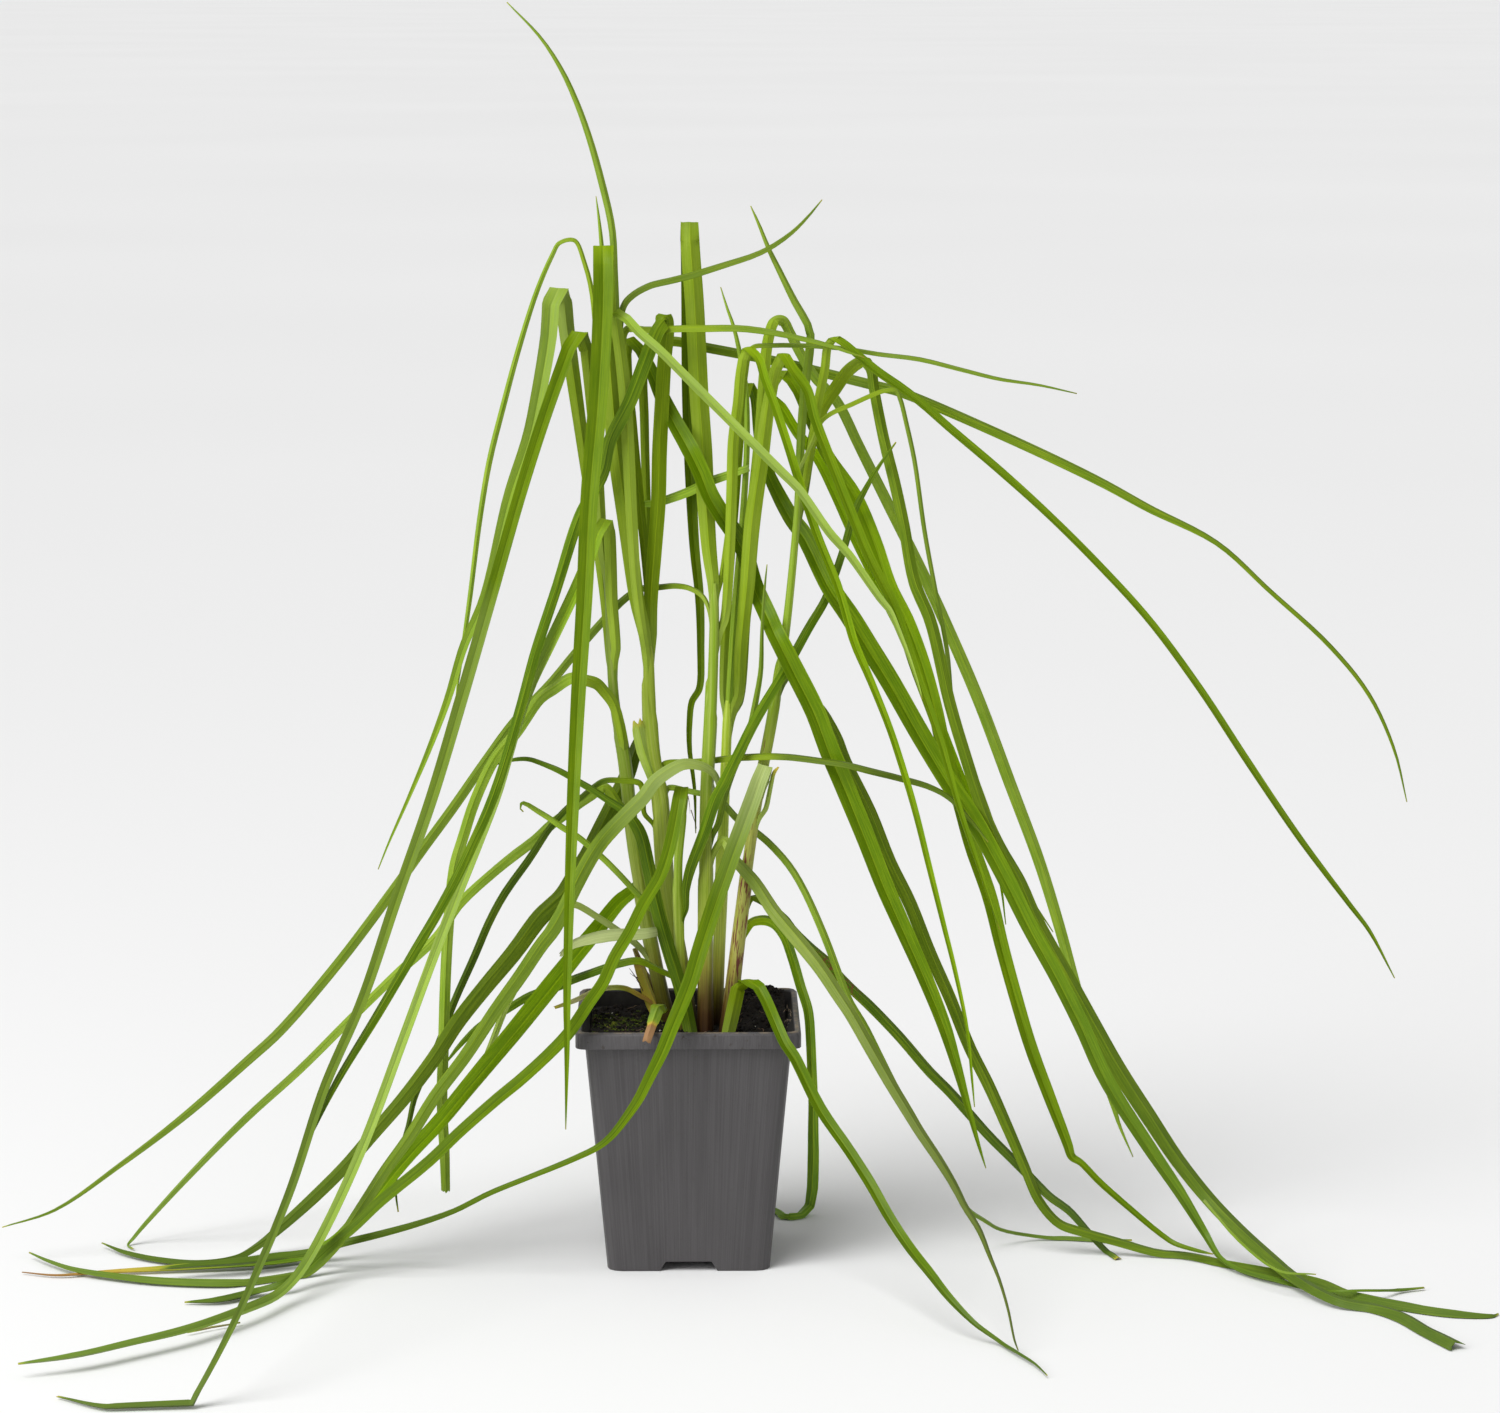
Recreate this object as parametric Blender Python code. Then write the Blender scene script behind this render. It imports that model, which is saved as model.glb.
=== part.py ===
"""A potted umbrella sedge: a square nursery pot, its soil, seven shoots and their long kinked leaves.

The pot stands on z = 0 with its axis on the z axis and its front face towards -y.
Run it with: blender --background --python part.py
"""

import math

import bmesh
import bpy
from mathutils import Vector

MM = 0.001

# The pot.
POT_HEIGHT = 100 * MM
RIM_HALF = 44.8 * MM
RIM_DEPTH = 6.6 * MM
RIM_CORNER = 4.0 * MM
BODY_TOP_HALF = 41.1 * MM
BODY_BASE_HALF = 32.6 * MM
BODY_CHAMFER = 6.0 * MM
WALL = 1.2 * MM
LIP_EDGE = 1.0 * MM
FLOOR_THICKNESS = 6.0 * MM
NOTCH_HEIGHT = 3.9 * MM
NOTCH_WIDTH_LOW = 23.2 * MM
NOTCH_WIDTH_HIGH = 18.3 * MM
NOTCH_REACH = 15.0 * MM
DRAIN_RADIUS = 4.0 * MM
DRAIN_OFFSET = 21.0 * MM
DRAIN_SIDES = 12
CORNER_STEPS = 3

# The soil.
SOIL_GAP = 0.4 * MM
SOIL_LEVEL = 93.6 * MM
SOIL_RINGS = 6
SOIL_LUMP = 0.9 * MM
MOUND_HEIGHT = 6.0 * MM
MOUND_PLACE = (33 * MM, 27 * MM)
MOUND_SPREAD = 19 * MM
RIPPLE_SHARE = 0.6
RIPPLE_ACROSS = 230
RIPPLE_BACK = 190
RIPPLE_SLANT = 410
SOIL_SHOULDER = 3 * MM
SOIL_SLOPE = 1 * MM

# How the plant is drawn: on an upright sheet at full size, as it looks from the front, from a
# standing eye that looks slightly down on it. Across is to the right of the pot's axis and up is
# above the pot's foot. Near is how far a point stands in front of the pot's axis.
EYE = Vector((0.0, -2.0, 0.523))
LOOK_DOWN = math.radians(8.5)
SHEET_DISTANCE = 2017.2 * MM
SHEET_TO_AXIS = 25.2 * MM
SHEET_TO_FOOT = 226.2 * MM
LOOK_RIGHT = math.atan2(SHEET_TO_AXIS, SHEET_DISTANCE)
LAID = None

# The shoots and leaves.
TOUCH_GAP = 0.3 * MM
SHOOT_SIDES = 8
SHOOT_FLATNESS = 0.86
REST_HEIGHT = 0.9 * MM
BLADE_THICKNESS = 0.9 * MM
TIP_THICKNESS = 0.3 * MM
KEEL_SHARE = 0.17
MARGIN_SHARE = 0.2
GROUND_GAP = 0.35 * MM
UPWARD_LEAN = 0.8
FLATTEST = 3.0
CURVE_STEPS = 16
STATION_ANGLE = math.radians(21)
STATION_LENGTH = 42 * MM
BEND_SHARE = 0.8
KEEL_BEND_SHARE = 0.4
SIDE_CARRY = 0.25
LEAST_BEND_LENGTH = 0.2 * MM
LEAST_HALF_WIDTH = 0.15 * MM
LEAST_KEEL = 0.02 * MM


def clear_scene():
    """Empty the file of its starting objects."""
    for thing in list(bpy.data.objects):
        bpy.data.objects.remove(thing, do_unlink=True)


def new_collection(name):
    """A collection linked to the scene."""
    group = bpy.data.collections.new(name)
    bpy.context.scene.collection.children.link(group)
    return group


def new_material(name, colour, roughness, metallic=0.0):
    """A Principled material of one plain colour."""
    material = bpy.data.materials.new(name)
    material.use_nodes = True
    shader = material.node_tree.nodes["Principled BSDF"]
    shader.inputs["Base Color"].default_value = (*colour, 1.0)
    shader.inputs["Roughness"].default_value = roughness
    shader.inputs["Metallic"].default_value = metallic
    material.diffuse_color = (*colour, 1.0)
    return material


def new_object(name, mesh, material, group):
    """An object that holds one mesh and one material."""
    thing = bpy.data.objects.new(name, mesh)
    mesh.materials.append(material)
    group.objects.link(thing)
    return thing


def mesh_from(name, vertices, faces):
    """A closed mesh with its faces pointing out."""
    cage = bmesh.new()
    points = [cage.verts.new(v) for v in vertices]
    for face in faces:
        cage.faces.new([points[i] for i in face])
    bmesh.ops.recalc_face_normals(cage, faces=cage.faces)
    mesh = bpy.data.meshes.new(name)
    cage.to_mesh(mesh)
    cage.free()
    return mesh


def loft(sections, close_start=True, close_end=True):
    """Vertices and faces that join rings of the same number of points, one after another."""
    count = len(sections[0])
    vertices = [point for ring in sections for point in ring]
    faces = []
    for ring in range(len(sections) - 1):
        low = ring * count
        high = low + count
        for i in range(count):
            j = (i + 1) % count
            faces.append((low + i, low + j, high + j, high + i))
    if close_start:
        faces.append(tuple(reversed(range(count))))
    if close_end:
        last = (len(sections) - 1) * count
        faces.append(tuple(range(last, last + count)))
    return vertices, faces


def square_ring(half, corner, z, steps=CORNER_STEPS):
    """A square with cut corners: each corner is an arc of a few steps, or one flat when steps is 1."""
    ring = []
    for quarter in range(4):
        turn = quarter * math.pi / 2
        for step in range(steps + 1):
            angle = turn + step * math.pi / 2 / steps
            centre = half - corner
            x = centre * (math.cos(turn) - math.sin(turn)) + corner * math.cos(angle)
            y = centre * (math.sin(turn) + math.cos(turn)) + corner * math.sin(angle)
            ring.append(Vector((x, y, z)))
    return ring


def body_half(z):
    """Half the pot's outside width below its rim, at one height."""
    return BODY_BASE_HALF + (BODY_TOP_HALF - BODY_BASE_HALF) * z / (POT_HEIGHT - RIM_DEPTH)


def wedge_cutter(name, turn, group):
    """A block with sloping ends, for one of the arches in the pot's foot."""
    below = 2 * MM
    far = BODY_BASE_HALF + 6 * MM
    near = BODY_BASE_HALF - NOTCH_REACH
    slope = (NOTCH_WIDTH_LOW - NOTCH_WIDTH_HIGH) / 2 / NOTCH_HEIGHT
    low = NOTCH_WIDTH_LOW / 2 + slope * below
    high = NOTCH_WIDTH_HIGH / 2
    outline = [(-low, -below), (low, -below), (high, NOTCH_HEIGHT), (-high, NOTCH_HEIGHT)]
    sections = [[Vector((x, y, z)) for x, z in outline] for y in (-far, -near)]
    mesh = mesh_from(name, *loft(sections))
    cutter = bpy.data.objects.new(name, mesh)
    cutter.rotation_euler.z = turn
    return hide_cutter(cutter, group)


def drain_cutter(name, x, y, group):
    """A short rod, for one drain hole."""
    cage = bmesh.new()
    bmesh.ops.create_cone(cage, cap_ends=True, segments=DRAIN_SIDES, radius1=DRAIN_RADIUS,
                          radius2=DRAIN_RADIUS, depth=4 * FLOOR_THICKNESS)
    mesh = bpy.data.meshes.new(name)
    cage.to_mesh(mesh)
    cage.free()
    cutter = bpy.data.objects.new(name, mesh)
    cutter.location = (x, y, 0.0)
    return hide_cutter(cutter, group)


def hide_cutter(cutter, group):
    """Keep a cutter out of the finished part."""
    cutter.hide_render = True
    cutter.display_type = "WIRE"
    group.objects.link(cutter)
    return cutter


def cut(thing, cutter):
    """Take a cutter's shape out of a thing."""
    boolean = thing.modifiers.new("cut_" + cutter.name, "BOOLEAN")
    boolean.operation = "DIFFERENCE"
    boolean.object = cutter
    boolean.solver = "EXACT"


def build_pot(group, cutters):
    """The moulded pot: a tapered body with flat corners, a turned-out rim and arches in its foot."""
    plastic = new_material("pot_plastic", (0.082, 0.078, 0.080), 0.55)
    rim_low = POT_HEIGHT - RIM_DEPTH
    inner = RIM_HALF - LIP_EDGE - WALL
    rings = [
        square_ring(BODY_BASE_HALF, BODY_CHAMFER, 0.0),
        square_ring(BODY_TOP_HALF, BODY_CHAMFER, rim_low),
        square_ring(RIM_HALF, RIM_CORNER, rim_low),
        square_ring(RIM_HALF, RIM_CORNER, POT_HEIGHT - LIP_EDGE),
        square_ring(RIM_HALF - LIP_EDGE, RIM_CORNER, POT_HEIGHT),
        square_ring(inner, RIM_CORNER, POT_HEIGHT),
        square_ring(BODY_TOP_HALF - WALL, BODY_CHAMFER - WALL, rim_low),
        square_ring(body_half(FLOOR_THICKNESS) - WALL, BODY_CHAMFER - WALL, FLOOR_THICKNESS),
    ]
    pot = new_object("pot", mesh_from("pot", *loft(rings)), plastic, group)
    for side in range(4):
        cut(pot, wedge_cutter(f"foot_arch_cutter_{side + 1}", side * math.pi / 2, cutters))
    drains = [(x, y) for x in (-DRAIN_OFFSET, DRAIN_OFFSET) for y in (-DRAIN_OFFSET, DRAIN_OFFSET)]
    for number, (x, y) in enumerate(drains):
        cut(pot, drain_cutter(f"drain_cutter_{number + 1}", x, y, cutters))


def soil_height(x, y):
    """The height of the soil's lumpy top, with its mound at the right and back."""
    away = math.hypot(x - MOUND_PLACE[0], y - MOUND_PLACE[1]) / MOUND_SPREAD
    mound = MOUND_HEIGHT * math.exp(-away * away)
    ripple = math.sin(x * RIPPLE_ACROSS + 0.6) * math.cos(y * RIPPLE_BACK - 0.4)
    ripple += 0.5 * math.sin((x + y) * RIPPLE_SLANT)
    return SOIL_LEVEL + mound + SOIL_LUMP * RIPPLE_SHARE * ripple


def build_soil(group):
    """The block of dark peat that fills the pot."""
    peat = new_material("peat", (0.022, 0.014, 0.010), 0.95)
    bottom = FLOOR_THICKNESS + SOIL_GAP
    side = WALL + SOIL_GAP
    wall_top = SOIL_LEVEL - SOIL_SHOULDER
    sections = [
        square_ring(body_half(bottom) - side, BODY_CHAMFER - WALL, bottom),
        square_ring(body_half(wall_top) - side, BODY_CHAMFER - WALL, wall_top),
    ]
    edge = body_half(SOIL_LEVEL - SOIL_SLOPE) - side
    for step in range(SOIL_RINGS):
        share = 1 - step / SOIL_RINGS
        ring = square_ring(edge * share, BODY_CHAMFER * share, 0.0)
        for point in ring:
            point.z = soil_height(point.x, point.y)
        sections.append(ring)
    vertices, faces = loft(sections, close_end=False)
    count = len(sections[0])
    last = len(vertices) - count
    vertices.append(Vector((0, 0, soil_height(0, 0))))
    centre = len(vertices) - 1
    faces += [(last + i, last + (i + 1) % count, centre) for i in range(count)]
    new_object("soil", mesh_from("soil", vertices, faces), peat, group)


def line_of_sight(across, up):
    """The direction from the eye through one point of the sheet."""
    sine = math.sin(LOOK_RIGHT)
    cosine = math.cos(LOOK_RIGHT)
    forward = Vector((sine * math.cos(LOOK_DOWN), cosine * math.cos(LOOK_DOWN), -math.sin(LOOK_DOWN)))
    right = forward.cross(Vector((0, 0, 1))).normalized()
    above = right.cross(forward)
    ahead = forward * SHEET_DISTANCE
    return ahead + right * (across - SHEET_TO_AXIS) + above * (up - SHEET_TO_FOOT)


def seen(across, up, near, rest=REST_HEIGHT):
    """The point in space of a point drawn on the sheet, standing near or lying on the ground."""
    sight = line_of_sight(across, up)
    if near is LAID:
        return EYE + sight * ((rest - EYE.z) / sight.z)
    return EYE + sight * ((-near - EYE.y) / sight.y)


def smooth_route(rows):
    """A smooth curve through rows of a point, a width and whether it is laid, as close samples."""
    points = [row[0] for row in rows]
    points = [points[0] * 2 - points[1]] + points + [points[-1] * 2 - points[-2]]
    knots = [0.0]
    for a, b in zip(points, points[1:]):
        knots.append(knots[-1] + max((b - a).length, 1e-6) ** 0.5)
    samples = []
    for span in range(1, len(points) - 2):
        p = points[span - 1:span + 3]
        t = knots[span - 1:span + 3]
        steps = CURVE_STEPS if span < len(points) - 3 else CURVE_STEPS + 1
        for step in range(steps):
            share = step / CURVE_STEPS
            now = t[1] + (t[2] - t[1]) * share
            a = [p[i].lerp(p[i + 1], (now - t[i]) / (t[i + 1] - t[i])) for i in range(3)]
            b = [a[i].lerp(a[i + 1], (now - t[i]) / (t[i + 2] - t[i])) for i in range(2)]
            place = b[0].lerp(b[1], (now - t[1]) / (t[2] - t[1]))
            before, after = rows[span - 1], rows[span]
            width = before[1] + (after[1] - before[1]) * share
            laid = before[2] + (after[2] - before[2]) * share
            samples.append((place, width, laid))
    return samples


def blade_frames(samples):
    """The place, width, tangent, side and face along a blade, turned to show the width drawn."""
    frames = []
    side = None
    widest = max(width for place, width, laid in samples)
    for i, (place, width, laid) in enumerate(samples):
        before = samples[max(i - 1, 0)][0]
        after = samples[min(i + 1, len(samples) - 1)][0]
        tangent = (after - before).normalized()
        sight = (place - EYE).normalized()
        facing = tangent.cross(sight)
        if side is None:
            side = facing.normalized()
        if facing.dot(side) < 0:
            facing = -facing
        side = facing + side * SIDE_CARRY
        side = (side - tangent * side.dot(tangent)).normalized()
        flat = tangent.cross(Vector((0, 0, 1))).normalized()
        flat_share = max(abs(flat.dot(side)), 1 / FLATTEST, min(width / widest, 1.0))
        lean = math.atan(UPWARD_LEAN * abs(side.z)) * (1 - laid) + math.acos(flat_share) * laid
        toward = side.cross(tangent)
        if toward.dot(sight) > 0:
            toward = -toward
        toward = toward * math.cos(lean) + side * math.copysign(math.sin(lean), side.z)
        leaned = tangent.cross(toward).normalized()
        if leaned.dot(side) < 0:
            leaned = -leaned
        frames.append((place, width / math.cos(lean), tangent, leaned, leaned.cross(tangent)))
    return frames


def bend_at(frames, i):
    """The curve's bend at one sample, as a vector of length one over its radius."""
    a = frames[max(i - 2, 0)]
    b = frames[min(i + 2, len(frames) - 1)]
    length = (b[0] - a[0]).length
    return (b[2] - a[2]) / max(length, LEAST_BEND_LENGTH)


def chosen_stations(frames):
    """Samples far enough apart, or turned enough, to hold the blade's shape."""
    chosen = [0]
    for i in range(1, len(frames) - 1):
        last = frames[chosen[-1]]
        turned = last[2].angle(frames[i][2], 0.0) + last[3].angle(frames[i][3], 0.0) * 0.5
        gone = (frames[i][0] - last[0]).length
        if turned > STATION_ANGLE or gone > STATION_LENGTH:
            chosen.append(i)
    chosen.append(len(frames) - 1)
    return chosen


def blade_section(frames, i):
    """The four corners of a keeled blade: two thin margins, and the midrib's top and bottom."""
    place, width, tangent, side, face = frames[i]
    bend = bend_at(frames, i)
    sideways = abs(bend.dot(side))
    facewise = abs(bend.dot(face))
    half = width / 2
    if sideways > 0:
        half = min(half, BEND_SHARE / sideways)
    half = max(half, LEAST_HALF_WIDTH)
    keel = half * 2 * KEEL_SHARE
    thick = min(BLADE_THICKNESS, TIP_THICKNESS + half * 0.5)
    if facewise > 0:
        keel = min(keel, KEEL_BEND_SHARE / facewise)
        thick = min(thick, KEEL_BEND_SHARE * 2 / facewise)
    keel = max(keel, LEAST_KEEL)
    low = place - face * (thick / 2)
    high = place + face * (thick / 2)
    margin = face * (thick * MARGIN_SHARE + keel)
    return [low, place + side * half + margin, high, place - side * half + margin]


def lift_clear(section):
    """Raise a section of a blade that would dip into the ground."""
    dip = GROUND_GAP - min(corner.z for corner in section)
    if dip > 0:
        for corner in section:
            corner.z += dip


def leaf(name, route, rest=REST_HEIGHT / MM):
    """One leaf: a long keeled blade along its own route, from its shoot to its tip."""
    rows = []
    for across, up, near, width in route:
        laid = near is LAID
        place = seen(across * MM, up * MM, LAID if laid else near * MM, rest * MM)
        rows.append((place, width * MM, float(laid)))
    frames = blade_frames(smooth_route(rows))
    sections = [blade_section(frames, i) for i in chosen_stations(frames)]
    for section in sections:
        lift_clear(section)
    new_object(name, mesh_from(name, *loft(sections)), leaf_material(name), plant)


def shoot(name, route, colour):
    """One shoot: a leaning stack of leaf sheaths, cut level just above the soil."""
    rows = [(seen(across * MM, up * MM, near * MM), width * MM, 0.0)
            for across, up, near, width in route]
    samples = smooth_route(rows)[::CURVE_STEPS // 2]
    sections = []
    for i, (place, width, _) in enumerate(samples):
        before = samples[max(i - 1, 0)][0]
        after = samples[min(i + 1, len(samples) - 1)][0]
        tangent = (after - before).normalized()
        if i == 0:
            tangent = Vector((0, 0, 1))
        sight = (place - EYE).normalized()
        side = tangent.cross(sight).normalized()
        face = side.cross(tangent)
        ring = []
        for corner in range(SHOOT_SIDES):
            angle = 2 * math.pi * (corner + 0.5) / SHOOT_SIDES
            out = side * math.cos(angle) + face * math.sin(angle) * SHOOT_FLATNESS
            ring.append(place + out * (width / 2))
        sections.append(ring)
    foot = max(soil_height(point.x, point.y) for point in sections[0])
    for point in sections[0]:
        point.z = foot + TOUCH_GAP
    new_object(name, mesh_from(name, *loft(sections)), new_material(name, colour, 0.5), plant)


BRIGHT = (0.19, 0.33, 0.012)
OLIVE = (0.17, 0.26, 0.020)
DARK = (0.075, 0.19, 0.010)
DULL = (0.14, 0.25, 0.060)
PALE = (0.38, 0.47, 0.17)
STRAW = (0.50, 0.50, 0.22)
LEAF_COLOURS = {
    "leaf_left_yellowing": OLIVE, "leaf_right_olive": OLIVE, "leaf_right_blunt": OLIVE,
    "leaf_level_long": OLIVE, "leaf_right_floor": OLIVE, "leaf_right_broad": OLIVE,
    "leaf_left_broad": OLIVE, "leaf_base_right": OLIVE,
    "leaf_dark_looped": DARK, "leaf_low_dark": DARK, "leaf_low_wiry": DARK, "leaf_spotted": DARK,
    "leaf_behind_pot": DARK, "leaf_dark_rising": DARK, "leaf_low_green": DARK,
    "leaf_dark_spike": DULL, "leaf_dark_level": DULL, "leaf_front_left": DULL,
    "leaf_over_pot_front": DULL, "leaf_arched_over_left": DULL, "leaf_far_left": DULL,
    "leaf_far_right": DULL, "leaf_right_wiry": DULL, "leaf_low_right": DULL, "leaf_left_light": DULL,
    "leaf_level_wiry": DULL, "leaf_brown_tipped": DULL,
    "leaf_pale_right": PALE, "leaf_dry_pale": PALE, "leaf_left_short": PALE,
    "leaf_dry_wiry": STRAW,
}
LEAF_MATERIALS = {}


def leaf_material(name):
    """The leaf's own green, shared by leaves of the same colour."""
    colour = LEAF_COLOURS.get(name, BRIGHT)
    if colour not in LEAF_MATERIALS:
        LEAF_MATERIALS[colour] = new_material(f"leaf_green_{len(LEAF_MATERIALS) + 1}", colour, 0.45)
    return LEAF_MATERIALS[colour]


# Each row of a route is across, up, near and the width seen, in millimetres.

def build_shoots():
    """The seven shoots, from the left to the right of the clump."""
    pale = (0.42, 0.48, 0.18)
    green = (0.28, 0.40, 0.07)
    brown = (0.36, 0.30, 0.12)
    shoot("shoot_withered", [(-11, 97, -19, 4.4), (-13, 108, -19, 4), (-17, 119, -20, 3.4),
                             (-21, 129.5, -21, 2.4)], brown)
    shoot("shoot_left", [(-6.5, 97, -10, 5.6), (-13, 125, -10, 5.8), (-21, 169, -9, 6),
                         (-25, 205, -8, 5.6), (-29, 229, -8, 5.2), (-31, 269, -7, 4.8),
                         (-32.5, 284, -7, 4)], green)
    shoot("shoot_middle", [(1, 95, 2, 7), (-4, 129, 2, 7), (-8, 149, 2, 7), (-11, 189, 1.5, 6.8),
                           (-14, 209, 1, 6.4), (-15, 229, 0, 6), (-15.5, 253.2, 0, 5.2)], pale)
    shoot("shoot_narrow", [(-1, 95, 9.5, 4), (-3, 129, 9.5, 4), (-3.5, 149, 10, 4),
                           (-3.5, 165, 10.5, 4), (-2, 181, 11, 4), (-1.5, 190, 11, 4)], green)
    shoot("shoot_centre", [(7.5, 95, 9, 5.6), (7.6, 149, 9, 5.6), (8, 189, 8, 5.6),
                           (10, 229, 7, 5.4), (11, 261, 6, 5), (11, 275.5, 6, 4.4)], green)
    shoot("shoot_back", [(12, 97, -4, 4.6), (13, 129, -5, 4.8), (14, 157, -6, 4.8),
                         (15, 189, -7, 4.8), (16.5, 228.6, -9, 4.4)], pale)
    shoot("shoot_right", [(16, 95, 14, 6), (18.5, 117, 14, 5.5), (22.5, 149, 13, 5),
                          (28, 189, 10, 5), (34, 221, 6, 4.6), (39, 253, 4, 4.6),
                          (42.5, 285, 2, 4.2), (45, 316, 0, 3.6)], green)


def build_left_leaves():
    """The leaves that fall to the left."""
    leaf("leaf_tall_upright", [
        (-17.5, 256, -1, 3), (-21, 275, -1, 3.6), (-25, 305, -1, 3.4), (-27.5, 340, -1, 3),
        (-28, 370, 0, 3), (-29, 400, 1, 2.8), (-30, 418, 1, 2.8), (-34.5, 438, 0, 2.8),
        (-39, 454, 0, 2.5), (-44, 468, -1, 2.2), (-50, 481, -2, 1.8), (-58.5, 494, -3, 1.2),
        (-72, 508, -5, 0.4)])
    leaf("leaf_long_hanging", [
        (-17, 256, 3.5, 5), (-20, 270, 3, 6), (-24, 300, 3, 7), (-28, 330, 3, 7.6), (-31, 365, 3, 8),
        (-33, 395, 3, 8), (-33.5, 408, 4, 8), (-33.5, 410.5, 7.5, 8), (-33.5, 408, 11, 8),
        (-33.5, 400, 13, 8), (-33.5, 389, 14, 8), (-35.5, 349, 16, 7.6), (-39, 309, 19, 7),
        (-41, 269, 22, 6.4), (-43.5, 229, 27, 5.8), (-45.5, 189, 35, 5), (-47, 149, 44, 4),
        (-48, 109, 53, 3), (-48, 89, 56, 2.2), (-48.5, 57, 60, 0.4)])
    leaf("leaf_wiry_arch", [
        (-34, 290, -11, 2), (-35, 333, -12, 2), (-36, 365, -12, 2), (-38, 392, -12, 2),
        (-41, 404, -12, 1.8), (-45, 413, -12, 1.6), (-51, 412, -12, 1.6), (-54, 407, -13, 1.8),
        (-60, 393, -14, 2), (-67, 371, -15, 2.2), (-73.5, 347, -17, 2.4), (-79, 325, -19, 2.4),
        (-83, 301, -21, 2.2), (-87, 269, -24, 2), (-91, 241, -26, 1.4), (-92.5, 229, -27, 0.4)])
    leaf("leaf_left_folded_high", [
        (-31, 246, -12.5, 3), (-33, 269, -14, 3.4), (-36, 293, -16, 4), (-39, 313, -17, 4.4),
        (-43.5, 345, -17, 5.4), (-48, 377, -16, 6.4), (-49.5, 390, -13.5, 6.8), (-51, 393.5, -10, 7),
        (-53.5, 391, -7, 7), (-55.5, 372, -4, 6.6), (-59.5, 349, -2, 6), (-63, 333, 0, 5.6),
        (-71, 309, 3, 5), (-81, 269, 8, 3.8), (-89.5, 249, 11, 3.4), (-95.5, 229, 14, 3),
        (-103, 209, 18, 2.2), (-111.5, 189, 22, 1.4), (-119.5, 171, 26, 0.8), (-123.5, 161, 28, 0.4)])
    leaf("leaf_left_folded_long", [
        (-33.5, 288, -8, 4), (-36, 325, -9, 4.6), (-38, 349, -9, 5), (-39.5, 365, -8, 5.4),
        (-40.5, 373.5, -6, 5.6), (-42.5, 376, -3, 5.6), (-45, 374.5, 0, 5.6), (-48.5, 365, 3, 5.4),
        (-57, 341, 7, 5.2), (-66.5, 311, 12, 5), (-78.5, 269, 20, 5), (-90, 229, 30, 5),
        (-102, 189, 44, 4.8), (-116, 149, 63, 4.4), (-129.5, 109, 90, 4), (-145, 73, 122, 3.6),
        (-159, 31, 165, 3.2), (-174, -5, 200, 2.8), (-188, -35, 228, 2.2), (-197.5, -53.5, LAID, 1.8),
        (-229, -55, LAID, 1.4), (-252, -50, LAID, 0.4)])
    leaf("leaf_dark_looped", [
        (-14.5, 255, -1.5, 5), (-14.5, 269, -2, 5.6), (-13, 289, -3, 5.8), (-11.5, 309, -3.5, 6),
        (-11, 329, -4, 6), (-10, 349, -4, 5.8), (-9, 366, -4, 5.6), (-8, 377, -3, 5.6),
        (-8.5, 381, 0.5, 5.6), (-11.5, 378, 5, 5.6), (-15, 370, 8, 5.6), (-18, 362, 9, 5.6),
        (-23, 349, 10.5, 5.4), (-31, 333, 10.5, 5.2), (-34, 320, 10, 5), (-43, 303, 9, 4.6),
        (-52, 275, 10, 4.2), (-60.5, 249, 13, 4.2), (-67, 225, 18, 4), (-77.5, 191, 28, 4),
        (-91, 161, 44, 4), (-99.5, 145, 54, 4), (-109, 129, 68, 3.8), (-123, 105, 88, 3.4),
        (-141, 75, 118, 2.6), (-151.5, 53, 140, 1)])
    leaf("leaf_left_light", [
        (-28.5, 250, -3, 4), (-30, 269, -2, 4.8), (-30.5, 285, -1, 4.8), (-31, 296, 0, 4.8),
        (-32, 301, 2, 4.8), (-34, 299, 5, 4.8), (-39, 285, 5, 4.8), (-45, 271, 5, 4.8),
        (-55.5, 249, 7, 4.8), (-63, 233, 10, 4.6), (-69, 215, 13, 4.4), (-76, 191, 17, 4.4),
        (-83.5, 171, 20, 4.2), (-91.5, 151, 24, 4.2), (-103, 121, 29, 4), (-114, 91, 33, 4),
        (-129, 51, 36, 4), (-143.5, 19, 48, 4), (-155, -1, 74, 3.8), (-162.5, -9, LAID, 3.6),
        (-175, -15, LAID, 3.6), (-199, -23.5, LAID, 3.2), (-223, -29.5, LAID, 2.4),
        (-245, -34.3, LAID, 1.6), (-267.5, -37, LAID, 0.4)], 5.6)
    leaf("leaf_far_left", [
        (6, 271, 1, 2), (1, 274, -1, 2), (-5, 275, -6, 2.2), (-11, 274.5, -10, 2.4),
        (-17.5, 274, -14, 2.6), (-22, 272, -17, 2.8), (-27, 268, -19, 3), (-35.5, 259, -21, 3.2),
        (-45, 248, -21, 3.2), (-54, 237, -21, 3.4), (-69, 221, -20, 3.6), (-80, 206, -20, 3.8),
        (-94, 186, -18, 4), (-105, 171, -16, 4), (-115, 157, -14, 4), (-139, 125, -8, 4),
        (-163, 97, -2, 4), (-175, 86, 0, 3.8), (-201, 63, 4, 3), (-227, 43, 8, 2),
        (-253, 25, 12, 1.2), (-274, 18, 14, 0.4)])
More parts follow.
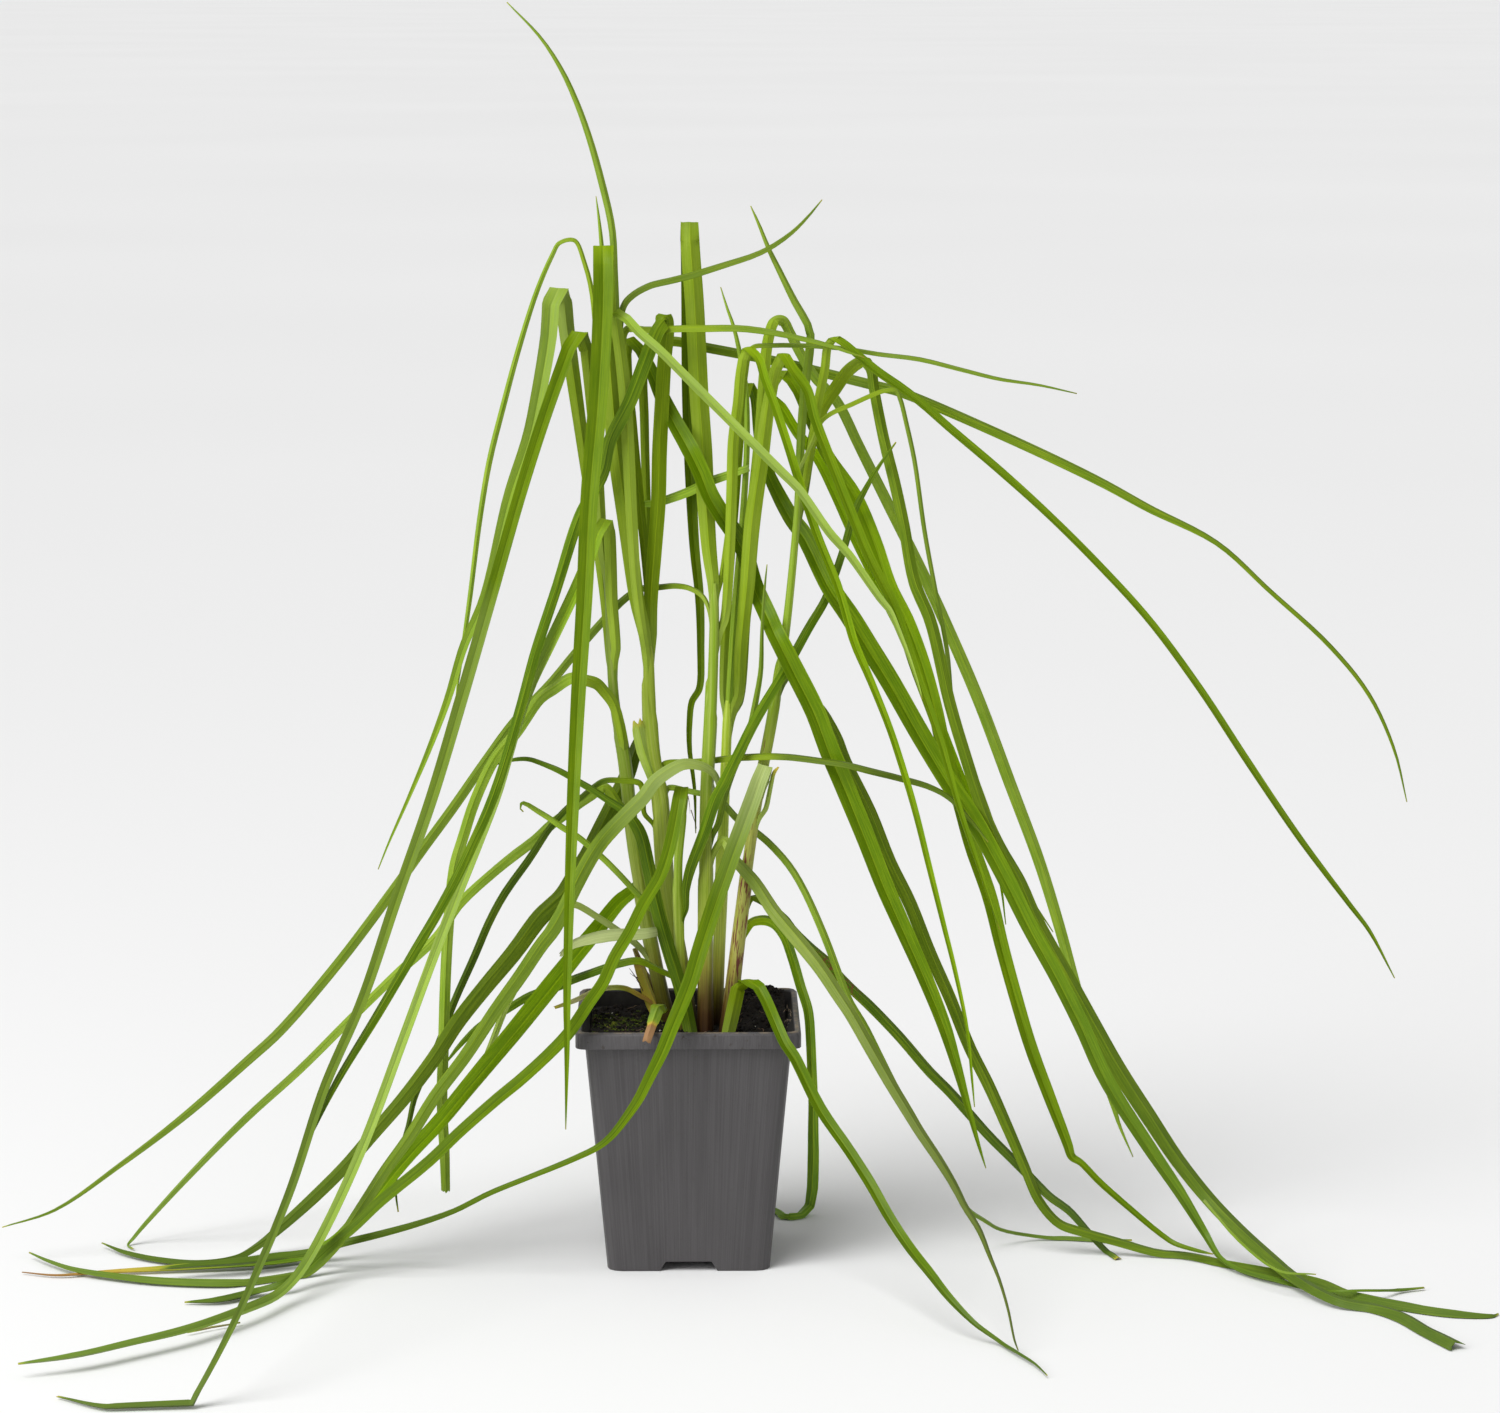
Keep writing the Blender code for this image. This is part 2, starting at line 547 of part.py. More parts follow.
    leaf("leaf_left_blunt", [
        (-25.5, 213, -4, 4), (-29, 227, -3, 4.2), (-33, 233, -1, 4.4), (-36, 236, 2, 4.4),
        (-40, 237.5, 5, 4.4), (-46, 238.5, 8, 4.4), (-53.5, 234, 4, 4.4), (-59, 230, 3, 4.4),
        (-68, 217, 4, 4.4), (-77, 206, 7, 4.4), (-85, 189, 9, 4.4), (-89.5, 175, 10, 4.4),
        (-93, 163, 10, 4.4), (-95, 145, 9, 4.4), (-96.5, 121, 8, 4.4), (-97.5, 89, 5, 4.4),
        (-98, 69, 4, 4.4), (-97, 49, 3, 4.2), (-96.5, 32, 2, 3.6)])
    leaf("leaf_low_dark", [
        (1, 99, 15, 5.6), (-2, 113, 15, 5.6), (-7, 129, 15, 5.6), (-12, 147, 15, 5.6),
        (-15, 161, 14, 5.4), (-19, 177, 13, 5), (-25, 185, 12, 3.4), (-31, 189, 11, 2.8),
        (-37, 193, 10, 2.8), (-43, 196.5, 9, 2.6), (-51, 201, 9, 2.4), (-57, 203.5, 8, 2),
        (-63, 205.5, 8, 1.8), (-68, 205.5, 7, 1.6), (-79, 202.5, 6, 0.4)])
    leaf("leaf_low_wiry", [
        (-17, 184, 5, 2), (-17.5, 192, 6, 2.2), (-19, 196, 6, 2.4), (-25, 197, 5, 2.2),
        (-33, 197, 4, 2.2), (-38, 194, 3, 2.2), (-41.5, 191, 3, 2.2), (-48, 186, 3, 2.4),
        (-55, 178, 3, 2.6), (-63, 166, 2, 3), (-73, 152, 1, 3.2), (-79, 141, 0, 3.2),
        (-85, 127, -2, 3.2), (-93, 109, -4, 3), (-99, 93, -6, 2.8), (-104, 82, -7, 2.6),
        (-109, 70, -8, 2.4), (-111.5, 59, -9, 2), (-115, 47, -10, 1.6), (-116.5, 33, -11, 1),
        (-115.5, 24, -11, 0.6)])
    leaf("leaf_left_low", [
        (-27.5, 188, -3, 3.4), (-33, 194.5, -3, 4), (-39, 191, -3, 4), (-43.5, 188, -3, 4),
        (-48.5, 184, -4, 4), (-54, 180, -5, 4), (-61, 173.5, -6, 4), (-69, 167.5, -7, 4),
        (-77, 161, -8, 3.8), (-91, 148, -9, 3.8), (-100, 135, -9, 3.8), (-115, 121, -9, 3.6),
        (-135, 101.5, -9, 3.4), (-155, 81.5, -9, 3.2), (-177, 61.5, -9, 3), (-201, 37, -10, 2.4),
        (-219, 17, -12, 1.6), (-223.5, 11.5, LAID, 1), (-221.5, 9.5, LAID, 0.5)], 1.2)
    leaf("leaf_brown_tipped", [
        (-14.5, 146, 7.5, 2.4), (-21, 153, 8, 2.4), (-27, 159.5, 8, 2.4), (-33.5, 166, 8, 2.4),
        (-43.5, 174.5, 8, 2.4), (-50, 178.5, 9, 2.4), (-55, 182, 9, 2.2), (-61, 185.5, 9, 2),
        (-66, 188, 9, 1.4), (-68, 187, 10, 0.8), (-65.5, 184, 11, 0.5)])
    leaf("leaf_left_short", [
        (-19.5, 131, -6, 2.6), (-26, 136, -3, 2.6), (-35, 142, 0, 2.6), (-45, 147.5, 4, 2.6),
        (-49.5, 146.5, 6, 2.6), (-54, 140, 8, 2.8), (-59, 131, 9, 2.8), (-63.5, 123, 9, 2.8),
        (-69, 113.5, 9, 2.8), (-73, 105.5, 9, 2.8), (-77, 95, 8, 2.6), (-82.5, 81.5, 7, 2)])
    leaf("leaf_left_broad", [
        (-17.5, 215, -6, 4), (-20, 211, -10, 5), (-23.5, 201, -14, 6), (-29, 189, -15, 7),
        (-35, 177, -13, 7.2), (-39.5, 168, -10, 7.2), (-44, 161, -6, 7.2), (-50, 151.5, -1, 7.2),
        (-59, 143, 4, 7), (-69, 129.5, 8, 6.8), (-81, 115, 11, 6.4), (-92, 101, 13, 6.2),
        (-101, 87, 13, 6), (-113, 71, 13, 5.8), (-125, 57, 12, 5.4), (-137, 43, 11, 5),
        (-149, 31, 10, 4.8), (-161, 20, 9, 4.2), (-171, 11.5, 9, 3), (-181, 6.5, LAID, 2.2),
        (-195, 4.6, LAID, 1.6), (-211, 5.8, LAID, 1.5), (-225, 8.6, LAID, 1.1), (-234, 11.8, LAID, 0.3)],
        2.4)
    leaf("leaf_arched_over_left", [
        (12.8, 188, 8, 1.8), (12.8, 195, 10.5, 2.2), (10.5, 200, 14, 3), (6, 203, 17, 3.6),
        (-1, 204, 19.5, 4.4), (-7, 201.5, 21, 5), (-13, 197, 22, 5.4), (-17.5, 191, 23, 5.6),
        (-23, 185.5, 24, 5.8), (-33, 175, 26, 6), (-38, 168, 26, 6), (-44, 157, 26, 6),
        (-53, 139, 26, 5.8), (-59, 131, 26, 5.6), (-67, 119, 27, 5.6), (-77, 105, 28, 5.4),
        (-89, 87, 30, 5.2), (-101, 71, 32, 5), (-111, 55, 34, 4.8), (-121, 41, 35, 4.6),
        (-131, 25.5, 35, 4.4), (-141, 11, 36, 4), (-152, 0.5, 41, 3.4), (-163, -2.5, 47, 2.6),
        (-183, -3, LAID, 2.4), (-207, -2.5, LAID, 2.2), (-225, -1, LAID, 1.8), (-245, 1.8, LAID, 1.3),
        (-255, 4.8, LAID, 1), (-263, 8, LAID, 0.4)], 3)
    leaf("leaf_left_yellowing", [
        (-13, 163, -15, 4), (-20, 153, -15.5, 5), (-27, 147, -12, 6), (-35, 137, -5, 6.6),
        (-45, 125, 2, 7), (-53, 115, 7, 7.4), (-61, 105, 11, 7.4), (-69, 95, 14, 7.2),
        (-79, 83, 16, 7), (-89, 71, 17, 6.6), (-99, 59, 17, 6.2), (-111, 46, 17, 5.8),
        (-121, 34, 17, 5.4), (-131, 21.5, 16, 5), (-141, 11.5, 16, 4.2), (-155, 4.5, LAID, 3.4),
        (-175, 2.3, LAID, 3), (-213, 0.3, LAID, 2.8), (-235, -0.6, LAID, 1.6), (-252, -1.6, LAID, 1),
        (-266, -0.2, LAID, 0.4)])
    leaf("leaf_front_left", [
        (-1.5, 191.5, 12, 4.4), (-2, 194, 14, 5.2), (-2.5, 192, 16.5, 5.6), (-3.5, 186, 18, 5.6),
        (-5.5, 175, 20, 5.2), (-8, 165, 23, 5), (-11, 157, 25, 4.8), (-17, 147, 28, 4.8),
        (-23, 135, 33, 4.8), (-29, 125, 38, 4.8), (-33.5, 115, 43, 4.8), (-39, 107, 47, 4.8),
        (-47, 95, 50, 4.8), (-55, 86.5, 50, 4.6), (-67, 75.5, 49, 4.6), (-75, 69, 48, 4.6),
        (-91, 55, 47, 4.4), (-103, 43.5, 46, 4.4), (-123, 27, 46, 4.2), (-133, 17.5, 45, 4),
        (-143, 9, 48, 3.8), (-153, 0, 56, 3.4), (-161, -5, 66, 2.8), (-173, -9, LAID, 2.2),
        (-187, -12, LAID, 1.6), (-201, -12.3, LAID, 0.3)])
    leaf("leaf_over_pot_front", [
        (31.5, 199, 12.8, 5), (32.3, 202, 13.2, 5.6), (31, 202.3, 15.2, 6), (28, 193, 18, 6.4),
        (24.5, 183, 20, 6.8), (18.5, 167, 24, 6.8), (15, 157, 27, 6.6), (11.5, 147, 30, 6.6),
        (5, 127, 37, 6.4), (2, 117, 41, 6.2), (-1, 109, 46, 6), (-6, 97, 52, 5.6), (-10, 87, 55, 5),
        (-15, 77, 57, 4.4), (-19, 69, 58, 4), (-24, 61.5, 57, 3.4), (-30, 54, 56, 2.8),
        (-35.5, 49.5, 55, 2.4), (-47, 44, 52, 2.2), (-63, 37.5, 48, 2), (-79, 31, 42, 2),
        (-93, 24, 36, 2), (-107, 19, 32, 2.4), (-123, 14.5, 29, 2.8), (-139, 10.5, 27, 3),
        (-149, 7.5, 26, 3), (-163, 5, LAID, 2.8), (-179, 3, LAID, 2.4), (-195, 2, LAID, 1.6),
        (-211, 1, LAID, 0.4)], 4.6)


def build_low_leaves():
    """The short and dry leaves round the foot of the clump."""
    leaf("leaf_dry_pale", [
        (-12, 137, 18, 3.6), (-19, 136, 19, 4.4), (-27, 136, 20, 4.6), (-35, 135, 21, 4.8),
        (-45, 132, 21, 3.6), (-51, 127, 21, 1.6)])
    leaf("leaf_low_green", [
        (-10.5, 121, 6, 2.4), (-19, 125, 7, 3), (-27, 124, 6, 3.2), (-39, 120, 2, 3.2),
        (-47, 117, -4, 3.2), (-51, 115, -5, 3.2), (-63, 111, -6, 3.2), (-73, 105, -6, 3),
        (-83, 99, -8, 2.6), (-91, 91, -9, 2), (-97, 83, -10, 0.6)])
    leaf("leaf_dry_wiry", [
        (-17, 110, -15, 1.8), (-25, 114, -14, 2), (-35, 113.5, -12, 2), (-45, 109, -8, 2),
        (-53, 106, -4, 1.2)])
    leaf("leaf_cut_stub", [
        (-10, 106.5, 18, 4.4), (-11.5, 106, 25, 4.8), (-13, 102.5, 38, 4.8), (-14.5, 98, 48, 4.8),
        (-16.5, 92, 52, 4.4)])
    leaf("leaf_base_right", [
        (17, 99, 22, 5.6), (19, 108, 22, 5.8), (20.5, 114, 23, 5.6), (23, 117, 26, 5),
        (27, 115.5, 30, 4.8), (31, 109, 36, 4.6), (35, 100, 45, 4.6), (39, 91, 51, 4.6),
        (43, 85, 54, 4.6), (53, 65, 62, 4.6), (65, 47.5, 72, 4.4), (73, 35, 80, 4.4),
        (81, 21, 90, 4.2), (89, 9, 102, 4), (97, -1, 117, 3.6), (105, -11, 129, 3),
        (115, -21, 138, 2), (125, -28.5, LAID, 1.4), (132.5, -33, LAID, 1), (139, -37, LAID, 0.8),
        (144, -41.5, LAID, 0.4)], 1.2)
    leaf("leaf_behind_pot", [
        (23.5, 137, 10, 3), (26, 140.5, 9, 3.6), (31, 141.5, 8, 4), (35, 140, 7, 4),
        (39, 135, 4, 4), (42, 127, 0, 4), (45.5, 115, -6, 4), (48.5, 105, -14, 4),
        (49.5, 93, -24, 4), (50, 81, -32, 4), (50.5, 69, -38, 4), (50.5, 57, -44, 4.4),
        (50.5, 45, -50, 4.8), (50, 33, -56, 4.8), (49, 27, -60, 4.4), (45, 23.5, LAID, 3.2),
        (40, 23, LAID, 2.8), (35.5, 25.5, LAID, 2.4), (20, 29, LAID, 1.6), (6, 31, LAID, 0.6)], 2.2)
    leaf("leaf_spotted", [
        (26, 150, 11, 2.6), (33, 147, 9, 3), (39.5, 141.5, 7, 3.4), (43, 137, 6, 3.4),
        (49, 131, 5, 3.6), (57, 124, 5, 3.6), (61, 119, 5, 3.8), (67, 113, 5, 3.8),
        (73, 107.5, 6, 4), (85, 95, 6, 4), (97, 81, 7, 4), (105, 73, 7, 4), (113, 64, 8, 4),
        (121, 55, 8, 3.8), (129, 47, 8, 3.6), (137, 39, 8, 3.6), (145, 31, 8, 3.4),
        (153, 25, 7, 3.2), (161, 16, 7, 2.8), (167, 9.5, 7, 2.4), (172.5, 5.5, LAID, 1.8)])
    leaf("leaf_low_right", [
        (-7.5, 194, 0, 2.4), (0, 193, 0, 2.2), (5, 192, 1, 2.2), (9, 191.5, 2, 2.4),
        (13, 189.5, 2, 2.6), (20, 182, 4, 2.8), (27, 177, 5, 2.8), (33, 172, 6, 2.8),
        (41, 163, 9, 2.8), (47, 153, 12, 2.8), (55, 135, 17, 3), (61, 119, 21, 3),
        (65, 109, 24, 3), (71, 99, 27, 3), (77, 87, 30, 3), (83, 75, 32, 3), (89, 65, 32, 2.8),
        (97, 51, 30, 2.6), (103, 41, 27, 2.4), (108.5, 31, 22, 2), (113, 25, 16, 1.8),
        (119, 21, 8, 1.6), (125, 17.5, 0, 1.4), (137, 15, -12, 1.4), (149, 14, LAID, 1.4),
        (161, 13.5, LAID, 1.3), (169, 13, LAID, 1), (178, 13, LAID, 0.4)], 1.4)
    leaf("leaf_pale_right", [
        (14.5, 173, 14, 3), (19, 166, 18, 4), (27, 157, 20, 5), (35, 145, 22, 5.4),
        (45, 133, 26, 5.6), (53, 123, 30, 5.4), (61, 111, 36, 5.2), (65, 105, 39, 5),
        (73, 91, 48, 4.8), (81, 77, 58, 4.6), (87, 67, 66, 4.4), (93, 57, 76, 4),
        (101, 45, 88, 3.6), (107, 35, 98, 3), (111, 27, 106, 2.6), (117, 17, 118, 2.2),
        (121, 7, 130, 1.6), (125, -3, 142, 1.2), (128.5, -15, 152, 1), (131, -27, 157, 0.8),
        (132.6, -31.5, 157, 0.4)])


def build_top_leaves():
    """The leaves that stand up or lie across the top of the clump."""
    leaf("leaf_channelled", [
        (10.5, 277, 5.5, 5), (9, 289, 2, 6), (7.5, 309, -2, 7), (6.5, 329, -5, 7.4),
        (5, 349, -6, 7.6), (4, 369, -7, 7.6), (3, 389, -8, 7.6), (1.5, 409, -9, 7.6),
        (1, 417.5, -10, 7.4), (1, 420, -13, 7), (0.5, 417, -16, 6.4), (0.5, 408, -18, 6),
        (0.5, 389, -18, 5.6), (0.5, 349, -18, 5), (1.5, 317, -17, 4.6), (3, 289, -16, 4),
        (5, 269, -15, 3.6), (5.5, 249, -13, 3), (5, 233, -11, 2.8), (2, 227.5, -10, 2.6),
        (1, 219, -9, 2.4), (1, 209, -9, 2), (3, 193, -9, 1.4), (3.5, 175.5, -8, 0.4)])
    leaf("leaf_thin_top_right", [
        (-18, 257, -5, 2), (-22, 290, -6, 2), (-25.5, 320, -6, 2.2), (-27, 350, -5, 2.4),
        (-27, 376, -4, 2.6), (-25.5, 386.5, -2, 2.6), (-22, 391, 1, 2.6), (-15, 395, 2, 2.6),
        (-7, 397, 2, 2.6), (1, 399, 1, 2.6), (9, 401.5, 1, 2.6), (17, 404, 1, 2.4), (25, 406.5, 1, 2.2),
        (31, 409, 1, 2), (37, 412.5, 1, 1.8), (43, 417, 1, 1.4), (48.5, 422.5, 1, 1),
        (54, 429, 1, 0.4)])
    leaf("leaf_thin_top_left", [
        (45, 318.5, 0, 3.4), (45.5, 333, -2, 3.4), (47, 353, -5, 3.6), (49, 369, -6, 3.6),
        (49.5, 375, -6, 3.2), (48.5, 379, -6, 3), (46.5, 383, -6, 3), (43, 389, -5, 2.8),
        (36.5, 402, -3, 2.2), (33, 409, -3, 1.8), (28.5, 420, -3, 1.2), (25.5, 426.5, -3, 0.4)])
    leaf("leaf_spike", [
        (17, 231, -8, 3), (19.5, 269, -9, 3), (22.5, 305, -9, 2.6), (24, 333, -8, 2.4),
        (23.5, 355, -7, 2), (22, 363, -7, 2), (20.5, 371, -7, 1.8), (18.5, 379, -7, 1.4),
        (16, 386, -7, 1), (13.5, 394, -7, 0.4)])
    leaf("leaf_level_light", [
        (-18.5, 257, -7.5, 2.4), (-21, 300, -8.3, 2.4), (-24, 340, -8.5, 2.4), (-26, 370, -7.5, 2.6),
        (-24, 377.5, -5, 2.8), (-17, 377.5, -1, 2.8), (-11, 377.5, 1, 2.8), (-3, 378, 2, 2.8),
        (5, 378, 2, 2.8), (21, 378, 2, 2.6), (33, 376.5, 2, 2.4), (45, 374, 2, 2),
        (57, 371, 3, 1.6), (65, 368, 4, 1), (71, 366, 4, 0.4)])
    leaf("leaf_level_wiry", [
        (13.5, 277, 3, 2), (18, 310, 2, 2), (21.5, 340, 2, 2), (23.5, 360, 2, 2), (26, 370, 2, 1.8),
        (33, 371, 0, 1.8), (45, 371, -2.5, 1.8), (61, 370, -3, 1.8), (77, 367.5, -3.5, 1.8),
        (93, 365.5, 0, 1.8), (109, 361.5, 3, 1.6), (125, 357.5, 5, 1.4), (141, 355, 5, 1),
        (156, 351.5, 5, 0.4)])
    leaf("leaf_level_long", [
        (-15.5, 256, -14, 3), (-16, 300, -17, 3.4), (-17, 340, -18, 3.6), (-17, 365, -18, 3.8),
        (-13, 372, -18, 3.8), (-5, 373, -22, 3.8), (5, 371, -24, 3.8), (21, 368, -25, 3.8),
        (41, 364, -27, 3.8), (61, 359, -26, 4), (77, 355, -20, 4), (85, 353, -15, 4),
        (125, 336, -8, 3.8), (165, 317, 0, 3.4), (185, 306, 4, 3), (212, 292, 8, 2),
        (233, 273, 10, 1.8), (257, 251, 12, 1.8), (273, 231, 13, 1.6), (283, 209, 14, 1.2),
        (288, 188, 14, 0.4)])
    leaf("leaf_hooked", [
        (13.5, 318.5, -9, 3.4), (9, 317, -10, 3.4), (1, 313, -11, 3.6), (-7, 310, -11, 3.4),
        (-13, 308, -11, 3), (-17.5, 307.5, -12, 2.2), (-19.5, 304, -12, 1.6), (-19.5, 297, -12, 0.8)])
    leaf("leaf_crossing_right", [
        (-17.5, 255, 7, 3.4), (-20, 272, 7.5, 4), (-22, 300, 8, 4.6), (-23.5, 330, 6.5, 5),
        (-25, 355, 6, 5.2), (-28, 378, 7, 4.6), (-29.3, 384, 9, 4), (-26, 382.5, 12, 3.8),
        (-19, 375, 15, 3.6), (-11, 368, 16, 3.6), (-3, 360, 16, 3.6), (5, 352, 16, 3.6),
        (13, 344, 16, 3.6), (29, 328, 17, 3.6), (37, 320, 17, 3.6), (45, 312, 17, 3.4),
        (57, 295, 18, 3.4), (65, 286, 18, 3.2), (77, 269, 18, 2.8), (81, 264, 18, 2.4),
        (85, 255, 18, 2), (89, 245, 18, 1.4), (93, 233, 18, 0.8), (94, 229, 18, 0.4)])


def build_right_leaves():
    """The leaves that fall to the right."""
    leaf("leaf_right_broad", [
        (-14, 254.5, -5, 3), (-16, 280, -9, 3.4), (-19, 310, -10.5, 3.6), (-22, 340, -11.5, 4),
        (-24, 362, -12, 4), (-23.5, 373.5, -13, 4), (-20, 370, -12, 4.2), (-15, 361, -11, 5),
        (-10, 349, -10, 6), (-5, 339, -7, 6.6), (0.5, 329, 0.5, 7), (5, 320, 2, 7), (9, 310, 2, 7),
        (13, 303, 0, 7), (17, 297, -2, 7), (22, 289, -3, 7), (27, 273, -3, 7), (32, 262, 3, 7.2),
        (35, 255, 9.4, 7.4), (38, 249, 11.5, 7.6),
        (43, 239, 11, 8), (51, 223, 12, 8), (57, 207, 12, 8), (63, 193, 12, 8), (71, 173.5, 13, 7.6),
        (79, 153, 13, 7.2), (87, 135, 14, 6.8), (95, 117, 14, 6.2), (103, 97, 15, 5.4),
        (108, 81, 15, 4), (112.5, 65, 15, 2.6), (116.5, 51, 16, 1.4), (119.5, 41.5, 16, 0.4)])
    leaf("leaf_right_olive", [
        (41.5, 240, 3.5, 3), (44, 236, 3.5, 4.4), (48, 230, 4, 5.6), (53, 225, 5, 6.2),
        (59, 215, 5, 6), (63, 205, 5, 6), (73, 185, 6, 5.6), (81, 165, 7, 5.6), (89, 149, 8, 5.4),
        (97, 129, 9, 5.2), (105, 111, 10, 5), (113, 91, 11, 4.8), (121, 75, 12, 4.8),
        (129, 57, 12, 4.6), (135, 43, 12, 4.2), (141, 29, 11, 3.8), (149, 20, 10, 3.6),
        (157, 17, 11, 3.6), (173, 12.5, 12, 3.4), (185, 9, 14, 3.2), (199, 6, 17, 3),
        (213, 3.5, LAID, 2.8), (237, -1, LAID, 3), (253, -4.5, LAID, 3.2), (267.5, -10, LAID, 3.4),
        (285, -14, LAID, 3.2), (305, -16.8, LAID, 2.2), (321, -17.5, LAID, 0.9),
        (324.5, -16.5, LAID, 0.4)])
    leaf("leaf_right_floor", [
        (14.5, 231, -14, 3), (16, 269, -17, 4), (19, 310, -19, 4), (22, 345, -20, 4),
        (24.5, 355.5, -21, 4), (27, 350, -24, 4), (29, 332, -25, 4.4), (32, 320, -25, 5),
        (37, 309, -24, 6), (42, 300, -18, 6.6), (47, 293, -13, 7), (57, 273, -4, 7.6),
        (65, 261, -3, 8), (73, 248, -2, 8), (81, 235, -1, 8), (93, 214, 1, 8), (105, 194, 4, 7.6),
        (115, 179, 7, 7.2), (127, 157, 10, 7), (137, 137, 12, 6.6), (148, 117, 14, 6.4),
        (158, 97, 15, 6.4), (167, 77, 16, 6), (184, 50, 16, 5.6), (197, 31, 18, 4.6),
        (207, 15, 20, 3.2), (213, 5.5, 30, 2), (221, 0, LAID, 1.6), (237, -4.5, LAID, 1.4),
        (249, -7.2, 68, 1.2), (261, -8, 80, 1.1), (269, -7.7, 81, 1),
        (277, -7.7, 79, 1), (285, -7.7, LAID, 0.8),
        (295, -6.5, LAID, 0.4)])
    leaf("leaf_right_hidden", [
        (19, 230, -13, 3), (21.5, 262, -21, 3.6), (26, 305, -29, 4), (30, 335, -30, 4),
        (33, 349.5, -31, 4), (36.5, 347, -32, 4), (44, 335, -31, 4), (52, 325, -29, 4),
        (59, 311, -27, 4), (67, 293, -25, 4), (79, 269, -22, 4), (87, 253, -20, 3.6),
        (95, 235, -18, 3.2), (103, 215, -16, 2.8), (111, 195, -14, 2.4), (119, 175, -12, 2),
        (125, 157, -10, 1.2), (127.5, 139, -9, 0.4)])
    leaf("leaf_right_ribbon", [
        (15, 262, 6, 3.6), (17, 289, 6.5, 4.2), (18, 317, 7, 4.4), (18.5, 333, 7, 4.4),
        (20.5, 349, 7.5, 4.2), (21.5, 361, 8, 3.8), (24, 370, 8.5, 3.6), (28.5, 365, 10, 3.4),
        (31, 357, 11, 3.4), (34, 349, 12, 3.4), (40, 331, 12, 3.4), (45, 315, 11, 3.4),
        (52.5, 293, 10, 3.4), (60.5, 273, 9, 3.4), (67, 251, 10, 3.4), (73, 237, 11, 3),
        (81, 217, 12, 2.8), (85, 205, 13, 2.8), (91, 185, 14, 2.6), (97, 161, 15, 2.4),
        (103, 137, 16, 2), (107, 121, 17, 1.8), (112, 97, 18, 1.4), (114, 77, 18, 1),
        (115, 66, 18, 0.4)])
    leaf("leaf_right_back", [
        (18.5, 231, -11, 3.4), (22.5, 269, -14, 4), (26, 305, -15, 4.4), (29, 335, -15, 4.4),
        (31, 361, -15, 4.4), (32.5, 374, -15, 4.4), (35, 381, -16, 4.2), (38.5, 381, -18, 4.2),
        (41.5, 376, -20, 4), (45, 369, -21, 4), (51, 359, -22, 4), (60, 349, -24, 4),
        (69, 331, -28, 4), (81, 307, -33, 4.4), (95, 279, -38, 4.6), (105, 257, -41, 4.8),
        (117, 229, -43, 5), (129, 197, -44, 5), (141, 165, -44, 4.8), (149, 139, -44, 4.6),
        (155, 117, -43, 4.4), (158.5, 105, -42, 4.2), (164, 87, -41, 3.6), (170, 69, -40, 2.6),
        (173, 59, -40, 1.4), (178.5, 46, -40, 0.4)])
    leaf("leaf_right_bright", [
        (20.5, 231, -6, 4), (21.5, 250, 1, 5), (24, 275, 5, 6), (26, 300, 5.5, 6.4),
        (29.5, 325, 6, 6), (33, 350, 6, 5), (36, 363, 6, 4.4), (38.5, 367.5, 7, 4), (42, 361, 8, 4),
        (48, 352, 9, 4), (51, 341, 10, 4), (57, 325, 11, 4), (64, 307, 12, 4), (73, 285, 13, 4),
        (83, 265, 13, 4), (91, 241, 13, 3.6), (101, 213, 14, 3), (109, 185, 15, 2.4),
        (117, 161, 16, 1.6), (125, 137, 17, 0.4)])
    leaf("leaf_right_kinked", [
        (21, 229.5, -9, 3.4), (23.5, 262, -8, 4), (26.5, 300, -7.5, 4.4), (29.5, 325, -7.5, 4.4),
        (32.5, 347, -7.5, 4.4), (35, 357.5, -8, 4.4), (37.5, 360.5, -9, 4.2), (43, 354, -10, 4.4),
        (49, 341, -11, 4.6), (56, 326, -11, 5), (67.5, 309, -11, 5.4), (75, 291, -10, 5.8),
        (81, 273, -9, 6), (88, 259, -9, 6), (94, 243, -8, 6), (99, 225, -8, 6), (103, 207, -7, 6),
        (108.5, 189, -6, 6), (114, 169, -5, 6), (121, 149, -3, 6), (126, 129, -2, 5.6),
        (131.5, 109, 0, 5.4), (137.5, 89, 2, 5.2), (145, 69, 3, 4.8), (152, 51, 4, 4),
        (154, 45.5, 4, 3.2), (157.5, 43.2, 5, 2.6), (165, 35.5, 7, 2.6), (177, 25, 10, 2.4),
        (189, 15, 14, 2.2), (195, 11, 17, 2), (205, 8, 24, 1.4),
        (210.5, 7, 27, 0.4)])
    leaf("leaf_far_right", [
        (47.5, 318, 1, 2.6), (50, 333, 1, 3.2), (52.5, 349, 1, 3.6), (55, 361, 1, 3.6),
        (56.5, 371.5, 1, 3.4), (58.5, 374, 1, 3), (63, 371, 1, 3), (68.5, 366, 1, 3.2),
        (77, 359, 1, 3.4), (85, 353.5, 0, 3.4), (93, 347.5, -1, 3.2), (105, 337, -2, 3.2),
        (125, 320, -4, 3.2), (145, 302, -6, 2.8), (165, 282, -8, 2.8), (185, 260, -10, 2.8),
        (205, 233, -12, 2.8), (225, 202.5, -14, 2.8), (245, 173, -16, 2.6), (265, 146.5, -18, 2),
        (273, 136, -19, 1.6), (283, 117.5, -20, 0.4)])
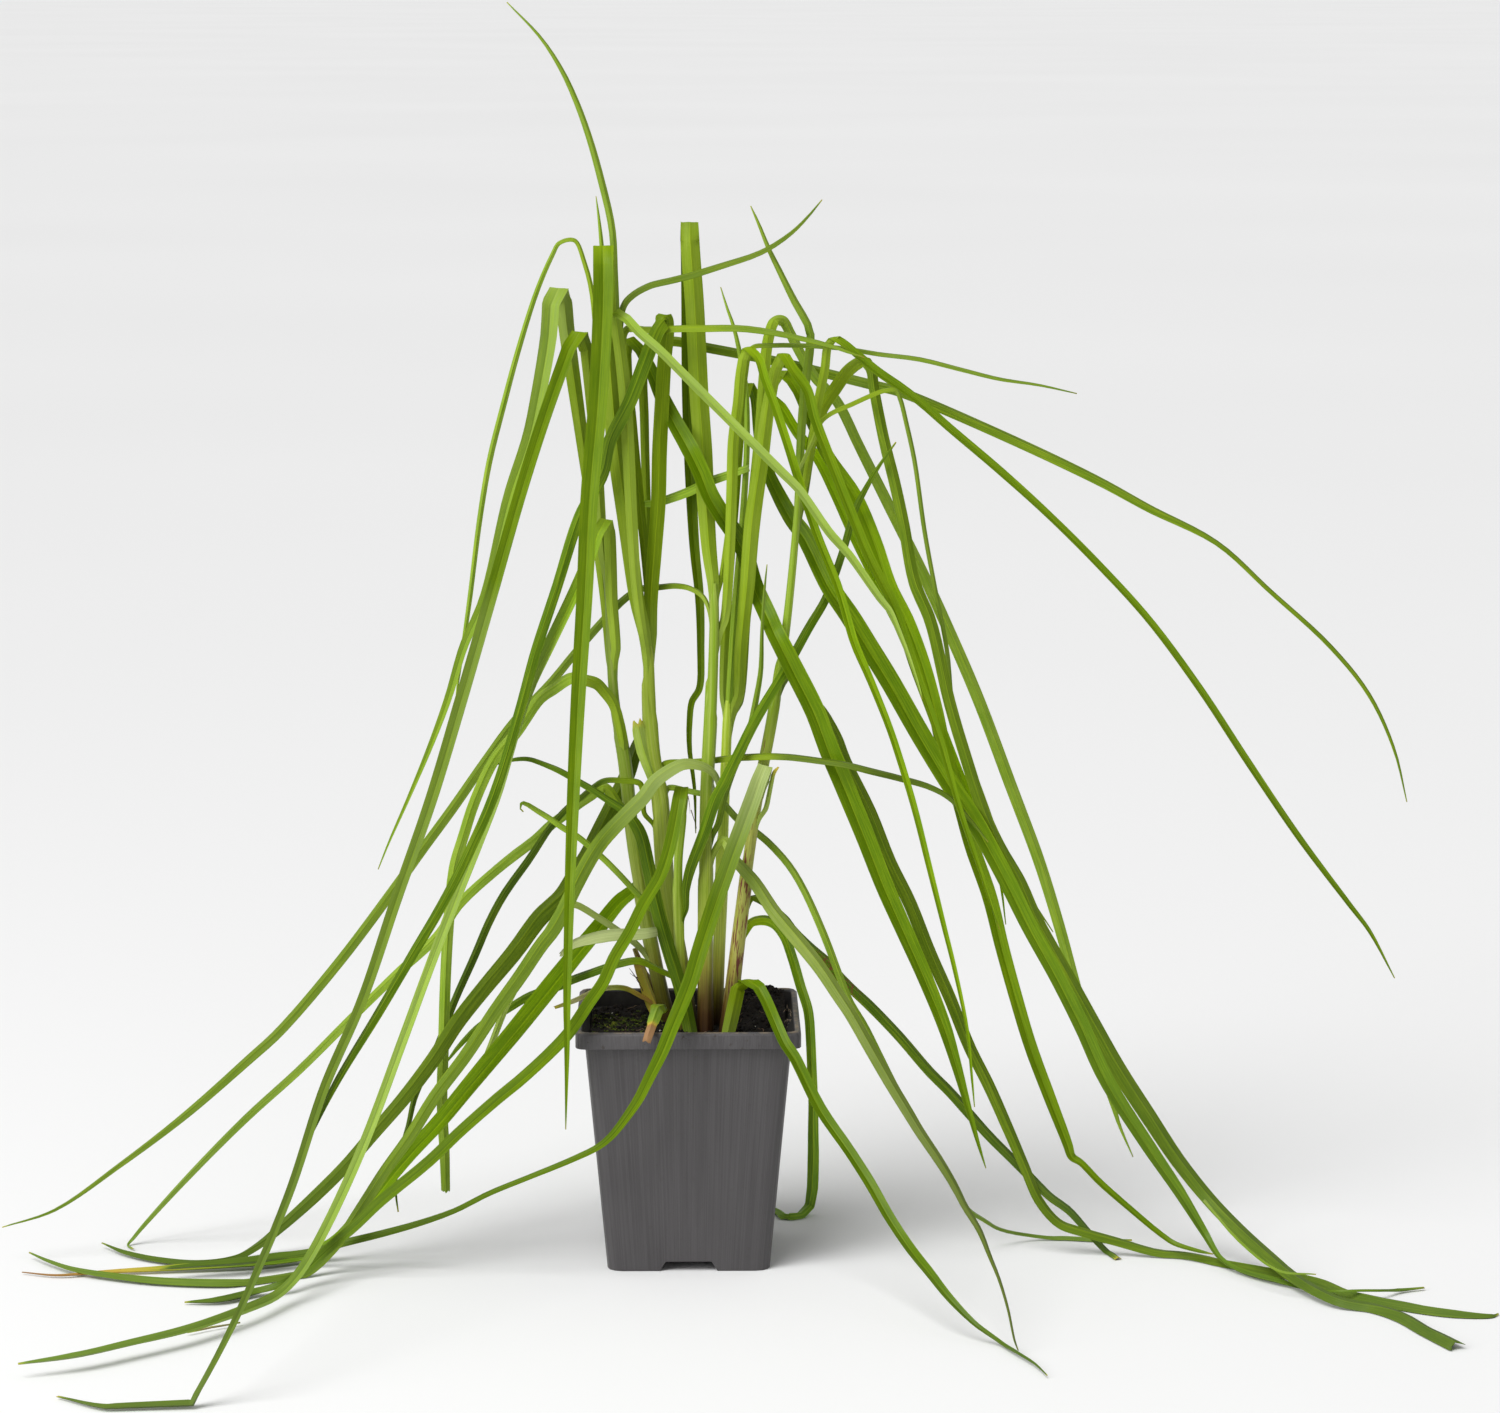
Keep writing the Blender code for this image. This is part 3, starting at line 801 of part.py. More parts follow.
    leaf("leaf_right_blunt", [
        (47, 312, -3.5, 3), (50, 333, -6, 4), (54, 346, -7, 4.8), (59, 354, -8, 5.2),
        (65, 362, -8, 5), (70.5, 365, -6, 4.6), (73.5, 362, -3, 4.2), (75, 353, -2, 4.2),
        (79, 333, -1, 4.4), (83, 317, 0, 4.6), (86.5, 301, 1, 4.6), (91, 277, 3, 4.8),
        (97.5, 261, 5, 4.8), (105, 229, 7, 4.8), (111.5, 207, 8, 4.8), (119, 184, 6, 5),
        (125, 171, 4, 5), (133, 157, 3, 5.4), (139, 143, 3, 6), (151, 121, 4, 6.4),
        (162, 101, 5, 6.6), (173, 81.5, 7, 6.8), (185, 63, 9, 6.6), (197, 45, 12, 6),
        (209, 30, 17, 5.6), (221, 17.5, 31, 5.6), (235, 5, 51, 5), (241, 0, 61, 4.6),
        (253, -7.5, 84, 4.2), (261, -11, 93, 4), (273, -14, 98, 4), (285, -18.5, LAID, 4.4),
        (297, -25, LAID, 4.6), (307.5, -30.5, LAID, 4.6)])
    leaf("leaf_right_wiry", [
        (49.5, 331, 5, 1.6), (54.5, 341.5, 6, 1.8), (67, 348, 5, 1.8), (79, 353, 5, 1.8),
        (83.5, 353, 5, 1.8), (85.5, 349, 5, 1.8), (87.5, 341, 5, 1.8), (91, 325, 4, 1.8),
        (95, 297, 3, 1.8), (99, 275, 0, 1.8), (104, 249, -2, 1.8), (106.5, 225, -3, 1.8),
        (111, 211, -4, 1.8), (119, 189, -6, 1.6), (125, 173, -7, 1.4), (133, 157, -7, 1.2),
        (146.5, 136, -8, 0.4)])
    leaf("leaf_dark_rising", [
        (-0.5, 146, 13, 2.4), (-0.5, 153, 14, 3.4), (1, 161, 15, 4.2), (7, 177, 17, 4.6),
        (11, 189, 18.5, 4.6), (15, 197, 18, 4.4), (21, 209, 17, 4.2), (27, 221, 16, 4.2),
        (39, 241, 10, 3.8), (49, 259, -2, 3.6), (55, 269, -10, 3.4), (59, 279, -13, 3.2),
        (63, 291, -9.5, 3), (67, 305, -4, 2.8), (71, 313, 0, 2.2), (77, 323, 4, 1.4), (83.5, 332, 5, 0.6)])
    leaf("leaf_dark_spike", [
        (12.5, 180, 10, 2.6), (15, 191, 11, 2.8), (19, 203, 12, 3), (22, 209, 12, 3),
        (25, 217, 11, 2.8), (27.5, 229, 11, 2.4), (29.5, 241, 11, 2), (30, 257, 11, 1.4),
        (31, 273, 11, 1), (32, 283, 11, 0.4)])
    leaf("leaf_dark_level", [
        (-9.5, 203.5, 1, 2), (1, 204.5, 2, 2.4), (9, 205, 2.5, 2.4), (17, 206, 7.5, 2.4),
        (25, 206.5, 13, 2.6), (33, 206.8, 14.5, 2.6), (41, 206.5, 15, 2.6), (53, 205, 17, 2.6),
        (63, 203.5, 18, 2.6), (73, 201, 17, 2.6), (85, 198, 9, 2.4), (97, 194.5, 8, 2.2),
        (105, 190, 9, 2), (113, 181.5, 12, 1.6), (120.5, 172, 14, 0.4)])


clear_scene()
plant = new_collection("potted_umbrella_sedge")
hidden = new_collection("cutters")
build_pot(plant, hidden)
build_soil(plant)
build_shoots()
build_left_leaves()
build_low_leaves()
build_top_leaves()
build_right_leaves()
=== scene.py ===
"""The looks of a potted umbrella sedge: its pot, peat, shoots and leaves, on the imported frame."""

import math
import random

import bmesh
import bpy
from mathutils import Matrix, Vector, noise


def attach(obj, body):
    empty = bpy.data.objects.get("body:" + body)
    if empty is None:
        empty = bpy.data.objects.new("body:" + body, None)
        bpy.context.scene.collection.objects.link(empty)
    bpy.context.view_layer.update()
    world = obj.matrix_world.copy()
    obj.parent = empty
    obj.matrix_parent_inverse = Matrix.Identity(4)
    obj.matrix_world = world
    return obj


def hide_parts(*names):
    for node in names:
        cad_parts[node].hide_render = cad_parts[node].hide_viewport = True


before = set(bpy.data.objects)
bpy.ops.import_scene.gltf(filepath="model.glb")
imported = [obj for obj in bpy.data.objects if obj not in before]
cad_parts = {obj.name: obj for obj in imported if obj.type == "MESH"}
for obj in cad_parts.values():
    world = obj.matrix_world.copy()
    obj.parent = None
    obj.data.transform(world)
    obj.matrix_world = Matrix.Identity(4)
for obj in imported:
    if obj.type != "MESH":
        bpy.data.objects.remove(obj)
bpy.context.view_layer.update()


# Pot
# A thin square nursery pot of dark grey plastic, moulded in one piece. Its tapered body has flat
# corners and a turned-out rim, with an arch in the foot of each side and four drain holes.

MM = 0.001
POT_HEIGHT = 100 * MM
RIM_HALF = 44.8 * MM
RIM_DEPTH = 6.6 * MM
RIM_BOTTOM = POT_HEIGHT - RIM_DEPTH
RIM_CORNER = 4.0 * MM
BODY_TOP_HALF = 41.1 * MM
BODY_BASE_HALF = 32.6 * MM
BODY_SLOPE = (BODY_TOP_HALF - BODY_BASE_HALF) / RIM_BOTTOM
BODY_CHAMFER = 6.0 * MM
CORNER_STEPS = 3
WALL = 1.2 * MM
LIP_EDGE = 1.0 * MM
FLOOR_THICKNESS = 6.0 * MM
ARCH_HEIGHT = 3.9 * MM
ARCH_WIDTH_LOW = 23.2 * MM
ARCH_WIDTH_HIGH = 18.3 * MM
ARCH_REACH = 15.0 * MM
ARCH_CUT_BELOW = 2 * MM
ARCH_CUT_OUT = 6 * MM
DRAIN_RADIUS = 4.0 * MM
DRAIN_OFFSET = 21.0 * MM
DRAIN_SIDES = 32
EDGE_ROUND = 0.45 * MM
EDGE_STEPS = 3
ROUNDED_FROM = math.radians(28)
POT_SHARP_FROM = math.radians(32)
SHARP_FROM = 35
GREY = (0.058, 0.054, 0.056)
GREY_BAND = (0.070, 0.066, 0.068)
GREY_LINE = (0.100, 0.095, 0.098)
GREY_CLOUD = (0.085, 0.081, 0.083)
DUST = (0.24, 0.18, 0.12)
SPLASH = (0.036, 0.026, 0.018)
INNER_WALL_SHADE = (0.008, 0.006, 0.005)


def link_value(tree, socket, value):
    """Give a socket another socket's output, or a plain value."""
    if isinstance(value, bpy.types.NodeSocket):
        tree.links.new(value, socket)
    elif isinstance(value, tuple) and len(value) == 3 and socket.type == "RGBA":
        socket.default_value = (*value, 1.0)
    else:
        socket.default_value = value


def add_node(tree, kind, inputs=None, **settings):
    """A node of one kind, with its settings and what goes into its sockets."""
    made = tree.nodes.new(kind)
    for key, value in settings.items():
        setattr(made, key, value)
    for key, value in (inputs or {}).items():
        link_value(tree, made.inputs[key], value)
    return made


def add_sum(tree, operation, first, second=0.0, third=0.0):
    """The output of a sum of up to three inputs."""
    inputs = {0: first, 1: second, 2: third}
    return add_node(tree, "ShaderNodeMath", inputs, operation=operation).outputs[0]


def add_product(tree, first, second):
    """Two values multiplied."""
    return add_sum(tree, "MULTIPLY", first, second)


def add_blend(tree, factor, first, second, kind="MIX"):
    """Two colours blended by a factor."""
    inputs = {0: factor, 6: first, 7: second}
    return add_node(tree, "ShaderNodeMix", inputs, data_type="RGBA", blend_type=kind).outputs[2]


def add_range(tree, value, low, high, start=0.0, end=1.0):
    """A value stretched from one range to another, and kept inside it."""
    inputs = {"Value": value, "From Min": low, "From Max": high, "To Min": start, "To Max": end}
    return add_node(tree, "ShaderNodeMapRange", inputs, clamp=True).outputs["Result"]


def add_ramp(tree, value, stops):
    """A value turned into the colours of a ramp."""
    made = add_node(tree, "ShaderNodeValToRGB", {"Fac": value})
    elements = made.color_ramp.elements
    while len(elements) < len(stops):
        elements.new(0.5)
    for element, (place, colour) in zip(elements, stops):
        element.position = place
        element.color = (*colour, 1.0)
    return made.outputs["Color"]


def add_noise(tree, place, scale, detail=3.0, roughness=0.55):
    """A cloudy value over a place."""
    inputs = {"Vector": place, "Scale": scale, "Detail": detail, "Roughness": roughness}
    return add_node(tree, "ShaderNodeTexNoise", inputs).outputs["Fac"]


def add_place(tree, scale=(1.0, 1.0, 1.0)):
    """The place on the object in metres, stretched along its axes."""
    place = add_node(tree, "ShaderNodeTexCoord").outputs["Object"]
    return add_node(tree, "ShaderNodeMapping", {"Vector": place, "Scale": scale}).outputs["Vector"]


def add_split(tree, vector):
    """The three parts of a vector."""
    return add_node(tree, "ShaderNodeSeparateXYZ", {0: vector}).outputs


def add_stretch(tree, vector, factors):
    """A vector stretched along each of its axes."""
    inputs = {0: vector, 1: factors}
    return add_node(tree, "ShaderNodeVectorMath", inputs, operation="MULTIPLY").outputs["Vector"]


def new_group(name, inputs, outputs, usual=()):
    """A shader group with named inputs and outputs: its tree, and where they enter and leave."""
    tree = bpy.data.node_groups.new(name, "ShaderNodeTree")
    kinds = {"colour": "NodeSocketColor", "value": "NodeSocketFloat", "place": "NodeSocketVector"}
    for way, sockets in (("INPUT", inputs), ("OUTPUT", outputs)):
        for label, kind in sockets.items():
            made = tree.interface.new_socket(label, in_out=way, socket_type=kinds[kind])
            if label in usual:
                made.default_value = usual[label]
    return tree, tree.nodes.new("NodeGroupInput").outputs, tree.nodes.new("NodeGroupOutput").inputs


def add_group(tree, group, inputs):
    """A shader group placed in a material, with its own values."""
    return add_node(tree, "ShaderNodeGroup", inputs, node_tree=group).outputs


def new_material(name, **values):
    """A material with a Principled shader and its plain values, as the node tree and the shader."""
    material = bpy.data.materials.new(name)
    material.use_nodes = True
    shader = material.node_tree.nodes["Principled BSDF"]
    for key, value in values.items():
        shader.inputs[key.replace("_", " ")].default_value = value
    return material, material.node_tree, shader


def finish_surface(tree, shader, colour, roughness, height, depth):
    """Feed a shader its colour, its roughness and its relief of one depth."""
    relief = add_node(tree, "ShaderNodeBump", {"Height": height, "Distance": depth, "Strength": 1.0})
    link_value(tree, shader.inputs["Base Color"], colour)
    link_value(tree, shader.inputs["Roughness"], roughness)
    link_value(tree, shader.inputs["Normal"], relief.outputs["Normal"])


def patches_group():
    """Scattered patches with ragged edges, for dust, splashes, specks and flecks."""
    tree, enter, leave = new_group(
        "scattered_patches",
        {"Place": "place", "Scale": "value", "Start": "value", "Full": "value"}, {"Mask": "value"})
    cloud = add_noise(tree, enter["Place"], enter["Scale"], 5.0, 0.6)
    mask = add_range(tree, cloud, enter["Start"], enter["Full"])
    link_value(tree, leave["Mask"], mask)
    return tree


SCATTERED_PATCHES = patches_group()


def add_patches(tree, place, scale, start, full):
    """How far each place lies in a scattered patch, from 0 to 1."""
    inputs = {"Place": place, "Scale": scale, "Start": start, "Full": full}
    return add_group(tree, SCATTERED_PATCHES, inputs)["Mask"]


def pot_plastic():
    """Dull grey plastic with upright draw lines, dust on its top edge, splashes of peat and painted shade
    on its inner wall.
    """
    material, tree, shader = new_material("pot_plastic", Specular_IOR_Level=0.35)
    place = add_place(tree)
    apart = add_split(tree, place)
    height = apart["Z"]
    half = add_sum(tree, "MULTIPLY_ADD", height, BODY_SLOPE, BODY_BASE_HALF)
    taper = add_sum(tree, "DIVIDE", BODY_TOP_HALF, half)
    drawn = add_node(tree, "ShaderNodeCombineXYZ", {"X": taper, "Y": taper, "Z": 0.008}).outputs[0]
    lines = add_noise(tree, add_stretch(tree, place, drawn), 1500, 2.0)
    bands = add_noise(tree, add_place(tree, (1, 1, 0.08)), 170, 3.0)
    cloud = add_noise(tree, place, 40, 5.0)
    grain = add_noise(tree, place, 2200, 2.0)
    colour = add_blend(tree, add_range(tree, bands, 0.35, 0.7), GREY, GREY_BAND)
    colour = add_blend(tree, add_range(tree, lines, 0.42, 0.60, 0.0, 0.36), colour, GREY_LINE)
    colour = add_blend(tree, add_range(tree, cloud, 0.35, 0.75, 0.0, 0.3), colour, GREY_CLOUD)
    on_edge = add_range(tree, height, 99.5 * MM, 99.9 * MM, 0.0, 0.8)
    dust = add_product(tree, add_patches(tree, place, 200.0, 0.42, 0.62), on_edge)
    colour = add_blend(tree, dust, colour, DUST)
    near_rim = add_range(tree, height, 88 * MM, 99 * MM, 0.1, 0.9)
    splash = add_product(tree, add_patches(tree, place, 430.0, 0.62, 0.68), near_rim)
    colour = add_blend(tree, splash, colour, SPLASH)
    # Painted shade: the inner wall between the peat and the top of the rim is darkened almost to black,
    # patchily, and made rougher there.
    across = add_sum(tree, "ABSOLUTE", apart["X"])
    along = add_sum(tree, "ABSOLUTE", apart["Y"])
    out = add_sum(tree, "MAXIMUM", across, along)
    inside = add_range(tree, out, RIM_HALF - 1.0 * MM, RIM_HALF - 1.5 * MM)
    lining = add_product(tree, inside, add_range(tree, height, RIM_BOTTOM - 1 * MM, RIM_BOTTOM))
    patchy = add_range(tree, add_patches(tree, place, 120.0, 0.30, 0.55), 0.0, 1.0, 0.85, 1.0)
    painted_inner_shade = add_product(tree, add_product(tree, lining, patchy),
                         add_range(tree, height, 99.6 * MM, 98.8 * MM))
    colour = add_blend(tree, painted_inner_shade, colour, INNER_WALL_SHADE)
    relief = add_sum(tree, "MULTIPLY_ADD", grain, 0.35, lines)
    rough = add_sum(tree, "MULTIPLY_ADD", painted_inner_shade, 0.4, add_range(tree, cloud, 0.3, 0.7, 0.44, 0.60))
    finish_surface(tree, shader, colour, rough, relief, 0.10 * MM)
    return material


def add_object(name, data):
    """A mesh, a lamp or a lens put in the scene."""
    thing = bpy.data.objects.new(name, data)
    bpy.context.scene.collection.objects.link(thing)
    return thing


def mesh_object(name, vertices, faces, material, sharp_from=SHARP_FROM):
    """An object made of closed surfaces, smooth but for its sharp edges."""
    cage = bmesh.new()
    points = [cage.verts.new(v) for v in vertices]
    for face in faces:
        cage.faces.new([points[i] for i in face])
    bmesh.ops.recalc_face_normals(cage, faces=cage.faces)
    mesh = bpy.data.meshes.new(name)
    cage.to_mesh(mesh)
    cage.free()
    mesh.shade_smooth()
    mesh.set_sharp_from_angle(angle=math.radians(sharp_from))
    if material:
        mesh.materials.append(material)
    return add_object(name, mesh)


def loft(sections, closed=True):
    """Vertices and faces that join rings of the same number of points, one after another."""
    count = len(sections[0])
    vertices = [point for ring in sections for point in ring]
    faces = []
    for ring in range(len(sections) - 1):
        low = ring * count
        high = low + count
        for i in range(count):
            j = (i + 1) % count
            faces.append((low + i, low + j, high + j, high + i))
    if closed:
        last = (len(sections) - 1) * count
        faces.append(tuple(reversed(range(count))))
        faces.append(tuple(range(last, last + count)))
    return vertices, faces


def square_ring(half, corner, z):
    """A square whose corners are arcs of a few steps."""
    ring = []
    for quarter in range(4):
        turn = quarter * math.pi / 2
        for step in range(CORNER_STEPS + 1):
            angle = turn + step * math.pi / 2 / CORNER_STEPS
            centre = half - corner
            x = centre * (math.cos(turn) - math.sin(turn)) + corner * math.cos(angle)
            y = centre * (math.sin(turn) + math.cos(turn)) + corner * math.sin(angle)
            ring.append(Vector((x, y, z)))
    return ring


def body_half(z):
    """Half the pot's outside width below its rim, at one height."""
    return BODY_BASE_HALF + (BODY_TOP_HALF - BODY_BASE_HALF) * z / RIM_BOTTOM


def foot_arch(name, turn):
    """A block with sloping ends, to cut the arch in one side of the foot."""
    slope = (ARCH_WIDTH_LOW - ARCH_WIDTH_HIGH) / 2 / ARCH_HEIGHT
    low = ARCH_WIDTH_LOW / 2 + slope * ARCH_CUT_BELOW
    high = ARCH_WIDTH_HIGH / 2
    outline = [(-low, -ARCH_CUT_BELOW), (low, -ARCH_CUT_BELOW),
               (high, ARCH_HEIGHT), (-high, ARCH_HEIGHT)]
    ends = (-BODY_BASE_HALF - ARCH_CUT_OUT, -BODY_BASE_HALF + ARCH_REACH)
    turned = Matrix.Rotation(turn, 4, "Z")
    sections = [[turned @ Vector((x, y, z)) for x, z in outline] for y in ends]
    return mesh_object(name, *loft(sections), None)


def drain(name, x, y):
    """A short rod, to cut one drain hole."""
    turns = [2 * math.pi * i / DRAIN_SIDES for i in range(DRAIN_SIDES)]
    rim = [(x + DRAIN_RADIUS * math.cos(a), y + DRAIN_RADIUS * math.sin(a)) for a in turns]
    heights = (-FLOOR_THICKNESS, 2 * FLOOR_THICKNESS)
    return mesh_object(name, *loft([[Vector((*point, z)) for point in rim] for z in heights]), None)


def settle(thing):
    """Turn an object's modifiers into its own mesh."""
    shape = thing.evaluated_get(bpy.context.evaluated_depsgraph_get())
    thing.data = bpy.data.meshes.new_from_object(shape)
    thing.modifiers.clear()


def keep(piece, slot, *replaced):
    """Fix a finished piece to the plant, and hide the solids that it stands for; its finish is not used.
    """
    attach(piece, "root")
    if replaced:
        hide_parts(*replaced)
    return piece


def build_pot():
    """The pot, with its openings cut and its edges rounded."""
    rings = [
        square_ring(BODY_BASE_HALF, BODY_CHAMFER, 0.0),
        square_ring(BODY_TOP_HALF, BODY_CHAMFER, RIM_BOTTOM),
        square_ring(RIM_HALF, RIM_CORNER, RIM_BOTTOM),
        square_ring(RIM_HALF, RIM_CORNER, POT_HEIGHT - LIP_EDGE),
        square_ring(RIM_HALF - LIP_EDGE, RIM_CORNER, POT_HEIGHT),
        square_ring(RIM_HALF - LIP_EDGE - WALL, RIM_CORNER, POT_HEIGHT),
        square_ring(BODY_TOP_HALF - WALL, BODY_CHAMFER - WALL, RIM_BOTTOM),
        square_ring(body_half(FLOOR_THICKNESS) - WALL, BODY_CHAMFER - WALL, FLOOR_THICKNESS),
    ]
    pot = mesh_object("nursery_pot", *loft(rings), pot_plastic())
    cutters = [foot_arch(f"foot_arch_{side}", side * math.pi / 2) for side in range(4)]
    for x in (-1, 1):
        cutters += [drain(f"drain_{x}_{y}", x * DRAIN_OFFSET, y * DRAIN_OFFSET) for y in (-1, 1)]
    for cutter in cutters:
        cut = pot.modifiers.new("opening", "BOOLEAN")
        cut.operation = "DIFFERENCE"
        cut.solver = "EXACT"
        cut.object = cutter
    rounding = pot.modifiers.new("rounded_edges", "BEVEL")
    rounding.width = EDGE_ROUND
    rounding.segments = EDGE_STEPS
    rounding.limit_method = "ANGLE"
    rounding.angle_limit = ROUNDED_FROM
    settle(pot)
    pot.data.shade_smooth()
    pot.data.set_sharp_from_angle(angle=POT_SHARP_FROM)
    for cutter in cutters:
        bpy.data.objects.remove(cutter, do_unlink=True)
    keep(pot, "pot_plastic", "pot")


build_pot()


# Soil
# Damp black peat packed in the pot round the roots: a lumpy bed with loose crumbs, bark fibres
# and white perlite on it, and thin moss that has grown along the left of the front edge.

SOIL_GAP = 0.4 * MM
SOIL_LEVEL = 93.6 * MM
SOIL_LUMP = 0.9 * MM
MOUND_HEIGHT = 6.0 * MM
MOUND_PLACE = (33 * MM, 27 * MM)
MOUND_SPREAD = 19 * MM
SOIL_CELLS = 110
HEAP_TOP = 101.4 * MM
HEAP_START = (6 * MM, 4 * MM)
HEAP_RUN = (15 * MM, 33 * MM)
LUMP_SWELLING = 0.42
LUMP_GRAIN = 0.16
CLOD_SCALE = 190
CLOD_SIZE = 1.1 * MM
CRUMB_SCALE = 700
CRUMB_SINK = 0.6 * MM
CLUMP_MIDDLE = 2 * MM
CLUMP_HALF = (15 * MM, 9 * MM)
CRUMBS = 900
HEAPED_CRUMBS = 420
PERLITE = 34
FIBRES = 70
FIBRE_TAPER = (0.5, 1, 1, 1, 0.9, 0.3)
DRY_FIBRES = 11
DRY_FIBRE_TAPER = (0.5, 1, 1, 0.8, 0.3)
MOSS_TUFTS = 300
MOSS_LEAVES = 9
MOSS_TAPER = (0.10 * MM, 0.16 * MM, 0.03 * MM)
BED_SHARP_FROM = 60
LOOSE_SHARP_FROM = 50
PEAT_RELIEF = 0.6 * MM
PEAT_SPECK = (0.085, 0.052, 0.030)


def soil_height(x, y):
    """The height of the soil's lumpy top, with its mound at the right and back."""
    away = math.hypot(x - MOUND_PLACE[0], y - MOUND_PLACE[1]) / MOUND_SPREAD
    mound = MOUND_HEIGHT * math.exp(-away * away)
    ripple = math.sin(x * 230 + 0.6) * math.cos(y * 190 - 0.4) + 0.5 * math.sin((x + y) * 410)
    return SOIL_LEVEL + mound + SOIL_LUMP * ripple * 0.6


def heap_share(x, y):
    """How far a place lies in the heap at the right and back, from 0 to 1."""
    right = max(0.0, min(1.0, (x - HEAP_START[0]) / HEAP_RUN[0]))
    back = max(0.0, min(1.0, (y - HEAP_START[1]) / HEAP_RUN[1]))
    return right * (3 - 2 * right) * right * back * back * (3 - 2 * back)


def crumbly_height(x, y):
    """The soil's top with its clods, its crumbs and the heap in its corner."""
    place = Vector((x, y, 0.0))
    clods = noise.fractal(place * CLOD_SCALE, 0.8, 2.1, 4) * CLOD_SIZE
    crumbs = abs(noise.noise(place * CRUMB_SCALE)) * CLOD_SIZE
    level = soil_height(x, y)
    return level + clods + crumbs - CRUMB_SINK + (HEAP_TOP - level) * heap_share(x, y)


def soil_half(margin):
    """Half the soil's width at its level, less a margin."""
    return body_half(SOIL_LEVEL) - WALL - margin


def peat():
    """Near-black peat, damp and dark in its hollows and brown on its crumbs."""
    material, tree, shader = new_material("peat", Specular_IOR_Level=0.25)
    place = add_place(tree)
    coarse = add_noise(tree, place, 330, 6.0, 0.7)
    fine = add_noise(tree, place, 2000, 4.0, 0.7)
    colour = add_ramp(tree, coarse, [(0.34, (0.004, 0.003, 0.002)), (0.54, (0.010, 0.007, 0.005)),
                                     (0.78, (0.034, 0.022, 0.015))])
    specks = add_product(tree, add_patches(tree, place, 1500.0, 0.60, 0.68), 0.55)
    colour = add_blend(tree, specks, colour, PEAT_SPECK)
    rough = add_range(tree, coarse, 0.3, 0.7, 0.70, 0.97)
    finish_surface(tree, shader, colour, rough, add_sum(tree, "ADD", coarse, fine), PEAT_RELIEF)
    return material


def grain_material(name, grains, stops, rough, depth=0.1 * MM, **values):
    """A dull rough material, darker and lighter in its grains."""
    material, tree, shader = new_material(name, **values)
    grain = add_noise(tree, add_place(tree), *grains)
    colour = add_ramp(tree, grain, stops)
    finish_surface(tree, shader, colour, add_range(tree, grain, 0.3, 0.7, *rough), grain, depth)
    return material


def build_peat_bed(material):
    """The block of peat, its sides against the pot's wall and its top broken into crumbs."""
    bottom = FLOOR_THICKNESS + SOIL_GAP
    side = WALL + SOIL_GAP
    edge = body_half(SOIL_LEVEL - 1 * MM) - side
    foot = (body_half(bottom) - side) / edge
    flat_sum = 2 - BODY_CHAMFER / edge
    count = SOIL_CELLS + 1
    vertices = []
    for row in range(count):
        for column in range(count):
            a = 2 * column / SOIL_CELLS - 1
            b = 2 * row / SOIL_CELLS - 1
            stretch = (abs(a) + abs(b)) / max(abs(a), abs(b), 0.01)
            share = min(1.0, flat_sum / max(stretch, 0.01))
            x = a * edge * share
            y = b * edge * share
            vertices.append(Vector((x, y, crumbly_height(x, y))))
    faces = []
    for row in range(SOIL_CELLS):
        for column in range(SOIL_CELLS):
            low = row * count + column
            faces.append((low, low + 1, low + count + 1, low + count))
    border = list(range(count)) + [row * count + SOIL_CELLS for row in range(1, count)]
    border += [SOIL_CELLS * count + column for column in range(SOIL_CELLS - 1, -1, -1)]
    border += [row * count for row in range(SOIL_CELLS - 1, 0, -1)]
    first = len(vertices)
    for index in border:
        top = vertices[index]
        vertices.append(Vector((top.x * foot, top.y * foot, bottom)))
    for i, index in enumerate(border):
        j = (i + 1) % len(border)
        faces.append((border[j], index, first + i, first + j))
    faces.append(tuple(first + i for i in range(len(border))))
    keep(mesh_object("peat_bed", vertices, faces, material, BED_SHARP_FROM), "peat", "soil")


def free_soil_place(draw):
    """A place on the soil, away from the pot's wall and from the foot of the shoots."""
    half = soil_half(2.2 * MM)
    while True:
        x = draw.uniform(-half, half)
        y = draw.uniform(-half, half)
        in_clump = abs(x - CLUMP_MIDDLE) < CLUMP_HALF[0] and abs(y - CLUMP_MIDDLE) < CLUMP_HALF[1]
        if abs(x) + abs(y) < 2 * half - BODY_CHAMFER and not in_clump:
            return x, y


def add_lump(vertices, faces, centre, size, squash, draw):
    """A small rough lump, pushed out of round by noise."""
    cage = bmesh.new()
    bmesh.ops.create_icosphere(cage, subdivisions=2, radius=1.0)
    shift = Vector((draw.uniform(0, 90), draw.uniform(0, 90), draw.uniform(0, 90)))
    angle = draw.uniform(0, math.pi)
    axis = Vector((draw.uniform(-1, 1), draw.uniform(-1, 1), 1))
    turn = Matrix.Rotation(angle, 3, axis)
    first = len(vertices)
    for point in cage.verts:
        broad = LUMP_SWELLING * noise.noise(point.co * 1.3 + shift)
        fine = LUMP_GRAIN * noise.noise(point.co * 4 + shift)
        shaped = Vector((point.co.x, point.co.y, point.co.z * squash)) * (size * (1 + broad + fine))
        vertices.append(centre + turn @ shaped)
    faces.extend(tuple(first + corner.index for corner in face.verts) for face in cage.faces)
    cage.free()


def keep_loose(name, vertices, faces, material):
    """Keep many small loose bits as one piece that lies with the peat."""
    keep(mesh_object(name, vertices, faces, material, LOOSE_SHARP_FROM), "peat")


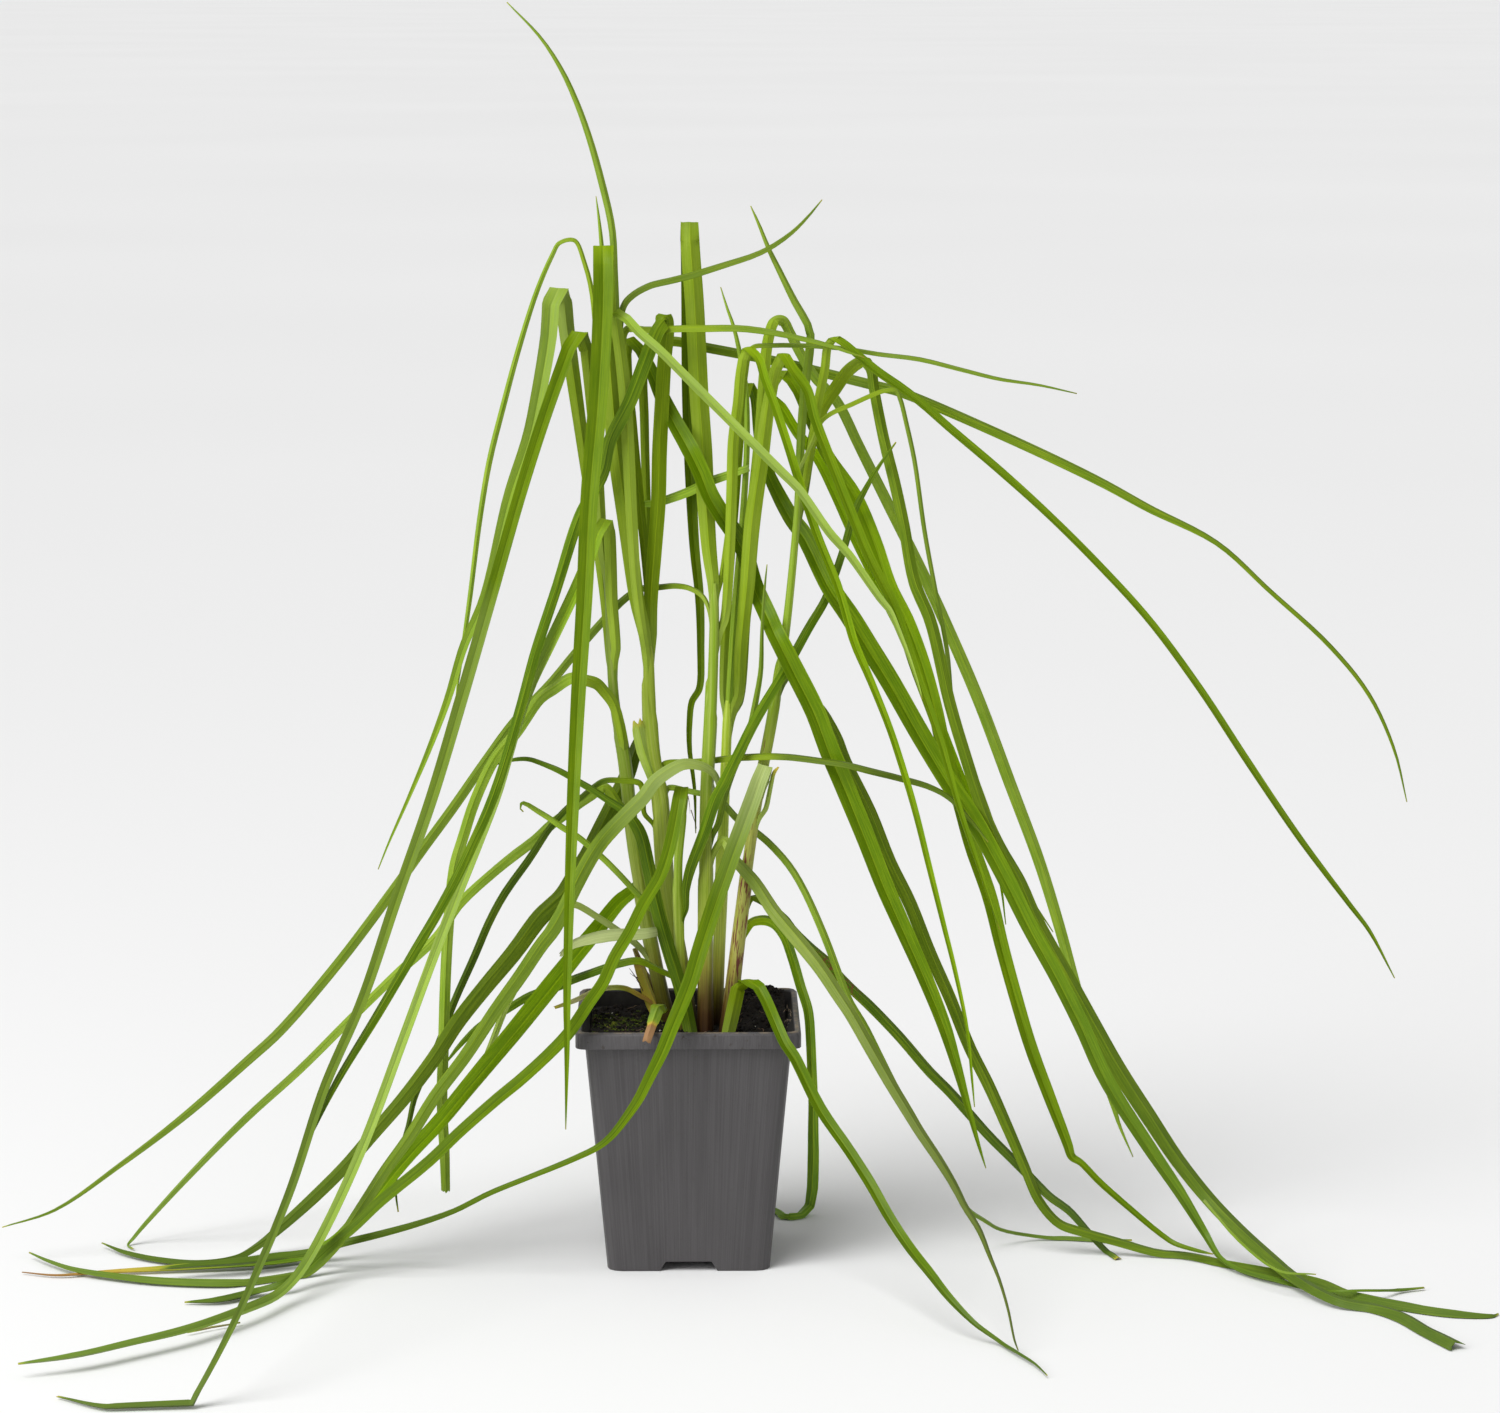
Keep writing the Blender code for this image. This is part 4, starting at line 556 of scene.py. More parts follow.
def build_crumbs(material):
    """Loose crumbs of peat and bark that lie on the bed, as one piece."""
    draw = random.Random(11)
    vertices, faces = [], []
    for _ in range(CRUMBS):
        x, y = free_soil_place(draw)
        size = draw.uniform(0.25, 0.8) * MM * draw.choice((0.7, 1.0, 1.0, 1.6))
        centre = Vector((x, y, crumbly_height(x, y) + size * 0.25))
        add_lump(vertices, faces, centre, size, draw.uniform(0.5, 1.0), draw)
    half = soil_half(1.6 * MM)
    for _ in range(HEAPED_CRUMBS):
        x = draw.uniform(10 * MM, half)
        y = half - abs(draw.gauss(0, 5)) * MM
        if x + y > 2 * half - BODY_CHAMFER:
            continue
        size = draw.uniform(0.3, 0.9) * MM
        piled = draw.uniform(-0.2, 0.6) * MM * heap_share(x, y)
        centre = Vector((x, y, crumbly_height(x, y) + size * 0.2 + piled))
        add_lump(vertices, faces, centre, size, draw.uniform(0.55, 1.0), draw)
    keep_loose("peat_crumbs", vertices, faces, material)


def build_perlite():
    """White crumbs of perlite among the peat, as one piece."""
    material = grain_material("perlite", (1800, 4.0, 0.65), [
        (0.35, (0.30, 0.27, 0.22)), (0.6, (0.72, 0.70, 0.64))], (0.8, 0.95), 0.25 * MM)
    draw = random.Random(23)
    vertices, faces = [], []
    for _ in range(PERLITE):
        x, y = free_soil_place(draw)
        size = draw.uniform(0.15, 0.42) * MM
        add_lump(vertices, faces, Vector((x, y, crumbly_height(x, y) + size * 0.5)), size, 0.9, draw)
    keep_loose("perlite_crumbs", vertices, faces, material)


def add_strand(vertices, faces, points, radii, sides=5):
    """A thin round strand through a few points, closed at both ends."""
    turns = [2 * math.pi * k / sides for k in range(sides)]
    sections = []
    for i, (point, radius) in enumerate(zip(points, radii)):
        tangent = (points[min(i + 1, len(points) - 1)] - points[max(i - 1, 0)]).normalized()
        across = tangent.orthogonal().normalized()
        above = tangent.cross(across)
        sections.append([point + (across * math.cos(a) + above * math.sin(a)) * radius for a in turns])
    first = len(vertices)
    more, ring_faces = loft(sections)
    vertices.extend(more)
    faces.extend(tuple(first + i for i in face) for face in ring_faces)


def build_fibres():
    """Brown bark fibres and root hairs that stick out of the peat, as one piece."""
    material = grain_material("bark_fibre", (900,), [
        (0.35, (0.060, 0.035, 0.020)), (0.65, (0.22, 0.145, 0.085))], (0.75, 0.95))
    draw = random.Random(37)
    vertices, faces = [], []
    for _ in range(FIBRES):
        x, y = free_soil_place(draw)
        heading = draw.uniform(0, 2 * math.pi)
        length = draw.uniform(2.0, 6.5) * MM
        bend = draw.uniform(-0.9, 0.9)
        lift = draw.uniform(0.1, 0.9) * MM
        points = []
        for step in range(len(FIBRE_TAPER)):
            share = step / (len(FIBRE_TAPER) - 1)
            angle = heading + bend * share
            px = x + math.cos(angle) * length * (share - 0.5)
            py = y + math.sin(angle) * length * (share - 0.5)
            inside = min(1.0, soil_half(1.2 * MM) / max(abs(px), abs(py), 1 * MM))
            px, py = px * inside, py * inside
            arch = lift * math.sin(math.pi * share)
            points.append(Vector((px, py, crumbly_height(px, py) + 0.1 * MM + arch)))
        thick = draw.uniform(0.08, 0.2) * MM
        add_strand(vertices, faces, points, [thick * r for r in FIBRE_TAPER])
    keep_loose("bark_fibres", vertices, faces, material)


def build_dry_fibres():
    """Pale dry shreds of old sheath that are caught on the rim at the right, as one piece."""
    material = grain_material("dry_fibre", (700,), [
        (0.35, (0.14, 0.09, 0.05)), (0.65, (0.42, 0.34, 0.24))], (0.7, 0.9))
    draw = random.Random(53)
    vertices, faces = [], []
    for _ in range(DRY_FIBRES):
        x = draw.uniform(38.6, 41.2) * MM
        y = draw.uniform(-30, 14) * MM
        middle = Vector((x, y, POT_HEIGHT + draw.uniform(-2.5, 0.3) * MM))
        heading = draw.gauss(math.pi / 2, 0.35)
        length = draw.uniform(1.5, 5.0) * MM
        points = []
        for step in range(len(DRY_FIBRE_TAPER)):
            share = step / (len(DRY_FIBRE_TAPER) - 1)
            angle = heading + draw.uniform(-0.2, 0.2)
            along = Vector((math.cos(angle), math.sin(angle), 0.0)) * (length * (share - 0.5))
            rise = Vector((0, 0, math.sin(math.pi * share) * draw.uniform(0.0, 1.4) * MM))
            points.append(middle + along + rise)
        thick = draw.uniform(0.05, 0.11) * MM
        add_strand(vertices, faces, points, [thick * r for r in DRY_FIBRE_TAPER])
    keep_loose("dry_fibres", vertices, faces, material)


def build_moss():
    """Thin moss: tufts of tiny pointed leaves, as one piece."""
    material = grain_material("moss", (260, 4.0), [
        (0.38, (0.020, 0.032, 0.004)), (0.56, (0.085, 0.120, 0.010)), (0.76, (0.26, 0.28, 0.03))],
        (0.6, 0.85), Specular_IOR_Level=0.25)
    draw = random.Random(41)
    half = soil_half(1.8 * MM)
    vertices, faces = [], []
    for _ in range(MOSS_TUFTS):
        x = max(-half, min(draw.gauss(-25, 9) * MM, half))
        y = max(-half, min(draw.gauss(6, 8) * MM, half))
        if abs(x) + abs(y) > 2 * half - BODY_CHAMFER:
            continue
        foot = Vector((x, y, crumbly_height(x, y) - 0.2 * MM))
        for _ in range(MOSS_LEAVES):
            angle = draw.uniform(0, 2 * math.pi)
            out = Vector((math.cos(angle), math.sin(angle), draw.uniform(0.5, 2.0))).normalized()
            length = draw.uniform(0.7, 1.7) * MM
            droop = Vector((0, 0, -0.25 * length))
            points = [foot, foot + out * length * 0.55, foot + out * length + droop]
            add_strand(vertices, faces, points, MOSS_TAPER, 4)
    keep_loose("moss_tufts", vertices, faces, material)


PEAT = peat()
build_peat_bed(PEAT)
build_crumbs(PEAT)
build_perlite()
build_fibres()
build_dry_fibres()
build_moss()


# Shoots
# Each shoot is a firm stack of leaf sheaths rolled round one another, pale at its foot and greener
# above, and darkened low down by dirt and painted shade. It grows from the root in the peat and
# ends where its leaves spread.

EYE = Vector((0.0, -2.0, 0.523))
LOOK_DOWN = math.radians(8.5)
SHEET_DISTANCE = 2017.2 * MM
SHEET_TO_AXIS = 25.2 * MM
SHEET_TO_FOOT = 226.2 * MM
LOOK_RIGHT = math.atan2(SHEET_TO_AXIS, SHEET_DISTANCE)
UPWARD = Vector((0, 0, 1))
LAID = None
REST_HEIGHT = 0.9
CURVE_STEPS = 16
SHOOT_SIDES = 48
SHOOT_FLATNESS = 0.86
SHOOT_ROOT = 4 * MM
SHOOT_STEP = 2.0 * MM
SHOOT_LEAST = 0.3 * MM
SHOOT_RIDGE = 0.10 * MM
SHOOT_CORNERS = 0.05
SHOOT_GREENS = (0.1, 0.8)
STAIN_RAGGED = 0.45
STAIN_STRENGTH = 0.8
SHOOT_SHARP_FROM = 38
SHEATH_TURN = 2.4
SHEATH_EDGE = 0.34 * MM
SHEATHS_INWARD = 0.42
SHEATHS_OUTWARD = 0.85
SHEATH_MOUTH = 0.55 * MM
MOUTH_SLOPE = 0.09
MOUTH_RAGGED = 0.02
MOUTH_SHARPNESS = 0.012
MOUTH_SWELLING = 0.3
STRAND_RELIEF = 0.07 * MM
SHEATH_YELLOW = (0.50, 0.55, 0.15)
SHEATH_LINE = (0.14, 0.21, 0.01)
SHEATH_TAN = (0.42, 0.30, 0.10)
STAIN_LIGHT = (0.27, 0.17, 0.065)
STAIN_DARK = (0.105, 0.045, 0.022)
FOOT_LENGTH = 22 * MM
TOP_LENGTH = 9 * MM
TOP_TAPER = 0.45
FOOT_DIRT_AND_SHADE_FROM = POT_HEIGHT - 6 * MM
FOOT_DIRT_AND_SHADE_TO = 130 * MM
FOOT_DIRT_AND_SHADE_UNEVEN = 20 * MM
SHOOT_PATHS = []


def line_of_sight(across, up):
    """The direction from the eye through a point of the upright sheet that the plant is drawn on."""
    level = math.cos(LOOK_DOWN)
    forward = Vector((math.sin(LOOK_RIGHT) * level, math.cos(LOOK_RIGHT) * level, -math.sin(LOOK_DOWN)))
    right = forward.cross(UPWARD).normalized()
    above = right.cross(forward)
    return forward * SHEET_DISTANCE + right * (across - SHEET_TO_AXIS) + above * (up - SHEET_TO_FOOT)


def seen(across, up, near, rest=REST_HEIGHT):
    """The point in space of a point drawn on the sheet, standing near or laid at a rest height."""
    sight = line_of_sight(across * MM, up * MM)
    if near is LAID:
        return EYE + sight * ((rest * MM - EYE.z) / sight.z)
    return EYE + sight * ((-near * MM - EYE.y) / sight.y)


def smooth_route(rows):
    """A smooth curve through rows of a point, a width and whether it is laid, as close samples."""
    points = [row[0] for row in rows]
    points = [points[0] * 2 - points[1]] + points + [points[-1] * 2 - points[-2]]
    knots = [0.0]
    for a, b in zip(points, points[1:]):
        knots.append(knots[-1] + max((b - a).length, 1e-6) ** 0.5)
    samples = []
    for span in range(1, len(points) - 2):
        p = points[span - 1:span + 3]
        t = knots[span - 1:span + 3]
        steps = CURVE_STEPS if span < len(points) - 3 else CURVE_STEPS + 1
        for step in range(steps):
            share = step / CURVE_STEPS
            now = t[1] + (t[2] - t[1]) * share
            a = [p[i].lerp(p[i + 1], (now - t[i]) / (t[i + 1] - t[i])) for i in range(3)]
            b = [a[i].lerp(a[i + 1], (now - t[i]) / (t[i + 2] - t[i])) for i in range(2)]
            place = b[0].lerp(b[1], (now - t[1]) / (t[2] - t[1]))
            before, after = rows[span - 1], rows[span]
            width = before[1] + (after[1] - before[1]) * share
            laid = before[2] + (after[2] - before[2]) * share
            samples.append((place, width, laid))
    return samples


def spaced(samples, gap):
    """Samples at least a gap apart, with the first and the last kept."""
    chosen = [samples[0]]
    for sample in samples[1:-1]:
        if (sample[0] - chosen[-1][0]).length >= gap:
            chosen.append(sample)
    return chosen + [samples[-1]]


def fibre_group():
    """Fine parallel fibres that run along a blade or a sheath, as values for colour and relief."""
    tree, enter, leave = new_group(
        "parallel_fibres",
        {"Strand Place": "place", "Fine Scale": "value", "Broad Scale": "value", "Run": "value"},
        {"Fibres": "value", "Bands": "value", "Clouds": "value"},
        {"Fine Scale": 2700.0, "Broad Scale": 850.0, "Run": 0.012})
    run = add_node(tree, "ShaderNodeCombineXYZ", {"X": 1.0, "Y": enter["Run"], "Z": 1.0}).outputs[0]
    along = add_stretch(tree, enter["Strand Place"], run)
    link_value(tree, leave["Fibres"], add_noise(tree, along, enter["Fine Scale"], 2.0))
    link_value(tree, leave["Bands"], add_noise(tree, along, enter["Broad Scale"], 3.0))
    link_value(tree, leave["Clouds"], add_noise(tree, enter["Strand Place"], 55.0, 4.0, 0.6))
    return tree


PARALLEL_FIBRES = fibre_group()


def add_mark(tree, label, kind="Fac"):
    """What is written on a mesh under one label."""
    return add_node(tree, "ShaderNodeAttribute", attribute_name=label).outputs[kind]


def add_tone(tree, colour, tone):
    """A colour made lighter or darker by a factor."""
    inputs = {0: colour, "Scale": tone}
    return add_node(tree, "ShaderNodeVectorMath", inputs, operation="SCALE").outputs["Vector"]


def sheath_material(name, low, high, flush):
    """A leaf sheath: pale below, greener above, brown where it is bruised, and dark with dirt and painted
    shade at its foot.
    """
    material, tree, shader = new_material(name, Specular_IOR_Level=0.3)
    strand = add_mark(tree, "strand_place", "Vector")
    marks = add_split(tree, add_mark(tree, "growth", "Vector"))
    fibres = add_group(tree, PARALLEL_FIBRES, {"Strand Place": strand, "Run": 0.01})
    fine, bands, clouds = fibres["Fibres"], fibres["Bands"], fibres["Clouds"]
    colour = add_blend(tree, marks["X"], low, high)
    colour = add_blend(tree, add_range(tree, bands, 0.42, 0.68, 0.0, 0.45), colour, SHEATH_YELLOW)
    colour = add_blend(tree, add_range(tree, fine, 0.46, 0.60, 0.0, 0.45), colour, SHEATH_LINE)
    colour = add_blend(tree, add_range(tree, clouds, 0.4, 0.7, 0.0, 0.4), colour, high)
    # Part tone, part painted light and shade: each shoot's colour is scaled by its own factor, lighter for
    # shoots that sit in shade.
    colour = add_tone(tree, colour, add_mark(tree, "tone"))
    tanned = add_range(tree, marks["Y"], 0.0, 1.0, 0.0, 0.4)
    colour = add_blend(tree, tanned, colour, SHEATH_TAN)
    start = add_sum(tree, "MULTIPLY_ADD", marks["Y"], -0.15, 0.66)
    full = add_sum(tree, "ADD", start, 0.05)
    flecks = add_patches(tree, add_stretch(tree, strand, (1.0, 0.09, 1.0)), 1100.0, start, full)
    brown = add_product(tree, flecks, add_range(tree, marks["Y"], 0.0, 0.3))
    colour = add_blend(tree, brown, colour, flush)
    streak = add_range(tree, bands, 0.42, 0.58)
    stain_colour = add_blend(tree, streak, STAIN_LIGHT, STAIN_DARK)
    stain = add_product(tree, add_range(tree, marks["Z"], 0.0, 0.6),
                        add_range(tree, clouds, 0.3, 0.6, 0.65, 1.0))
    colour = add_blend(tree, stain, colour, stain_colour)
    # Dirt and painted shade: from just above the peat up to about 130 mm, each shoot is multiplied darker
    # towards the soil, with an uneven edge.
    height = add_split(tree, add_place(tree))["Z"]
    height = add_sum(tree, "MULTIPLY_ADD", add_sum(tree, "SUBTRACT", bands, 0.5), FOOT_DIRT_AND_SHADE_UNEVEN, height)
    foot_dirt_and_shade = add_ramp(tree, add_range(tree, height, FOOT_DIRT_AND_SHADE_FROM, FOOT_DIRT_AND_SHADE_TO), [
        (0.0, (0.18, 0.12, 0.08)), (0.35, (0.38, 0.30, 0.17)),
        (0.7, (0.76, 0.67, 0.5)), (1.0, (1.0, 1.0, 1.0))])
    colour = add_blend(tree, 1.0, colour, foot_dirt_and_shade, "MULTIPLY")
    relief = add_sum(tree, "MULTIPLY_ADD", bands, 0.8, fine)
    rough = add_range(tree, fine, 0.3, 0.7, 0.34, 0.50)
    finish_surface(tree, shader, colour, rough, relief, STRAND_RELIEF)
    return material


def eased(value, low, high):
    """A value from 0 to 1 as it goes from low to high, with soft ends."""
    share = max(0.0, min(1.0, (value - low) / (high - low)))
    return share * share * (3 - 2 * share)


def along_stops(stops, share):
    """The value at a share of the length, from stops of a share and a value."""
    for (low, first), (high, second) in zip(stops, stops[1:]):
        if share <= high:
            return first + (second - first) * max(0.0, share - low) / max(high - low, 1e-6)
    return stops[-1][1]


def set_strand_marks(mesh, strand, growth, **shares):
    """Write where each point lies along its strand, and how it has grown, for the materials."""
    for label, values in (("strand_place", strand), ("growth", growth)):
        made = mesh.attributes.new(label, "FLOAT_VECTOR", "POINT")
        made.data.foreach_set("vector", [number for value in values for number in value])
    for label, values in shares.items():
        made = mesh.attributes.new(label, "FLOAT", "POINT")
        made.data.foreach_set("value", values)


def sheath_lift(mouths, angle, turn, share, seed):
    """How far the sheaths that are still closed at a place stand out round the shoot."""
    lift = 0.0
    for number, mouth in enumerate(mouths):
        facing = angle - turn - number * SHEATH_TURN
        rise = 0.5 - 0.5 * math.cos(facing)
        ragged = MOUTH_RAGGED * noise.noise(Vector((number * 9.0, angle, seed)))
        ends = mouth + MOUTH_SLOPE * (1 - rise) ** 2 + ragged
        shown = 1 - eased(share, ends, ends + MOUTH_SHARPNESS)
        lift += SHEATH_MOUTH * shown * (0.35 + 0.65 * eased(share, ends - MOUTH_SWELLING, ends))
        wander = turn + number * SHEATH_TURN + 0.5 * math.sin(share * 5 + number * 2 + seed)
        scroll = ((angle - wander) / (2 * math.pi)) % 1.0
        lift += SHEATH_EDGE * shown * (scroll ** 3)
    return lift


def shoot(name, route, material, slot, mouths, flecks=((0, 0), (1, 0)), turn=0.4, flare=0.2,
          stained=9, taper=TOP_TAPER, tone=1.0):
    """One shoot: rolled sheaths with an open edge each, and a mouth where each one ends."""
    rows = [(seen(across, up, near), width * MM, 0.0) for across, up, near, width in route]
    samples = spaced(smooth_route(rows), SHOOT_STEP)
    foot, foot_width, _ = samples[0]
    down = (foot - samples[1][0]).normalized()
    samples = [(foot + down * SHOOT_ROOT * k, foot_width * (1.0 + 0.05 * k), 0.0)
               for k in (1.5, 1.0, 0.5)] + samples
    SHOOT_PATHS.append([sample[0] for sample in samples])
    seed = sum(ord(letter) for letter in name) % 97
    length = sum((b[0] - a[0]).length for a, b in zip(samples, samples[1:]))
    thickest = (SHEATH_MOUTH + SHEATH_EDGE * 0.4) * len(mouths)
    gone = 0.0
    sections, strand, growth = [], [], []
    for i, (place, width, _) in enumerate(samples):
        before = samples[max(i - 1, 0)][0]
        after = samples[min(i + 1, len(samples) - 1)][0]
        if i:
            gone += (place - before).length
        share = gone / length
        tangent = (after - before).normalized()
        side = tangent.cross((place - EYE).normalized()).normalized()
        face = side.cross(tangent)
        swell = flare * math.exp(-gone / FOOT_LENGTH)
        narrow = 1 - taper * eased(TOP_LENGTH - length + gone, 0.0, TOP_LENGTH)
        ring = []
        for corner in range(SHOOT_SIDES):
            angle = 2 * math.pi * corner / SHOOT_SIDES
            lift = sheath_lift(mouths, angle, turn, share, seed)
            rough = Vector((math.cos(angle) * 5, math.sin(angle) * 5, seed + share * 3))
            ridge = SHOOT_RIDGE * noise.noise(rough)
            radius = width / 2 * (1 + swell) - thickest * SHEATHS_INWARD + lift * SHEATHS_OUTWARD
            radius = radius * narrow + ridge
            keel = 1 + SHOOT_CORNERS * math.cos(3 * (angle - turn))
            out = side * math.cos(angle) + face * math.sin(angle) * SHOOT_FLATNESS
            ring.append(place + out * max(radius * keel, SHOOT_LEAST))
            strand.append((angle * width / 2, gone, seed * 0.01))
            uneven = STAIN_RAGGED * noise.noise(Vector((angle * 2, seed, 0.0)))
            reach = stained * MM * (1 + uneven)
            stain = max(0.0, 1 - gone / reach) ** 0.6 * STAIN_STRENGTH
            growth.append((eased(share, *SHOOT_GREENS), along_stops(flecks, share), stain))
        sections.append(ring)
    piece = mesh_object(name.replace("shoot_", "sheaths_"), *loft(sections), material, SHOOT_SHARP_FROM)
    # The factor written here is part tone, part painted light and shade.
    set_strand_marks(piece.data, strand, growth, tone=[tone] * len(strand))
    keep(piece, slot, name)


SHEATH_PALE = sheath_material(
    "sheath_pale", (0.40, 0.45, 0.06), (0.28, 0.38, 0.02), (0.20, 0.075, 0.03))
SHEATH_GREEN = sheath_material(
    "sheath_green", (0.36, 0.42, 0.045), (0.19, 0.31, 0.004), (0.17, 0.045, 0.025))
SHEATH_BROWN = sheath_material(
    "sheath_brown", (0.36, 0.33, 0.1), (0.26, 0.25, 0.04), (0.12, 0.06, 0.022))

shoot("shoot_withered", [
    (-11, 97, -19, 4.4), (-13, 108, -19, 4), (-17, 119, -20, 3.4), (-21, 129.5, -21, 2.4)],
    SHEATH_BROWN, "sheath_brown", mouths=(0.7,), flecks=((0, 1.0), (1, 0.8)), stained=10, taper=0.1,
    flare=0.5, tone=1.08)
shoot("shoot_left", [
    (-6.5, 97, -10, 5.6), (-13, 125, -10, 5.8), (-21, 169, -9, 6), (-25, 205, -8, 5.6),
    (-29, 229, -8, 5.2), (-31, 269, -7, 4.8), (-32.5, 284, -7, 4)],
    SHEATH_GREEN, "sheath_green", mouths=(0.3, 0.62), turn=2.2, stained=16, flare=0.25, tone=0.84)
shoot("shoot_middle", [
    (1, 95, 2, 7), (-4, 129, 2, 7), (-8, 149, 2, 7), (-11, 189, 1.5, 6.8), (-14, 209, 1, 6.4),
    (-15, 229, 0, 6), (-15.5, 253.2, 0, 5.2)],
    SHEATH_PALE, "sheath_pale", mouths=(0.55, 0.8), turn=3.6, stained=18, flare=0.2, tone=0.86)
shoot("shoot_narrow", [
    (-1, 95, 9.5, 4), (-3, 129, 9.5, 4), (-3.5, 149, 10, 4), (-3.5, 165, 10.5, 4), (-2, 181, 11, 4),
    (-1.5, 190, 11, 4)], SHEATH_GREEN, "sheath_green", mouths=(0.6,), turn=1.2, tone=1.3)
shoot("shoot_centre", [
    (7.5, 95, 9, 5.6), (7.6, 149, 9, 5.6), (8, 189, 8, 5.6), (10, 229, 7, 5.4), (11, 261, 6, 5),
    (11, 275.5, 6, 4.4)],
    SHEATH_GREEN, "sheath_green", mouths=(0.35, 0.7), flecks=((0, 0.9), (0.12, 0.3), (0.3, 0), (1, 0)),
    turn=4.4, stained=34, flare=0.4)
shoot("shoot_back", [
    (12, 97, -4, 4.6), (13, 129, -5, 4.8), (14, 157, -6, 4.8), (15, 189, -7, 4.8), (16.5, 228.6, -9, 4.4)],
    SHEATH_PALE, "sheath_pale", mouths=(0.5,), turn=0.2, stained=26, flare=0.2, tone=1.5)
shoot("shoot_right", [
    (16, 95, 14, 6), (18.5, 117, 14, 5.5), (22.5, 149, 13, 5), (28, 189, 10, 5), (34, 221, 6, 4.6),
    (39, 253, 4, 4.6), (42.5, 285, 2, 4.2), (45, 316, 0, 3.6)],
    SHEATH_GREEN, "sheath_green", mouths=(0.28, 0.6),
    flecks=((0, 0.9), (0.2, 1), (0.45, 0.6), (0.6, 0), (1, 0)), turn=5.0, stained=24, flare=0.3,
    tone=1.15)


# Leaves that fall to the left
# Each leaf is one long strap of green blade, folded along its midrib like a shallow gutter. It
# grows out of its shoot, and has bent over or kinked under its own weight; fine veins run along it.

BLADE_COLUMNS = (-1.0, -0.82, -0.55, -0.27, 0.0, 0.27, 0.55, 0.82, 1.0)
BLADE_RING = 2 * len(BLADE_COLUMNS)
SHARP_COLUMNS = (0, 4, 8, 9, 13, 17)
BLADE_THICKNESS = 0.9 * MM
TIP_THICKNESS = 0.3 * MM
BLADE_LEAST = 0.15 * MM
THIN_SHARE = 0.5
RIPPLE = 0.10
KEEL_SHARE = 0.24
KEEL_CURVE = 0.92
KEEL_LEAST = 0.02 * MM
GROUND_GAP = 0.35 * MM
SIDE_CARRY = 0.25
UPWARD_LEAN = 0.8
FLATTEST = 3.0
BEND_SHARE = 0.8
KEEL_BEND_SHARE = 0.4
BEND_LEAST = 0.2 * MM
BLADE_ANGLE = math.radians(5)
BLADE_STEP = 4.5 * MM
DRY_TIP = 5 * MM
TIP_DRYNESS = 0.3
SHRUNK_FROM = 0.35
FOLD_WINDOW = 4 * MM
FOLD_ANGLES = (math.radians(45), math.radians(100))
FOLD_CARRY = 6.0
FOLD_SIDES = 12
CREASE_OPENS = 11 * MM
CREASE_CLEAR = 0.3 * MM
LEAST_SLANT = 0.6
VEIN_GREEN = (0.36, 0.49, 0.012)
RIB_HIGHLIGHT_GREEN = (0.33, 0.46, 0.012)
MARGIN_GREEN = (0.26, 0.39, 0.008)
RISING_LIGHT_GREEN = (0.275, 0.375, 0.0)
FAR_SHADE_GREEN = (0.115, 0.195, 0.045)
PALE_AND_SHEEN_GREEN = (0.46, 0.53, 0.22)
SPOT_BROWN = (0.15, 0.050, 0.020)
FAR_SHADE_STRENGTH = 0.45
FAR_SHADE_FROM = 0.45
RISING_LIGHT_TONE = 1.0
RISING_LIGHT_TINT = 0.6
RISING_LIGHT_STRENGTH = 0.65
RISING_LIGHT_ENDS = (-0.02, 0.03)
BENT_BETWEEN = (0.05, 0.8)
ROOT_REACH = 12
SHEATH_NEAR = 15 * MM
SHEATH_DEPTH = 18
SHEATHED_WIDTHS = (0.45, 0.85)
ROOT_WIDTH = 0.8
CLEAR_OF_SOIL = 25 * MM


